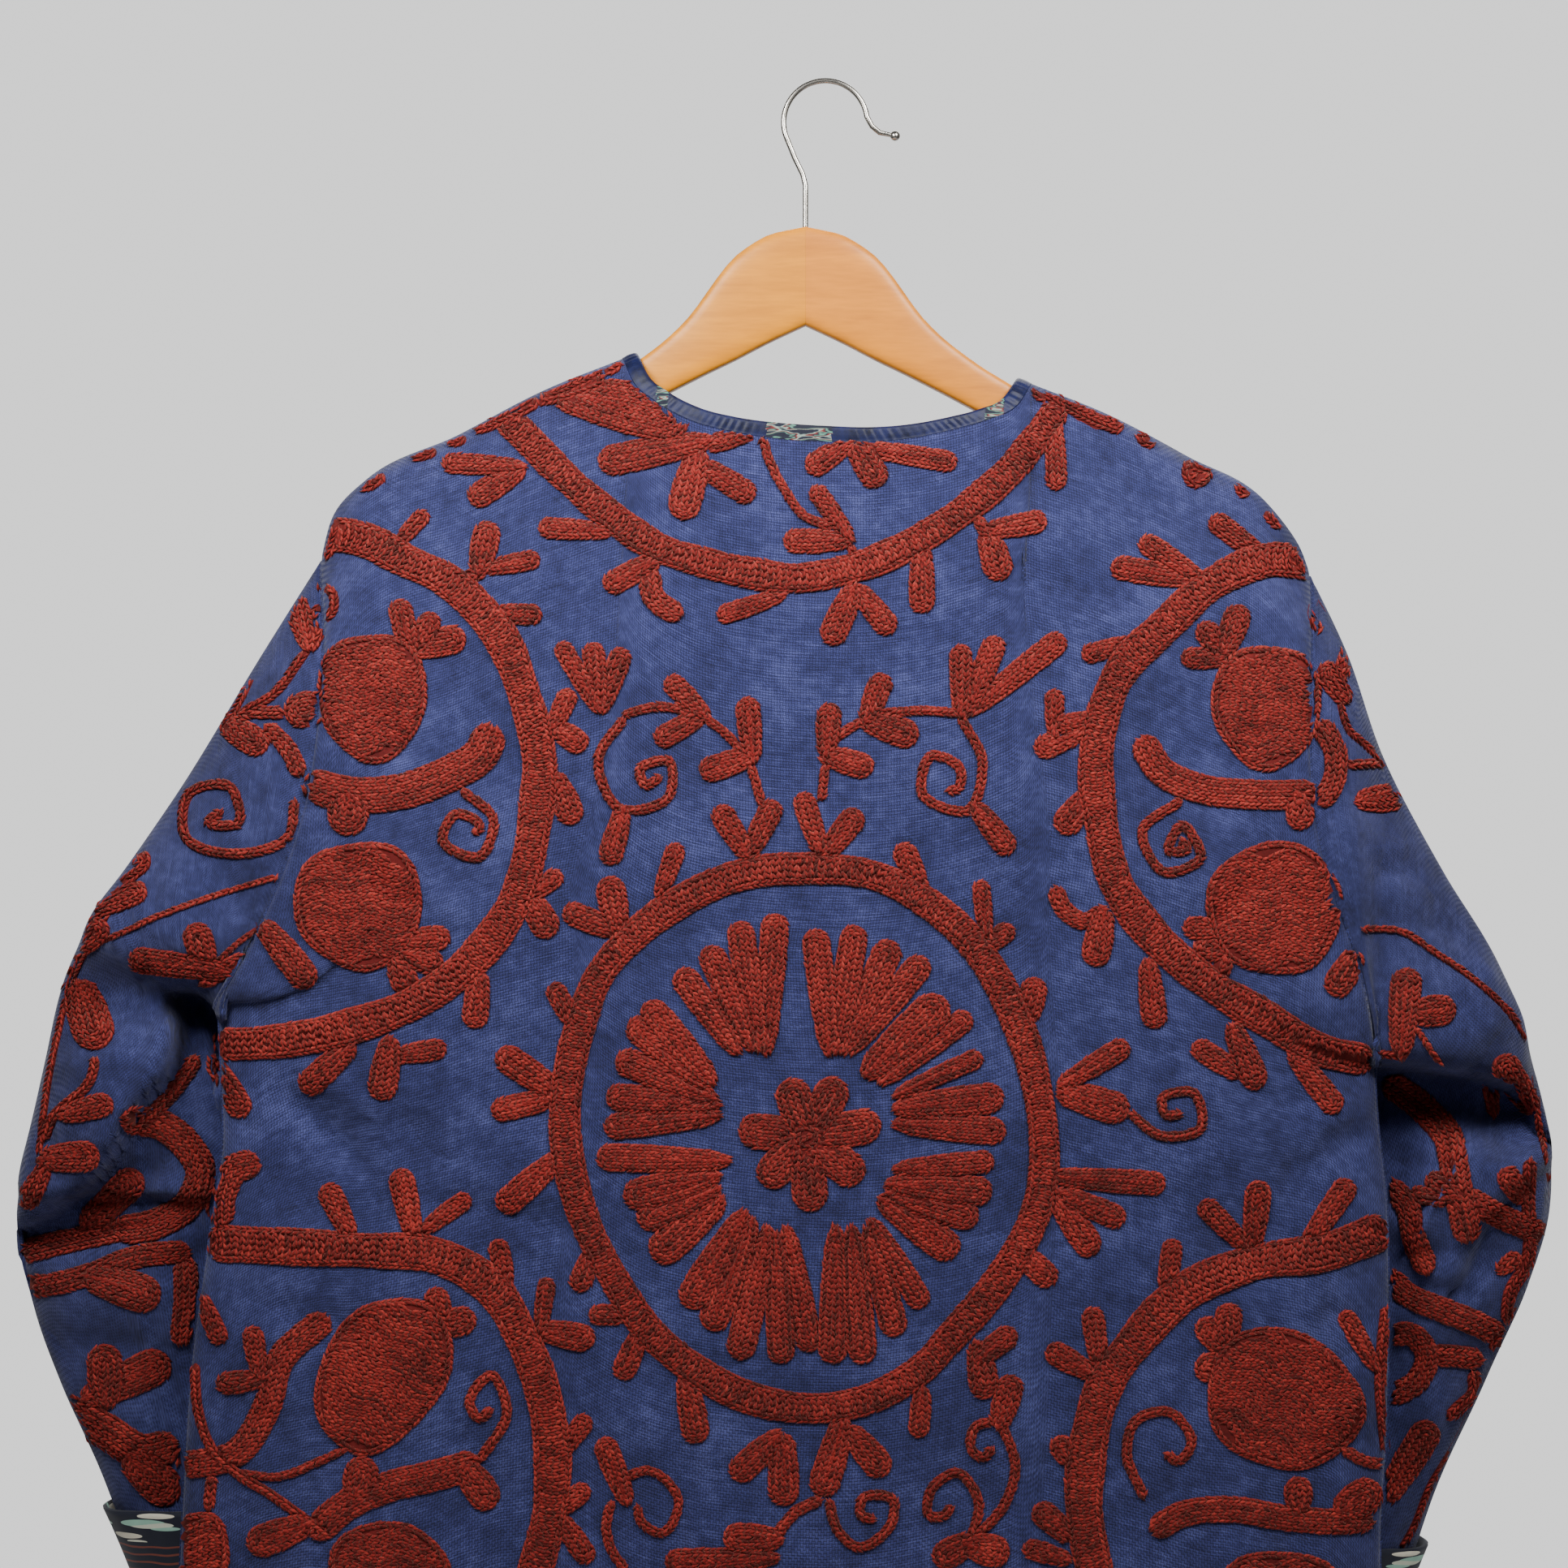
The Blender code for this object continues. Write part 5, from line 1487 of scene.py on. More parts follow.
def beside(line: Array, offset: Array | float) -> Array:
    """Move a line sideways, to its left where the offset is above 0."""
    left = left_of(unit(np.gradient(line, axis=0)))
    return line + left * np.broadcast_to(offset, len(line))[:, None]


@dataclass(frozen=True)
class Yarn:
    """The wool of the chain stitch, and how closely its stitches lie."""

    leg_length: float = 5.7 * MM
    leg_width: float = 2.2 * MM
    leg_height: float = 1.05 * MM
    pitch: float = 2.9 * MM
    row: float = 1.6 * MM
    # Share of a row's width that still takes a row
    least_row: float = 0.35
    slant: float = math.radians(21)
    cross_slant: float = math.radians(17)
    bed: float = 0.12 * MM
    loft: float = 1.2 * MM
    edge_reach: float = 1.3 * MM

    def rise(self, inset: Array | float) -> Array:
        """Give how high the work stands, from its distance to the motif's edge."""
        return self.bed + self.loft * (1 - np.exp(-np.maximum(inset, 0.0) / self.edge_reach))


@dataclass(frozen=True)
class Hand:
    """How unevenly the hand that works the stitches places, turns, sizes and tones them, and how much light and shade
    is painted on their two slants.
    """

    phase: tuple[float, float] = (0.2, 0.8)
    spacing: tuple[float, float] = (-0.12, 0.12)
    length: tuple[float, float] = (0.88, 1.12)
    height: tuple[float, float] = (0.75, 1.25)
    lift: tuple[float, float] = (-0.1, 0.1)
    turn: float = 0.08
    drift: float = 0.1 * MM
    row_tone: float = 0.05
    stitch_tone: float = 0.08
    ground_tone: float = 0.1
    # Painted light and shade by which the two slants differ from their middle: legs of one slant lighter, of the other
    # darker
    slant_shading: float = 0.05


@dataclass
class Row:
    """One line of stitch legs, with its distance to the motif's edge and its slant."""

    line: Array
    inset: float
    slant: float


class Motif:
    """One worked shape of the embroidery: its padded ground and its rows of stitches."""

    def ground(self) -> tuple[Array, Array]:
        """Give a grid of points in the XZ plane and each one's distance to the edge."""
        raise NotImplementedError

    def rows(self, yarn: Yarn) -> Iterator[Row]:
        """Give the rows of stitch legs."""
        raise NotImplementedError


@dataclass
class Leaf(Motif):
    """A finger-shaped leaf with a rounded tip, worked in lines that follow its outline."""

    base: tuple[float, float]
    tip: tuple[float, float]
    width: float
    base_share: float = 0.74
    base_round: float = 0.14
    widest_share: float = 0.75
    least_reach: float = 0.25
    least_width: float = 0.2
    outline_steps: int = 12
    tip_steps: int = 4

    def middle(self, steps: int) -> Array:
        """Give the centreline, up to the centre of the rounded tip."""
        start, end = np.array(self.base, float) * MM, np.array(self.tip, float) * MM
        reach = max(1 - self.width * MM / 2 / np.linalg.norm(end - start), self.least_reach)
        return start + np.linspace(0, reach, steps)[:, None] * (end - start)

    def half(self, share: Array) -> Array:
        """Give the half width along the centreline, rounded in at the base."""
        full = self.base_share + (1 - self.base_share) * ease(share / self.widest_share)
        rounded = np.sqrt(np.clip(share / self.base_round, self.least_width, 1))
        return self.width * MM / 2 * full * rounded

    def outline(self, inset: float) -> Array:
        """Give the line that runs at a distance inside the outline, from base round tip to base."""
        middle = self.middle(self.outline_steps)
        reach = np.maximum(self.half(np.linspace(0, 1, self.outline_steps)) - inset, 0.0)
        along = unit(middle[-1] - middle[-2])
        turn = np.linspace(math.pi / 2, -math.pi / 2, 2 * self.tip_steps + 1)[1:-1, None]
        cap = middle[-1] + reach[-1] * (np.sin(turn) * left_of(along) + np.cos(turn) * along)
        return np.vstack([beside(middle, reach), cap, beside(middle, -reach)[::-1]])

    def ground(self) -> tuple[Array, Array]:
        """Give the leaf's ground, closed round its tip."""
        middle = self.middle(max(int(self.size() / GROUND_STEP), 4))
        half = self.half(np.linspace(0, 1, len(middle)))
        past = np.sin(np.linspace(0, math.pi / 2, self.tip_steps + 1))[1:] * half[-1]
        line = np.vstack([middle, middle[-1] + past[:, None] * unit(middle[-1] - middle[-2])])
        narrowing = np.sqrt(np.maximum(half[-1] ** 2 - past**2, NARROWEST**2))
        return ribbon(line, np.concatenate([half, narrowing]))

    def size(self) -> float:
        """Give the distance from base to tip."""
        return float(np.hypot(self.tip[0] - self.base[0], self.tip[1] - self.base[1])) * MM

    def rows(self, yarn: Yarn) -> Iterator[Row]:
        """Give rows along the outline, closer in by a row each time, and one down the middle."""
        inset, sign = yarn.row / 2, 1.0
        while self.width * MM / 2 - inset > yarn.row * yarn.least_row:
            yield Row(self.outline(inset), inset, sign * yarn.slant)
            inset, sign = inset + yarn.row, -sign
        yield Row(self.middle(8), inset, sign * yarn.slant)


def ribbon(line: Array, half: Array) -> tuple[Array, Array]:
    """Give a strip's grid of points about its centreline, and each one's distance to the edge."""
    grid = np.stack([beside(line, share * half) for share in RIBBON_SHARES], axis=1)
    return grid, half[:, None] * (1 - np.abs(RIBBON_SHARES))[None]


@dataclass
class Stem(Motif):
    """A stem or scroll of even width, worked in rows along it."""

    width: float
    points: Table

    def line(self, step: float) -> Array:
        """Give the centreline at even steps."""
        return smooth_path(self.points, step)

    def half(self, count: int) -> Array:
        """Give the half width at each step, rounded at both ends."""
        length = np.linalg.norm(np.diff(self.line(2.0 * MM), axis=0), axis=-1).sum()
        share = np.linspace(0, 1, count)
        from_end = np.minimum(share, 1 - share) * length / (self.width * MM / 2)
        return self.width * MM / 2 * np.sqrt(1 - (1 - np.clip(from_end, END_SHARE, 1)) ** 2)

    def ground(self) -> tuple[Array, Array]:
        """Give the stem's ground."""
        line = self.line(STEM_STEP)
        return ribbon(line, self.half(len(line)))

    def rows(self, yarn: Yarn) -> Iterator[Row]:
        """Give the rows, side by side."""
        line = self.line(ROW_STEP)
        count = max(int(round(self.width * MM / yarn.row)), 2)
        for index in range(count):
            offset = (index - (count - 1) / 2) * self.width * MM / count
            inset = self.width * MM / 2 - abs(offset)
            sign = 1.0 if index % 2 else -1.0
            room = self.half(len(line)) - yarn.row / 2
            yield Row(beside(line, np.clip(offset, -room, room)), inset, sign * yarn.slant)


@dataclass
class Band(Stem):
    """A wide band: chain rows along both edges, filled with rows that run across it."""

    closed: bool = False
    edge_rows: int = 2
    arc: float = 0.22
    arc_steps: int = 9
    arc_spacing: float = 1.05
    # How much the width wavers, and how often along the band
    wavers: tuple[tuple[float, int, float], ...] = ((0.04, 5, 0.0), (0.03, 11, 1.0))

    def line(self, step: float) -> Array:
        """Give the centreline at even steps."""
        return smooth_path(self.points, step, self.closed)

    def half(self, count: int) -> Array:
        """Give the half width at each step, a little uneven as hand work is."""
        share = np.arange(count) / max(count - 1, 1)
        wave = sum(
            much * np.sin(2 * math.pi * often * share + start) for much, often, start in self.wavers
        )
        return (self.width * MM / 2 if self.closed else super().half(count)) * (1 + wave)

    def rows(self, yarn: Yarn) -> Iterator[Row]:
        """Give the edge rows, and then short arcs across the band between them."""
        line = self.line(ROW_STEP)
        half = self.half(len(line))
        for index in range(self.edge_rows):
            inset = (index + 0.5) * yarn.row
            for side in (1.0, -1.0):
                sign = side if index % 2 else -side
                yield Row(beside(line, side * np.maximum(half - inset, 0.0)), inset, sign * yarn.slant)
        across = self.line(yarn.row * self.arc_spacing)
        half = self.half(len(across)) - self.edge_rows * yarn.row
        along = unit(np.gradient(across, axis=0))
        left = left_of(along)
        shares = np.linspace(-1, 1, self.arc_steps)
        for index in np.flatnonzero(half > yarn.pitch / 2):
            bulge = self.arc * half[index] * (1 - shares**2)
            straight = across[index] + shares[:, None] * half[index] * left[index]
            arc = straight + bulge[:, None] * along[index]
            sign = 1.0 if index % 2 else -1.0
            yield Row(arc, self.width * MM / 2, sign * yarn.cross_slant)


@dataclass
class Fruit(Motif):
    """A pomegranate: rows round its outline and wavy rows across it."""

    centre: tuple[float, float]
    half_width: float
    half_height: float
    tilt: float = 0.0
    outline_rows: int = 2
    taper: float = 0.08
    squareness: float = 0.94
    wave: float = 2.2 * MM
    wave_length: float = 25.0 * MM
    # How much the outline wavers, and how often round it
    wavers: tuple[tuple[float, int], ...] = ((0.025, 3), (0.02, 5))
    # Rings of its ground: the first ones' distances to the edge, then even ones up to the core
    rim: tuple[float, ...] = (0.0, 0.8 * MM, 2 * MM)
    inner_start: float = 4 * MM
    inner_rings: int = 6
    core: float = 0.99
    ground_steps: int = 44
    ring_steps: int = 80

    def place(self, across: Array, up: Array) -> Array:
        """Turn places about the fruit's own middle into places of the XZ plane."""
        turn = math.radians(self.tilt)
        x = across * math.cos(turn) - up * math.sin(turn)
        z = across * math.sin(turn) + up * math.cos(turn)
        return np.stack([x, z], axis=-1) + np.array(self.centre, float) * MM

    def ring(self, inset: float, steps: int) -> Array:
        """Give the outline, moved inwards."""
        turn = np.linspace(0, 2 * math.pi, steps)
        wide, high = self.half_width * MM - inset, self.half_height * MM - inset
        across, up = (np.sign(v) * np.abs(v) ** self.squareness for v in (np.cos(turn), np.sin(turn)))
        waves = zip(self.wavers, self.centre)
        uneven = sum((much * np.sin(often * turn + start) for (much, often), start in waves), 1.0)
        return self.place(wide * across * (1 + self.taper * up) * uneven, high * up * uneven)

    def ground(self) -> tuple[Array, Array]:
        """Give the fruit's ground, in rings from the outline inwards."""
        small = min(self.half_width, self.half_height) * MM
        inner = np.linspace(self.inner_start, small * self.core, self.inner_rings)
        insets = np.unique(np.concatenate([self.rim, inner]))
        insets = insets[insets < small]
        rings = [self.ring(inset, self.ground_steps) for inset in insets]
        return np.stack(rings, axis=1)[::-1], np.tile(insets, (self.ground_steps, 1))

    def rows(self, yarn: Yarn) -> Iterator[Row]:
        """Give the rows round the outline, and then the wavy ones across."""
        small = min(self.half_width, self.half_height) * MM
        inset, sign = yarn.row / 2, 1.0
        for _ in range(self.outline_rows):
            if inset < small:
                yield Row(self.ring(inset, self.ring_steps), inset, sign * yarn.slant)
            inset, sign = inset + yarn.row, -sign
        wide, high = self.half_width * MM - inset, self.half_height * MM - inset
        if min(wide, high) < yarn.row:
            return
        for up in np.arange(-high + yarn.row / 2, high, yarn.row):
            reach = wide * (1 - abs(up / high) ** (2 / self.squareness)) ** (self.squareness / 2)
            reach *= 1 + self.taper * up / high
            if reach < yarn.pitch:
                continue
            across = np.linspace(-reach, reach, max(int(reach / ROW_STEP), 4))
            wave = self.wave * np.sin(2 * math.pi * across / self.wave_length)
            yield Row(self.place(across, up + wave), small, sign * yarn.slant)
            sign = -sign


# A stitch leg's corners: at its tail (-1), middle (0) or tip (1), share of its half width, share
# of its height
STITCH_CORNERS = ((-1, 0.0, 0.1), (1, 0.0, 0.1), (0, 1.0, 0.3), (0, -1.0, 0.3), (0, 0.0, 1.0))
STITCH_FACES = ((0, 3, 4), (0, 4, 2), (1, 2, 4), (1, 4, 3), (0, 2, 3), (1, 3, 2))


@dataclass
class Worked:
    """Stitches or padded ground as arrays: corners, faces, and each corner's tone and cloth."""

    corners: Array
    faces: Array
    tones: Array
    owners: Array

    def pick(self, kept: Array) -> "Worked":
        """Keep the faces whose corners are all kept."""
        faces = self.faces[kept[self.faces].all(axis=1)]
        used, again = np.unique(faces, return_inverse=True)
        return Worked(self.corners[used], again.reshape(faces.shape), self.tones[used], self.owners[used])

    @staticmethod
    def join(parts: Sequence["Worked"]) -> "Worked":
        """Join several into one."""
        starts = np.cumsum([0] + [len(part.corners) for part in parts[:-1]])
        faces = np.vstack([part.faces + start for part, start in zip(parts, starts)])
        rest = [np.concatenate([getattr(part, name) for part in parts]) for name in ("tones", "owners")]
        return Worked(np.vstack([part.corners for part in parts]), faces, *rest)

    def build(self, name: str) -> Object:
        """Build the mesh, with its tone as an attribute."""
        data = bpy.data.meshes.new(name)
        data.from_pydata(self.corners.tolist(), [], self.faces.tolist())
        layer = data.attributes.new("tone", "FLOAT", "POINT")
        layer.data.foreach_set("value", self.tones.astype(np.float32))
        data.shade_smooth()
        return add_object(name, data)


@dataclass
class Needle:
    """Works motifs on one view of the cloth, each one round those that are already there."""

    view: ClothView
    yarn: Yarn
    seed: int
    cell: float = 1.0 * MM
    fine: int = 5
    order_drop: float = 0.12 * MM
    shortest_row: float = 0.8
    hand: Hand = Hand()
    barred: tuple[int, ...] = ()
    stitches: list[Worked] = field(default_factory=list)
    grounds: list[Worked] = field(default_factory=list)

    def __post_init__(self) -> None:
        """Start with bare cloth."""
        size = (CAD_HIGH - CAD_LOW) / self.cell
        self.taken = np.zeros((int(size[2]) + 2, int(size[0]) + 2), bool)
        self.random = np.random.default_rng(self.seed)

    def cells(self, places: Array) -> tuple[Array, Array]:
        """Give the cells of the XZ plane that places fall in."""
        column = (places[..., 0] - CAD_LOW[0]) / self.cell
        row = (places[..., 1] - CAD_LOW[2]) / self.cell
        last = self.taken.shape
        return np.clip(row.astype(int), 0, last[0] - 1), np.clip(column.astype(int), 0, last[1] - 1)

    def lay(self, x: Array, z: Array) -> tuple[Array, Array, Array]:
        """Lay places on the cloth, leaving out the cloths that are barred at present."""
        points, normals, owners = self.view.lay(x, z)
        return points, normals, np.where(np.isin(owners, self.barred), -1, owners)

    def work(self, motif: Motif) -> None:
        """Work one motif: its ground, its stitches, and the cloth that it takes."""
        grid, inset = motif.ground()
        free = ~self.taken[self.cells(grid)]
        self.work_ground(grid, inset, free)
        self.work_rows(list(motif.rows(self.yarn)))
        for axis in (0, 1):
            count = grid.shape[axis]
            at = np.linspace(0, count - 1, (count - 1) * self.fine + 1)
            low = np.minimum(at.astype(int), count - 2)
            share = (at - low)[:, None] if axis else (at - low)[:, None, None]
            grid = np.take(grid, low, axis) * (1 - share) + np.take(grid, low + 1, axis) * share
        self.taken[self.cells(grid)] = True

    def work_ground(self, grid: Array, inset: Array, free: Array) -> None:
        """Lay the motif's padded ground on the cloth."""
        points, normals, owners = self.lay(grid[..., 0], grid[..., 1])
        rise = self.yarn.rise(inset) - self.yarn.bed - self.order_drop
        points = points + normals * rise[..., None]
        rows, columns = inset.shape
        corner = np.arange(rows * columns).reshape(rows, columns)
        quads = [corner[:-1, :-1], corner[1:, :-1], corner[1:, 1:], corner[:-1, 1:]]
        faces = np.stack(quads, axis=-1).reshape(-1, 4)
        flat = points.reshape(-1, 3)
        spans = np.cross(flat[faces[:, 2]] - flat[faces[:, 0]], flat[faces[:, 3]] - flat[faces[:, 1]])
        inward = (spans * normals.reshape(-1, 3)[faces[:, 0]]).sum(axis=1) < 0
        faces[inward] = faces[inward, ::-1]
        owner = owners.ravel()
        same = (owner[faces] == owner[faces[:, :1]]).all(axis=1) & (owner[faces[:, 0]] >= 0)
        faces = faces[same & free.ravel()[faces].any(axis=1)]
        if len(faces):
            tones = self.random.normal(0.0, self.hand.ground_tone, len(flat))
            self.grounds.append(Worked(flat, faces, tones, owner))

    def space(self, row: Row) -> tuple[Array, ...]:
        """Space a row's stitches: their places, turns, distances to the edge and tones with the painted light and
        shade of their slant, or nothing.
        """
        pitch, hand, length = self.yarn.pitch, self.hand, distances(row.line)
        if length[-1] < pitch * self.shortest_row:
            return ()
        count = int(length[-1] / pitch)
        phase = self.random.uniform(*hand.phase)
        at = np.arange(count) + phase + self.random.uniform(*hand.spacing, count)
        at = at * length[-1] / count
        behind, place, ahead = (read_line(at + step * pitch / 4, length, row.line) for step in (-1, 0, 1))
        along = ahead - behind
        turn = np.arctan2(along[:, 1], along[:, 0]) + row.slant
        # The slant term is painted light and shade: legs of one slant are made lighter, of the other darker
        tone = self.random.normal(0.0, hand.row_tone) + hand.slant_shading * np.sign(row.slant)
        return place, turn, np.full(count, row.inset), np.full(count, tone)

    def work_rows(self, rows: Sequence[Row]) -> None:
        """Work the motif's rows of stitches where the cloth is still free."""
        yarn, hand, random = self.yarn, self.hand, self.random
        spaced = [stitches for row in rows if (stitches := self.space(row))]
        if not spaced:
            return
        centre, turn, inset, shade = map(np.concatenate, zip(*spaced))
        free = ~self.taken[self.cells(centre)]
        centre, turn, inset, shade = (values[free] for values in (centre, turn, inset, shade))
        turn = turn + random.normal(0.0, hand.turn, len(turn))
        centre = centre + random.normal(0.0, hand.drift, centre.shape)
        half = yarn.leg_length / 2 * random.uniform(*hand.length, len(turn))[:, None]
        reach = np.stack([np.cos(turn), np.sin(turn)], axis=-1) * half
        laid = [self.lay(*(centre + reach * sign).T) for sign in (-1, 0, 1)]
        (tail, _, tail_of), (middle, up, owner), (tip, _, tip_of) = laid
        kept = (owner >= 0) & (tail_of == owner) & (tip_of == owner)
        tail, middle, up, tip, owner, inset, shade = (
            values[kept] for values in (tail, middle, up, tip, owner, inset, shade)
        )
        across = unit(np.cross(up, tip - tail)) * yarn.leg_width / 2
        high = yarn.leg_height * random.uniform(*hand.height, len(owner))
        rise = yarn.rise(inset) + random.uniform(*hand.lift, len(owner)) * MM
        along = (middle, tip, tail)
        corners = np.stack(
            [along[x] + across * y + up * (rise + z * high)[:, None] for x, y, z in STITCH_CORNERS], axis=1
        )
        many = len(STITCH_CORNERS)
        faces = np.array(STITCH_FACES)[None] + many * np.arange(len(owner))[:, None, None]
        tones = np.repeat(shade + random.normal(0.0, hand.stitch_tone, len(owner)), many)
        if len(faces):
            owners = np.repeat(owner, many)
            self.stitches.append(Worked(corners.reshape(-1, 3), faces.reshape(-1, 3), tones, owners))


@dataclass
class Embroidery:
    """All the wool work, on the cloth seen from behind and on the cloth seen from in front."""

    cloths: dict[str, Object]
    most_faces: int = 190_000
    back_yarn: Yarn = Yarn()
    front_yarn: Yarn = Yarn(leg_length=6.6 * MM, leg_width=2.8 * MM, pitch=3.9 * MM, row=2.1 * MM)

    def motifs(self, face: Face) -> Iterator[Motif]:
        """Give the body's motifs in the order in which they are worked."""
        for side, rows in SHOULDER_WORK.items():
            for start, end, width in rows:
                x, z = (smooth_rows(SHOULDERS[side], np.array([start, end])) * MM).T
                ends = np.stack([x, bow(x), z], axis=-1)
                ends = (on_table(ends) if face is Face.BACK else ends)[:, [0, 2]] / MM
                base, tip = ends - [0.0, SHOULDER_WORK_DROP]
                yield Leaf(tuple(base), tuple(tip), width)
        for name, (width, *points) in BANDS.items():
            yield Band(width, points, closed=name == "medallion ring")
        for x, z, half_width, half_height, tilt in FRUITS:
            yield Fruit((x, z), half_width, half_height, tilt)
        yield from self.small_motifs([group for group in LEAVES if "sleeve" not in group], ["back"])

    def small_motifs(self, leaves: Sequence[str], stems: Sequence[str]) -> Iterator[Motif]:
        """Give the leaves and the stems of some groups."""
        for group in leaves:
            for base_x, base_z, tip_x, tip_z, width in LEAVES[group]:
                along = np.array([tip_x - base_x, tip_z - base_z])
                start = np.array([base_x, base_z]) - along / np.linalg.norm(along) * LEAF_TUCK
                yield Leaf(tuple(start), (tip_x, tip_z), width)
        for group in stems:
            for width, *points in STEMS[group]:
                yield Stem(width, points)

    def hem_motifs(self) -> Iterator[Motif]:
        """Give the motifs towards the hem, as a mirror of those above the lower rings' middle."""
        ring_width, *ring = BANDS["medallion ring"]
        yield Band(ring_width, [(x, mirrored(z)) for x, z in ring], closed=True)
        for base_x, base_z, tip_x, tip_z, width in (leaf for group in HEM_GROUPS for leaf in LEAVES[group]):
            low_base, low_tip = mirrored(base_z), mirrored(tip_z)
            if max(low_base, low_tip) < HEM_START_Z:
                yield Leaf((base_x, low_base), (tip_x, low_tip), width)
        for width, *points in STEMS["back"]:
            lower = [(x, mirrored(z)) for x, z in points]
            if max(z for _, z in lower) < HEM_START_Z:
                yield Stem(width, lower)

    def build(self) -> dict[str, list[Object]]:
        """Work both views, and give each cloth's pieces of wool work."""
        made: dict[str, list[Object]] = {name: [] for name in self.cloths}
        for face, yarn in ((Face.BACK, self.back_yarn), (Face.FRONT, self.front_yarn)):
            wanted = "front" if face is Face.FRONT else "back"
            names = [name for name in self.cloths if wanted in name or "sleeve" in name or "cuff" in name]
            view = ClothView(face, [self.cloths[name] for name in names])
            needle = Needle(view, yarn, seed=7)
            for motif in self.motifs(face):
                needle.work(motif)
            needle.barred = tuple(index for index, name in enumerate(names) if "sleeve" not in name)
            for motif in self.small_motifs(SLEEVE_GROUPS, SLEEVE_GROUPS):
                needle.work(motif)
            needle.barred, needle.yarn = (), self.front_yarn
            for motif in self.hem_motifs():
                needle.work(motif)
            for kind, parts in (("stitches", needle.stitches), ("padding", needle.grounds)):
                whole = Worked.join(parts)
                for index, name in enumerate(names):
                    if "cuff" in name:
                        continue
                    owned = whole.pick(whole.owners == index)
                    made[name].extend(self.split(f"{kind}_{name}_{wanted}", owned))
        return made

    def split(self, name: str, worked: Worked) -> list[Object]:
        """Build the work in pieces of a fair size."""
        count = len(worked.faces) // self.most_faces + 1
        pieces = []
        for index, faces in enumerate(np.array_split(worked.faces, count)):
            part = Worked(worked.corners, faces, worked.tones, worked.owners)
            kept = part.pick(np.ones(len(part.corners), bool))
            pieces.append(kept.build(f"{name}_{index + 1}"))
            LOG.info("%s: %d faces", pieces[-1].name, len(kept.faces))
        return pieces


def linear(colour: str) -> tuple[float, float, float, float]:
    """Turn an sRGB hex colour into linear values."""
    parts = [int(colour[start : start + 2], 16) / 255 for start in (1, 3, 5)]
    values = [part / 12.92 if part <= 0.04045 else ((part + 0.055) / 1.055) ** 2.4 for part in parts]
    return (*values, 1.0)


def add_node(
    tree: Tree, kind: str, inputs: Inputs | None = None, stops: Stops = (), **settings: object
) -> Node:
    """Add one node to a material.

    Args:
        tree: The material's node tree.
        kind: The node's type, without its leading ShaderNode.
        inputs: What goes into its sockets: a node, another node's socket, or a plain value.
        stops: A colour ramp's places and colours, its two ends first.
        settings: The node's own settings.

    Returns:
        The node.
    """
    node = tree.nodes.new("ShaderNode" + kind)
    for key, value in settings.items():
        setattr(node, key, value)
    for key, value in (inputs or {}).items():
        if isinstance(value, (Node, bpy.types.NodeSocket)):
            tree.links.new(value.outputs[0] if isinstance(value, Node) else value, node.inputs[key])
        else:
            node.inputs[key].default_value = value
    for index, (place, colour) in enumerate(stops):
        ramp = node.color_ramp.elements
        stop = ramp[index] if index < 2 else ramp.new(place)
        stop.position, stop.color = place, linear(colour)
    return node


@dataclass(frozen=True)
class Finish:
    """A real material's surface, made of nodes at its real scale."""

    name: str

    def build(self) -> bpy.types.Material:
        """Build the material."""
        material = bpy.data.materials.new(self.name)
        material.use_nodes = True
        tree = material.node_tree
        tree.nodes.clear()
        surface = add_node(tree, "BsdfPrincipled", self.surface(tree))
        add_node(tree, "OutputMaterial", {"Surface": surface})
        return material

    def surface(self, tree: Tree) -> Inputs:
        """Add the nodes of the surface's look, and give what goes into the surface itself."""
        raise NotImplementedError

    def noise(self, tree: Tree, size: float, detail: float = 3.0) -> Node:
        """Add noise whose blotches are of a real size in metres, all through the object."""
        place = add_node(tree, "TexCoord").outputs["Object"]
        return add_node(
            tree, "TexNoise", {"Vector": place, "Scale": 1 / size, "Detail": detail, "Roughness": 0.6}
        )


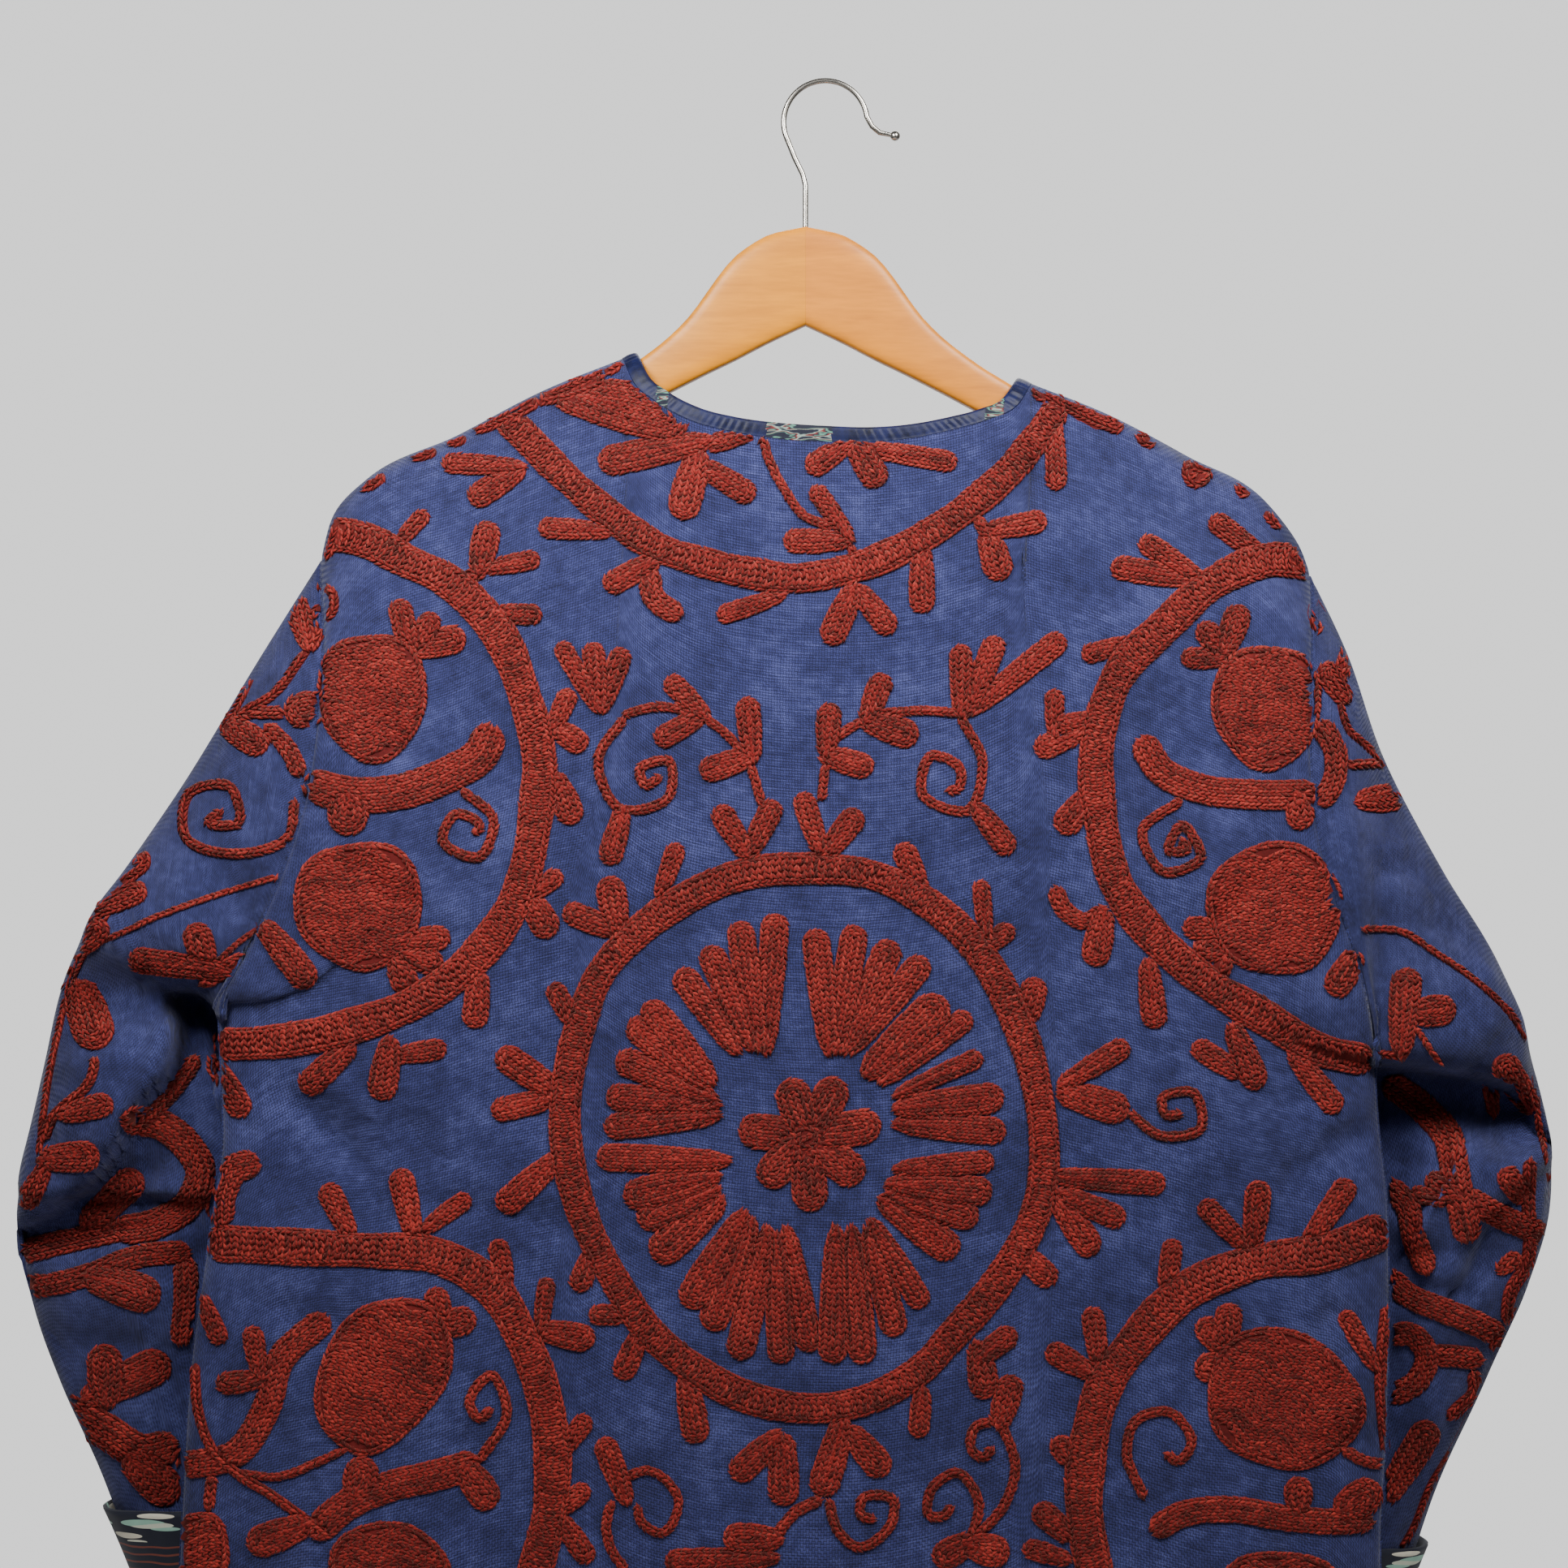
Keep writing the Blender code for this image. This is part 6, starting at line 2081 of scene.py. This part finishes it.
@dataclass(frozen=True)
class WashedCanvas(Finish):
    """Plain-woven cotton, dyed blue and washed: matte, mottled, with a visible weave."""

    dark: str = "#1C1F44"
    middle: str = "#2D315F"
    light: str = "#464B7E"
    # A real thread of this cloth is about 0.6 mm; drawn coarser, so that a pixel can hold it
    thread: float = 1.5 * MM

    def surface(self, tree: Tree) -> Inputs:
        """Mottle the blue, paint light on the threads' crowns and shade in the weave's lows, and weave the threads in
        height.
        """
        place = add_node(tree, "UVMap", uv_map=UV_NAME)
        ripple = {"Vector": place, "Distortion": 1.2, "Detail": 1.0, "Detail Scale": 0.6}
        ripple["Scale"] = WAVES_A_METRE / self.thread
        warp, weft = (
            add_node(tree, "TexWave", ripple, bands_direction=way).outputs["Fac"] for way in "XY"
        )
        over = add_node(tree, "TexChecker", {"Vector": place, "Scale": 1 / self.thread}).outputs["Fac"]
        weave = add_node(tree, "Mix", {"Factor": over, "A": warp, "B": weft})
        broad = self.noise(tree, 38 * MM)
        fine = self.noise(tree, 5 * MM, 4.0)
        mottle = add_node(tree, "Mix", {"Factor": 0.45, "A": broad, "B": fine})
        slub_place = add_node(tree, "Mapping", {"Vector": place, "Scale": (60, 1400, 1)})
        slub = add_node(tree, "TexNoise", {"Vector": slub_place, "Scale": 1.0, "Detail": 1.0})
        mixed = add_node(tree, "Mix", {"Factor": 0.3, "A": mottle, "B": slub})
        stops = ((0.36, self.dark), (0.64, self.light), (0.5, self.middle))
        colour = add_node(tree, "ValToRGB", {"Fac": mixed}, stops)
        # Painted light and shade at the threads' scale: the weave's lows are darkened and the threads' crowns
        # lightened
        shade = add_node(tree, "MapRange", {"Value": weave, "To Min": 0.4, "To Max": 1.35})
        woven = add_node(tree, "Mix", {"Factor": 1.0, 6: colour, 7: shade}, **MULTIPLIED)
        rough = add_node(tree, "MapRange", {"Value": fine, "To Min": 0.78, "To Max": 0.95})
        relief = add_node(tree, "Bump", {"Height": self.noise(tree, 75 * MM, 1.0), "Distance": 5 * MM})
        ridges = self.noise(tree, 46 * MM, 1.5)
        folded = add_node(tree, "Math", {0: ridges, 1: 0.5}, operation="SUBTRACT")
        sharp = add_node(tree, "Math", {0: folded}, operation="ABSOLUTE")
        for height, depth in ((sharp, 7 * MM), (broad, 1.2 * MM)):
            relief = add_node(tree, "Bump", {"Height": height, "Distance": depth, "Normal": relief})
        threads = {"Height": weave, "Strength": 0.6, "Distance": 0.25 * MM, "Normal": relief}
        bump = add_node(tree, "Bump", threads)
        look = {"Base Color": woven.outputs[2], "Roughness": rough, "Normal": bump}
        return look | {"Specular IOR Level": 0.25, "Sheen Weight": 0.12, "Sheen Roughness": 0.5}


@dataclass(frozen=True)
class Wool(Finish):
    """Twisted wool yarn: matte and hairy; a darker copy of it on the padding paints the shade between its stitches."""

    shades: tuple[str, ...] = ("#420F0E", "#6A1816", "#84221F", "#9E312A")
    fibre: float = 0.45 * MM

    def surface(self, tree: Tree) -> Inputs:
        """Vary the red from stitch to stitch and from patch to patch, with a hairy bump."""
        tone = add_node(tree, "Attribute", attribute_name="tone").outputs["Fac"]
        patches, flecks = self.noise(tree, 30 * MM), self.noise(tree, 0.9 * MM, 2.0)
        spread = add_node(tree, "Mix", {"Factor": 0.45, "A": patches, "B": flecks})
        value = add_node(tree, "Math", {0: tone, 1: spread})
        stops = [(0.25 + 0.17 * index, shade) for index, shade in enumerate(self.shades)]
        colour = add_node(tree, "ValToRGB", {"Fac": value}, [stops[0], stops[-1], *stops[1:-1]])
        hairs = {"Height": self.noise(tree, self.fibre, 2.0), "Strength": 0.3, "Distance": 0.2 * MM}
        look = {"Base Color": colour, "Roughness": 0.88, "Specular IOR Level": 0.2}
        look |= {"Sheen Weight": 0.3, "Sheen Roughness": 0.45, "Sheen Tint": linear("#D88A78")}
        return look | {"Normal": add_node(tree, "Bump", hairs)}


@dataclass(frozen=True)
class Satin(Finish):
    """Navy satin strip: a soft gloss that shows its small puckers, over fine ribs."""

    dark: str = "#05081F"
    light: str = "#0F184A"
    rib: float = 0.5 * MM

    def surface(self, tree: Tree) -> Inputs:
        """Shade the navy unevenly, with fine ribs and a soft gloss."""
        shade, ribs = self.noise(tree, 7 * MM), self.noise(tree, self.rib, 1.0)
        mixed = add_node(tree, "Mix", {"Factor": 0.35, "A": shade, "B": ribs})
        colour = add_node(tree, "ValToRGB", {"Fac": mixed}, ((0.35, self.dark), (0.66, self.light)))
        rough = add_node(tree, "MapRange", {"Value": shade, "To Min": 0.42, "To Max": 0.6})
        bump = add_node(tree, "Bump", {"Height": ribs, "Strength": 0.2, "Distance": 0.2 * MM})
        look = {"Base Color": colour, "Roughness": rough, "Normal": bump}
        return look | {"Specular IOR Level": 0.32, "Sheen Weight": 0.02}


@dataclass(frozen=True)
class PrintedLining(Finish):
    """Printed cotton: a near-black navy ground with a generic leaf print and wavy lines below it."""

    ground: str = "#0D1226"
    mint: str = "#9CC8B4"
    cream: str = "#E4DDC8"
    line: str = "#7A3A2C"
    leaf_size: float = 14 * MM
    line_pitch: float = 4.5 * MM
    leaf_depth: float = 17 * MM

    def surface(self, tree: Tree) -> Inputs:
        """Print leaves along the top edge and lines below them, on a fine weave."""
        place = add_node(tree, "UVMap", uv_map=UV_NAME)
        down = add_node(tree, "SeparateXYZ", {0: place}).outputs["Y"]
        slant = {"Vector": place, "Rotation": (0, 0, 0.22), "Scale": (0.42, 3.0, 1.0)}
        turned = add_node(tree, "Mapping", slant)
        cells = add_node(tree, "TexVoronoi", {"Vector": turned, "Scale": 1 / self.leaf_size})
        leaf = add_node(tree, "Math", {0: cells, 1: 0.44}, operation="LESS_THAN")
        above = add_node(tree, "Math", {0: down, 1: self.leaf_depth}, operation="LESS_THAN")
        leaves = add_node(tree, "Math", {0: leaf, 1: above}, operation="MULTIPLY")
        stops = ((0.3, self.mint), (0.62, self.cream), (0.45, self.mint))
        tint = add_node(tree, "ValToRGB", {"Fac": cells.outputs["Color"]}, stops)
        ripple = {"Vector": place, "Distortion": 5.0, "Detail": 1.0, "Detail Scale": 0.5}
        ripple["Scale"] = WAVES_A_METRE / self.line_pitch
        waves = add_node(tree, "TexWave", ripple, bands_direction="Y").outputs["Fac"]
        thin = add_node(tree, "Math", {0: waves, 1: 0.86}, operation="GREATER_THAN")
        below = add_node(tree, "Math", {0: thin, 1: above}, operation="SUBTRACT", use_clamp=True)
        lined = {"Factor": below, 6: linear(self.ground), 7: linear(self.line)}
        base = add_node(tree, "Mix", lined, data_type="RGBA").outputs[2]
        colour = add_node(tree, "Mix", {"Factor": leaves, 6: base, 7: tint}, data_type="RGBA").outputs[2]
        grain = self.noise(tree, 0.8 * MM, 2.0)
        patches = self.noise(tree, 9 * MM)
        worn = add_node(tree, "MapRange", {"Value": patches, "To Min": 0.75, "To Max": 1.1})
        aged = add_node(tree, "Mix", {"Factor": 1.0, 6: colour, 7: worn}, **MULTIPLIED).outputs[2]
        bump = add_node(tree, "Bump", {"Height": grain, "Strength": 0.35, "Distance": 0.2 * MM})
        return {"Base Color": aged, "Roughness": 0.8, "Normal": bump, "Sheen Weight": 0.1}


@dataclass(frozen=True)
class PrintedPatch(Finish):
    """The same printed cotton, where a few millimetres of it show at the neck."""

    stops: Stops = (
        (0.42, "#0D1226"), (0.62, "#0D1226"), (0.46, "#5E8F7C"), (0.5, "#0D1226"), (0.54, "#7A2820"),
        (0.58, "#8FA59A"),
    )
    leaf_size: float = 6 * MM

    def surface(self, tree: Tree) -> Inputs:
        """Print small slanting leaves, on a fine weave."""
        place = add_node(tree, "TexCoord").outputs["Object"]
        slant = {"Vector": place, "Rotation": (0, 0.9, 0), "Scale": (0.5, 1.0, 2.6)}
        turned = add_node(tree, "Mapping", slant)
        leaves = add_node(tree, "TexNoise", {"Vector": turned, "Scale": 1 / self.leaf_size, "Detail": 1.0})
        colour = add_node(tree, "ValToRGB", {"Fac": leaves}, self.stops)
        grain = self.noise(tree, 0.6 * MM, 2.0)
        rough = add_node(tree, "MapRange", {"Value": grain, "To Min": 0.7, "To Max": 0.9})
        bump = add_node(tree, "Bump", {"Height": grain, "Strength": 0.3, "Distance": 0.2 * MM})
        return {"Base Color": colour, "Roughness": rough, "Normal": bump}


@dataclass(frozen=True)
class Maple(Finish):
    """Varnished maple: fine grain along the arm under a satin coat."""

    dark: str = "#C58A4A"
    light: str = "#EBC088"
    pores: float = 1.6 * MM

    def surface(self, tree: Tree) -> Inputs:
        """Draw the grain along the arm, with pores and a satin coat."""
        place = add_node(tree, "TexCoord").outputs["Object"]
        along = add_node(tree, "Mapping", {"Vector": place, "Scale": (0.12, 1.0, 1.0)})
        grain = {"Vector": along, "Scale": 1 / (9 * MM), "Detail": 5.0, "Distortion": 0.6}
        rings = add_node(tree, "TexNoise", grain)
        lines = add_node(tree, "TexNoise", {"Vector": along, "Scale": 1 / self.pores, "Detail": 2.0})
        mixed = add_node(tree, "Mix", {"Factor": 0.35, "A": rings, "B": lines})
        colour = add_node(tree, "ValToRGB", {"Fac": mixed}, ((0.2, self.dark), (0.62, self.light)))
        rough = add_node(tree, "MapRange", {"Value": mixed, "To Min": 0.5, "To Max": 0.34})
        bump = add_node(tree, "Bump", {"Height": lines, "Strength": 0.12, "Distance": 0.1 * MM})
        look = {"Base Color": colour, "Roughness": rough, "Normal": bump, "Specular IOR Level": 0.3}
        return look | {"Coat Weight": 0.12, "Coat Roughness": 0.25, "Coat IOR": 1.5}


@dataclass(frozen=True)
class Nickel(Finish):
    """Nickel-plated wire, drawn and polished, a little dulled by handling."""

    metal: str = "#C9C5BD"
    dull: str = "#A8A39A"

    def surface(self, tree: Tree) -> Inputs:
        """Dull the polish in patches."""
        patches = self.noise(tree, 4 * MM)
        colour = add_node(tree, "ValToRGB", {"Fac": patches}, ((0.35, self.dull), (0.6, self.metal)))
        rough = add_node(tree, "MapRange", {"Value": patches, "To Min": 0.36, "To Max": 0.16})
        marks = {"Height": self.noise(tree, 0.7 * MM, 1.0), "Strength": 0.08, "Distance": 0.1 * MM}
        bump = add_node(tree, "Bump", marks)
        return {"Base Color": colour, "Metallic": 1.0, "Roughness": rough, "Normal": bump}


@dataclass(frozen=True)
class StudioFloor(Finish):
    """Matte seamless paper: pale and plain."""

    dim: str = "#C9C9C9"
    pale: str = "#CFCFCF"

    def surface(self, tree: Tree) -> Inputs:
        """Give the paper a faint mottle and tooth."""
        mottle = self.noise(tree, 60 * MM)
        colour = add_node(tree, "ValToRGB", {"Fac": mottle}, ((0.3, self.dim), (0.7, self.pale)))
        tooth = {"Height": self.noise(tree, 2 * MM), "Strength": 0.1, "Distance": 0.1 * MM}
        return {"Base Color": colour, "Roughness": 0.9, "Normal": add_node(tree, "Bump", tooth)}


@dataclass
class Studio:
    """The plain floor, the even grey surroundings, the soft lights and the camera."""

    floor_radius: float = 1.1
    floor_z: float = -1.03
    backdrop: float = 1.25
    surroundings: float = 0.07
    lens: float = 80.5
    # Place, size and power of each lamp; they all look at the jacket's middle
    lamps: tuple[tuple[tuple[float, float, float], float, float], ...] = (
        ((-0.42, -0.65, 0.15), 0.34, 10.5), ((0.45, -0.66, 0.3), 0.36, 13.0), ((0.3, 1.6, 1.0), 1.2, 14.0),
    )
    target: tuple[float, float, float] = (-0.02, 0.0, -0.2)

    def build(self) -> Object:
        """Build the stage, and give its floor."""
        mesh = bmesh.new()
        bmesh.ops.create_circle(mesh, cap_ends=True, radius=self.floor_radius, segments=96)
        bmesh.ops.translate(mesh, verts=mesh.verts, vec=(0, 0, self.floor_z))
        floor = add_object("studio_floor", finished(mesh, "studio_floor"))
        floor.data.materials.append(StudioFloor("matte seamless paper").build())
        bpy.context.scene.world = self.world()
        for index, (place, size, power) in enumerate(self.lamps):
            lamp = bpy.data.lights.new(f"softbox_{index + 1}", "AREA")
            lamp.size, lamp.energy = size, power
            away = Vector(place) - Vector(self.target)
            placed = add_object(lamp.name, lamp)
            placed.location, placed.rotation_euler = place, away.to_track_quat("Z", "Y").to_euler()
        camera = add_object("camera", bpy.data.cameras.new("camera"))
        camera.data.lens = self.lens
        camera.location, camera.rotation_euler = EYE, (math.pi / 2, 0.0, 0.0)
        bpy.context.scene.camera = camera
        return floor

    def world(self) -> bpy.types.World:
        """Make the even grey surroundings, brighter beyond the jacket's front as a lit backdrop is."""
        world = bpy.data.worlds.new("studio")
        world.use_nodes = True
        tree = world.node_tree
        tree.nodes.clear()
        toward = add_node(tree, "SeparateXYZ", {0: add_node(tree, "TexCoord").outputs["Generated"]})
        span = {"Value": toward.outputs["Y"], "From Min": 0.25, "From Max": 0.93}
        span |= {"To Min": self.surroundings, "To Max": self.backdrop}
        light = add_node(tree, "MapRange", span, interpolation_type="SMOOTHSTEP")
        grey = add_node(tree, "Background", {"Color": (1.0, 1.0, 1.0, 1.0), "Strength": light})
        add_node(tree, "OutputWorld", {"Surface": grey})
        return world


@dataclass(frozen=True)
class FlatCut:
    """A piece's flat cut: its width and length in metres, and its area in square metres."""

    width: float
    length: float
    area: float


# Where the neck strip shows the lining: x from, x to, and below which height, in millimetres
LINING_PATCHES = ((-31.0, 3.0, -180.0), (-88.0, -82.0, -160.0), (83.0, 93.0, -160.0))
FLAT_CUTS = {
    "back": FlatCut(0.62, 0.80, 0.468),
    "front": FlatCut(0.34, 0.80, 0.226),
    "sleeve": FlatCut(0.46, 0.56, 0.18),
    "cuff": FlatCut(0.26, 0.065, 0.0166),
}
SLOTS = dict.fromkeys(("back", "front", "sleeve"), "embroidered_canvas") | {
    "cuff": "printed_lining",
    "binding": "satin_binding",
    "hanger": "maple",
    "hook": "nickel_wire",
}


class Jacket:
    """The jacket on its hanger: its pieces by the node that each one stands for."""

    def __init__(self) -> None:
        """Start with no pieces."""
        self.pieces: dict[str, Object] = {}
        self.wool: dict[str, list[Object]] = {}

    def build(self) -> None:
        """Build the cloth, the strips, the hanger and the wool work in turn."""
        maker, cuff_maker = ClothMaker(WALL), ClothMaker(CUFF_WALL)
        back = BodyPanel("cloth_back", Face.BACK, (Side.LEFT, Side.RIGHT))
        self.pieces["back"] = back.build(maker)
        self.pieces["binding_neck"] = Binding("strip_neck", back).build()
        hanger = Hanger()
        for side in Side:
            name = side.value
            front = BodyPanel(f"cloth_front_{name}", Face.FRONT, (side,), row_detail=4, column_detail=4)
            sleeve = Sleeve(f"cloth_sleeve_{name}", side)
            self.pieces[f"front_{name}"] = front.build(maker)
            self.pieces[f"sleeve_{name}"] = sleeve.build(maker)
            self.pieces[f"cuff_{name}"] = Cuff(f"cloth_cuff_{name}", sleeve).build(cuff_maker)
            self.pieces[f"binding_{name}"] = Binding(f"strip_{name}", front, step=2.6 * MM).build()
            self.pieces[f"hanger_{name}"] = hanger.half(side)
        self.pieces["hook"] = hanger.hook()
        self.show_lining(self.pieces["binding_neck"])
        cloths = {node: piece for node, piece in self.pieces.items() if self.kind(node) in FLAT_CUTS}
        self.wool = Embroidery(cloths).build()

    @staticmethod
    def kind(node: str) -> str:
        """Give the kind of piece that a node is."""
        return node.split("_")[0]

    def show_lining(self, strip: Object) -> None:
        """Mark the short places where the neck strip turns over and shows the printed lining."""
        for face in strip.data.polygons:
            x, _, z = face.center
            shown = (low < x / MM < high and z / MM < top for low, high, top in LINING_PATCHES)
            face.material_index = int(any(shown))

    def dress(self) -> None:
        """Give each piece its material."""
        finishes = dict.fromkeys(("back", "front", "sleeve"), WashedCanvas("washed cotton canvas").build())
        finishes |= {
            "cuff": PrintedLining("printed cotton lining").build(),
            "binding": Satin("navy satin strip").build(),
            "hook": Nickel("nickel-plated wire").build(),
            "hanger_left": Maple("varnished maple, yellower half", "#BE7208", "#E49010").build(),
            "hanger_right": Maple("varnished maple, pinker half", "#BA6C16", "#E08A20").build(),
        }
        for node, piece in self.pieces.items():
            piece.data.materials.append(finishes.get(node) or finishes[self.kind(node)])
        patch = PrintedPatch("printed cotton lining, turned over").build()
        self.pieces["binding_neck"].data.materials.append(patch)
        yarn = Wool("red wool yarn").build()
        # Painted shade: the padding seen between the stitches takes a darker copy of the wool
        padding = Wool("red wool yarn in shadow", ("#3A0D0C", "#541413", "#661A18", "#762420")).build()
        for parts in self.wool.values():
            for part in parts:
                part.data.materials.append(yarn if part.name.startswith("stitches") else padding)

    def declare(self) -> None:
        """Tell the frame what each piece rides on and stands for, and how each cloth was cut."""
        for node, piece in self.pieces.items():
            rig.ride(piece, "root")
            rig.replaces(piece, node)
            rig.slot(piece, SLOTS[self.kind(node)])
        for parts in self.wool.values():
            for part in parts:
                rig.ride(part, "root")
                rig.slot(part, SLOTS["back"])
        wood = [self.pieces["hanger_left"].name, self.pieces["hanger_right"].name]
        for node, piece in self.pieces.items():
            cut = FLAT_CUTS.get(self.kind(node))
            if cut is None:
                continue
            side = node.split("_")[-1]
            rests_on = {"sleeve": [self.pieces["back"].name], "cuff": [f"cloth_sleeve_{side}"]}
            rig.sheet(
                piece,
                flat=(cut.width, cut.length),
                held="hung",
                rests_on=rests_on.get(self.kind(node), wood),
                area=cut.area,
                with_pieces=[part.name for part in self.wool.get(node, [])],
            )


def main() -> None:
    logging.basicConfig(level=logging.INFO, format="%(message)s")
    jacket = Jacket()
    jacket.build()
    for node, piece in jacket.pieces.items():
        LOG.info("%s: %s, %d faces", node, piece.name, len(piece.data.polygons))
    jacket.dress()
    jacket.declare()
    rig.stage(Studio().build())
    boxes = [[[float(value) for value in corner] for corner in box] for box in (CAD_BOX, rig.bounds())]
    with open(SIZE_FILE, "w", encoding="utf-8") as handle:
        json.dump(boxes, handle)


if __name__ == "__main__":
    main()
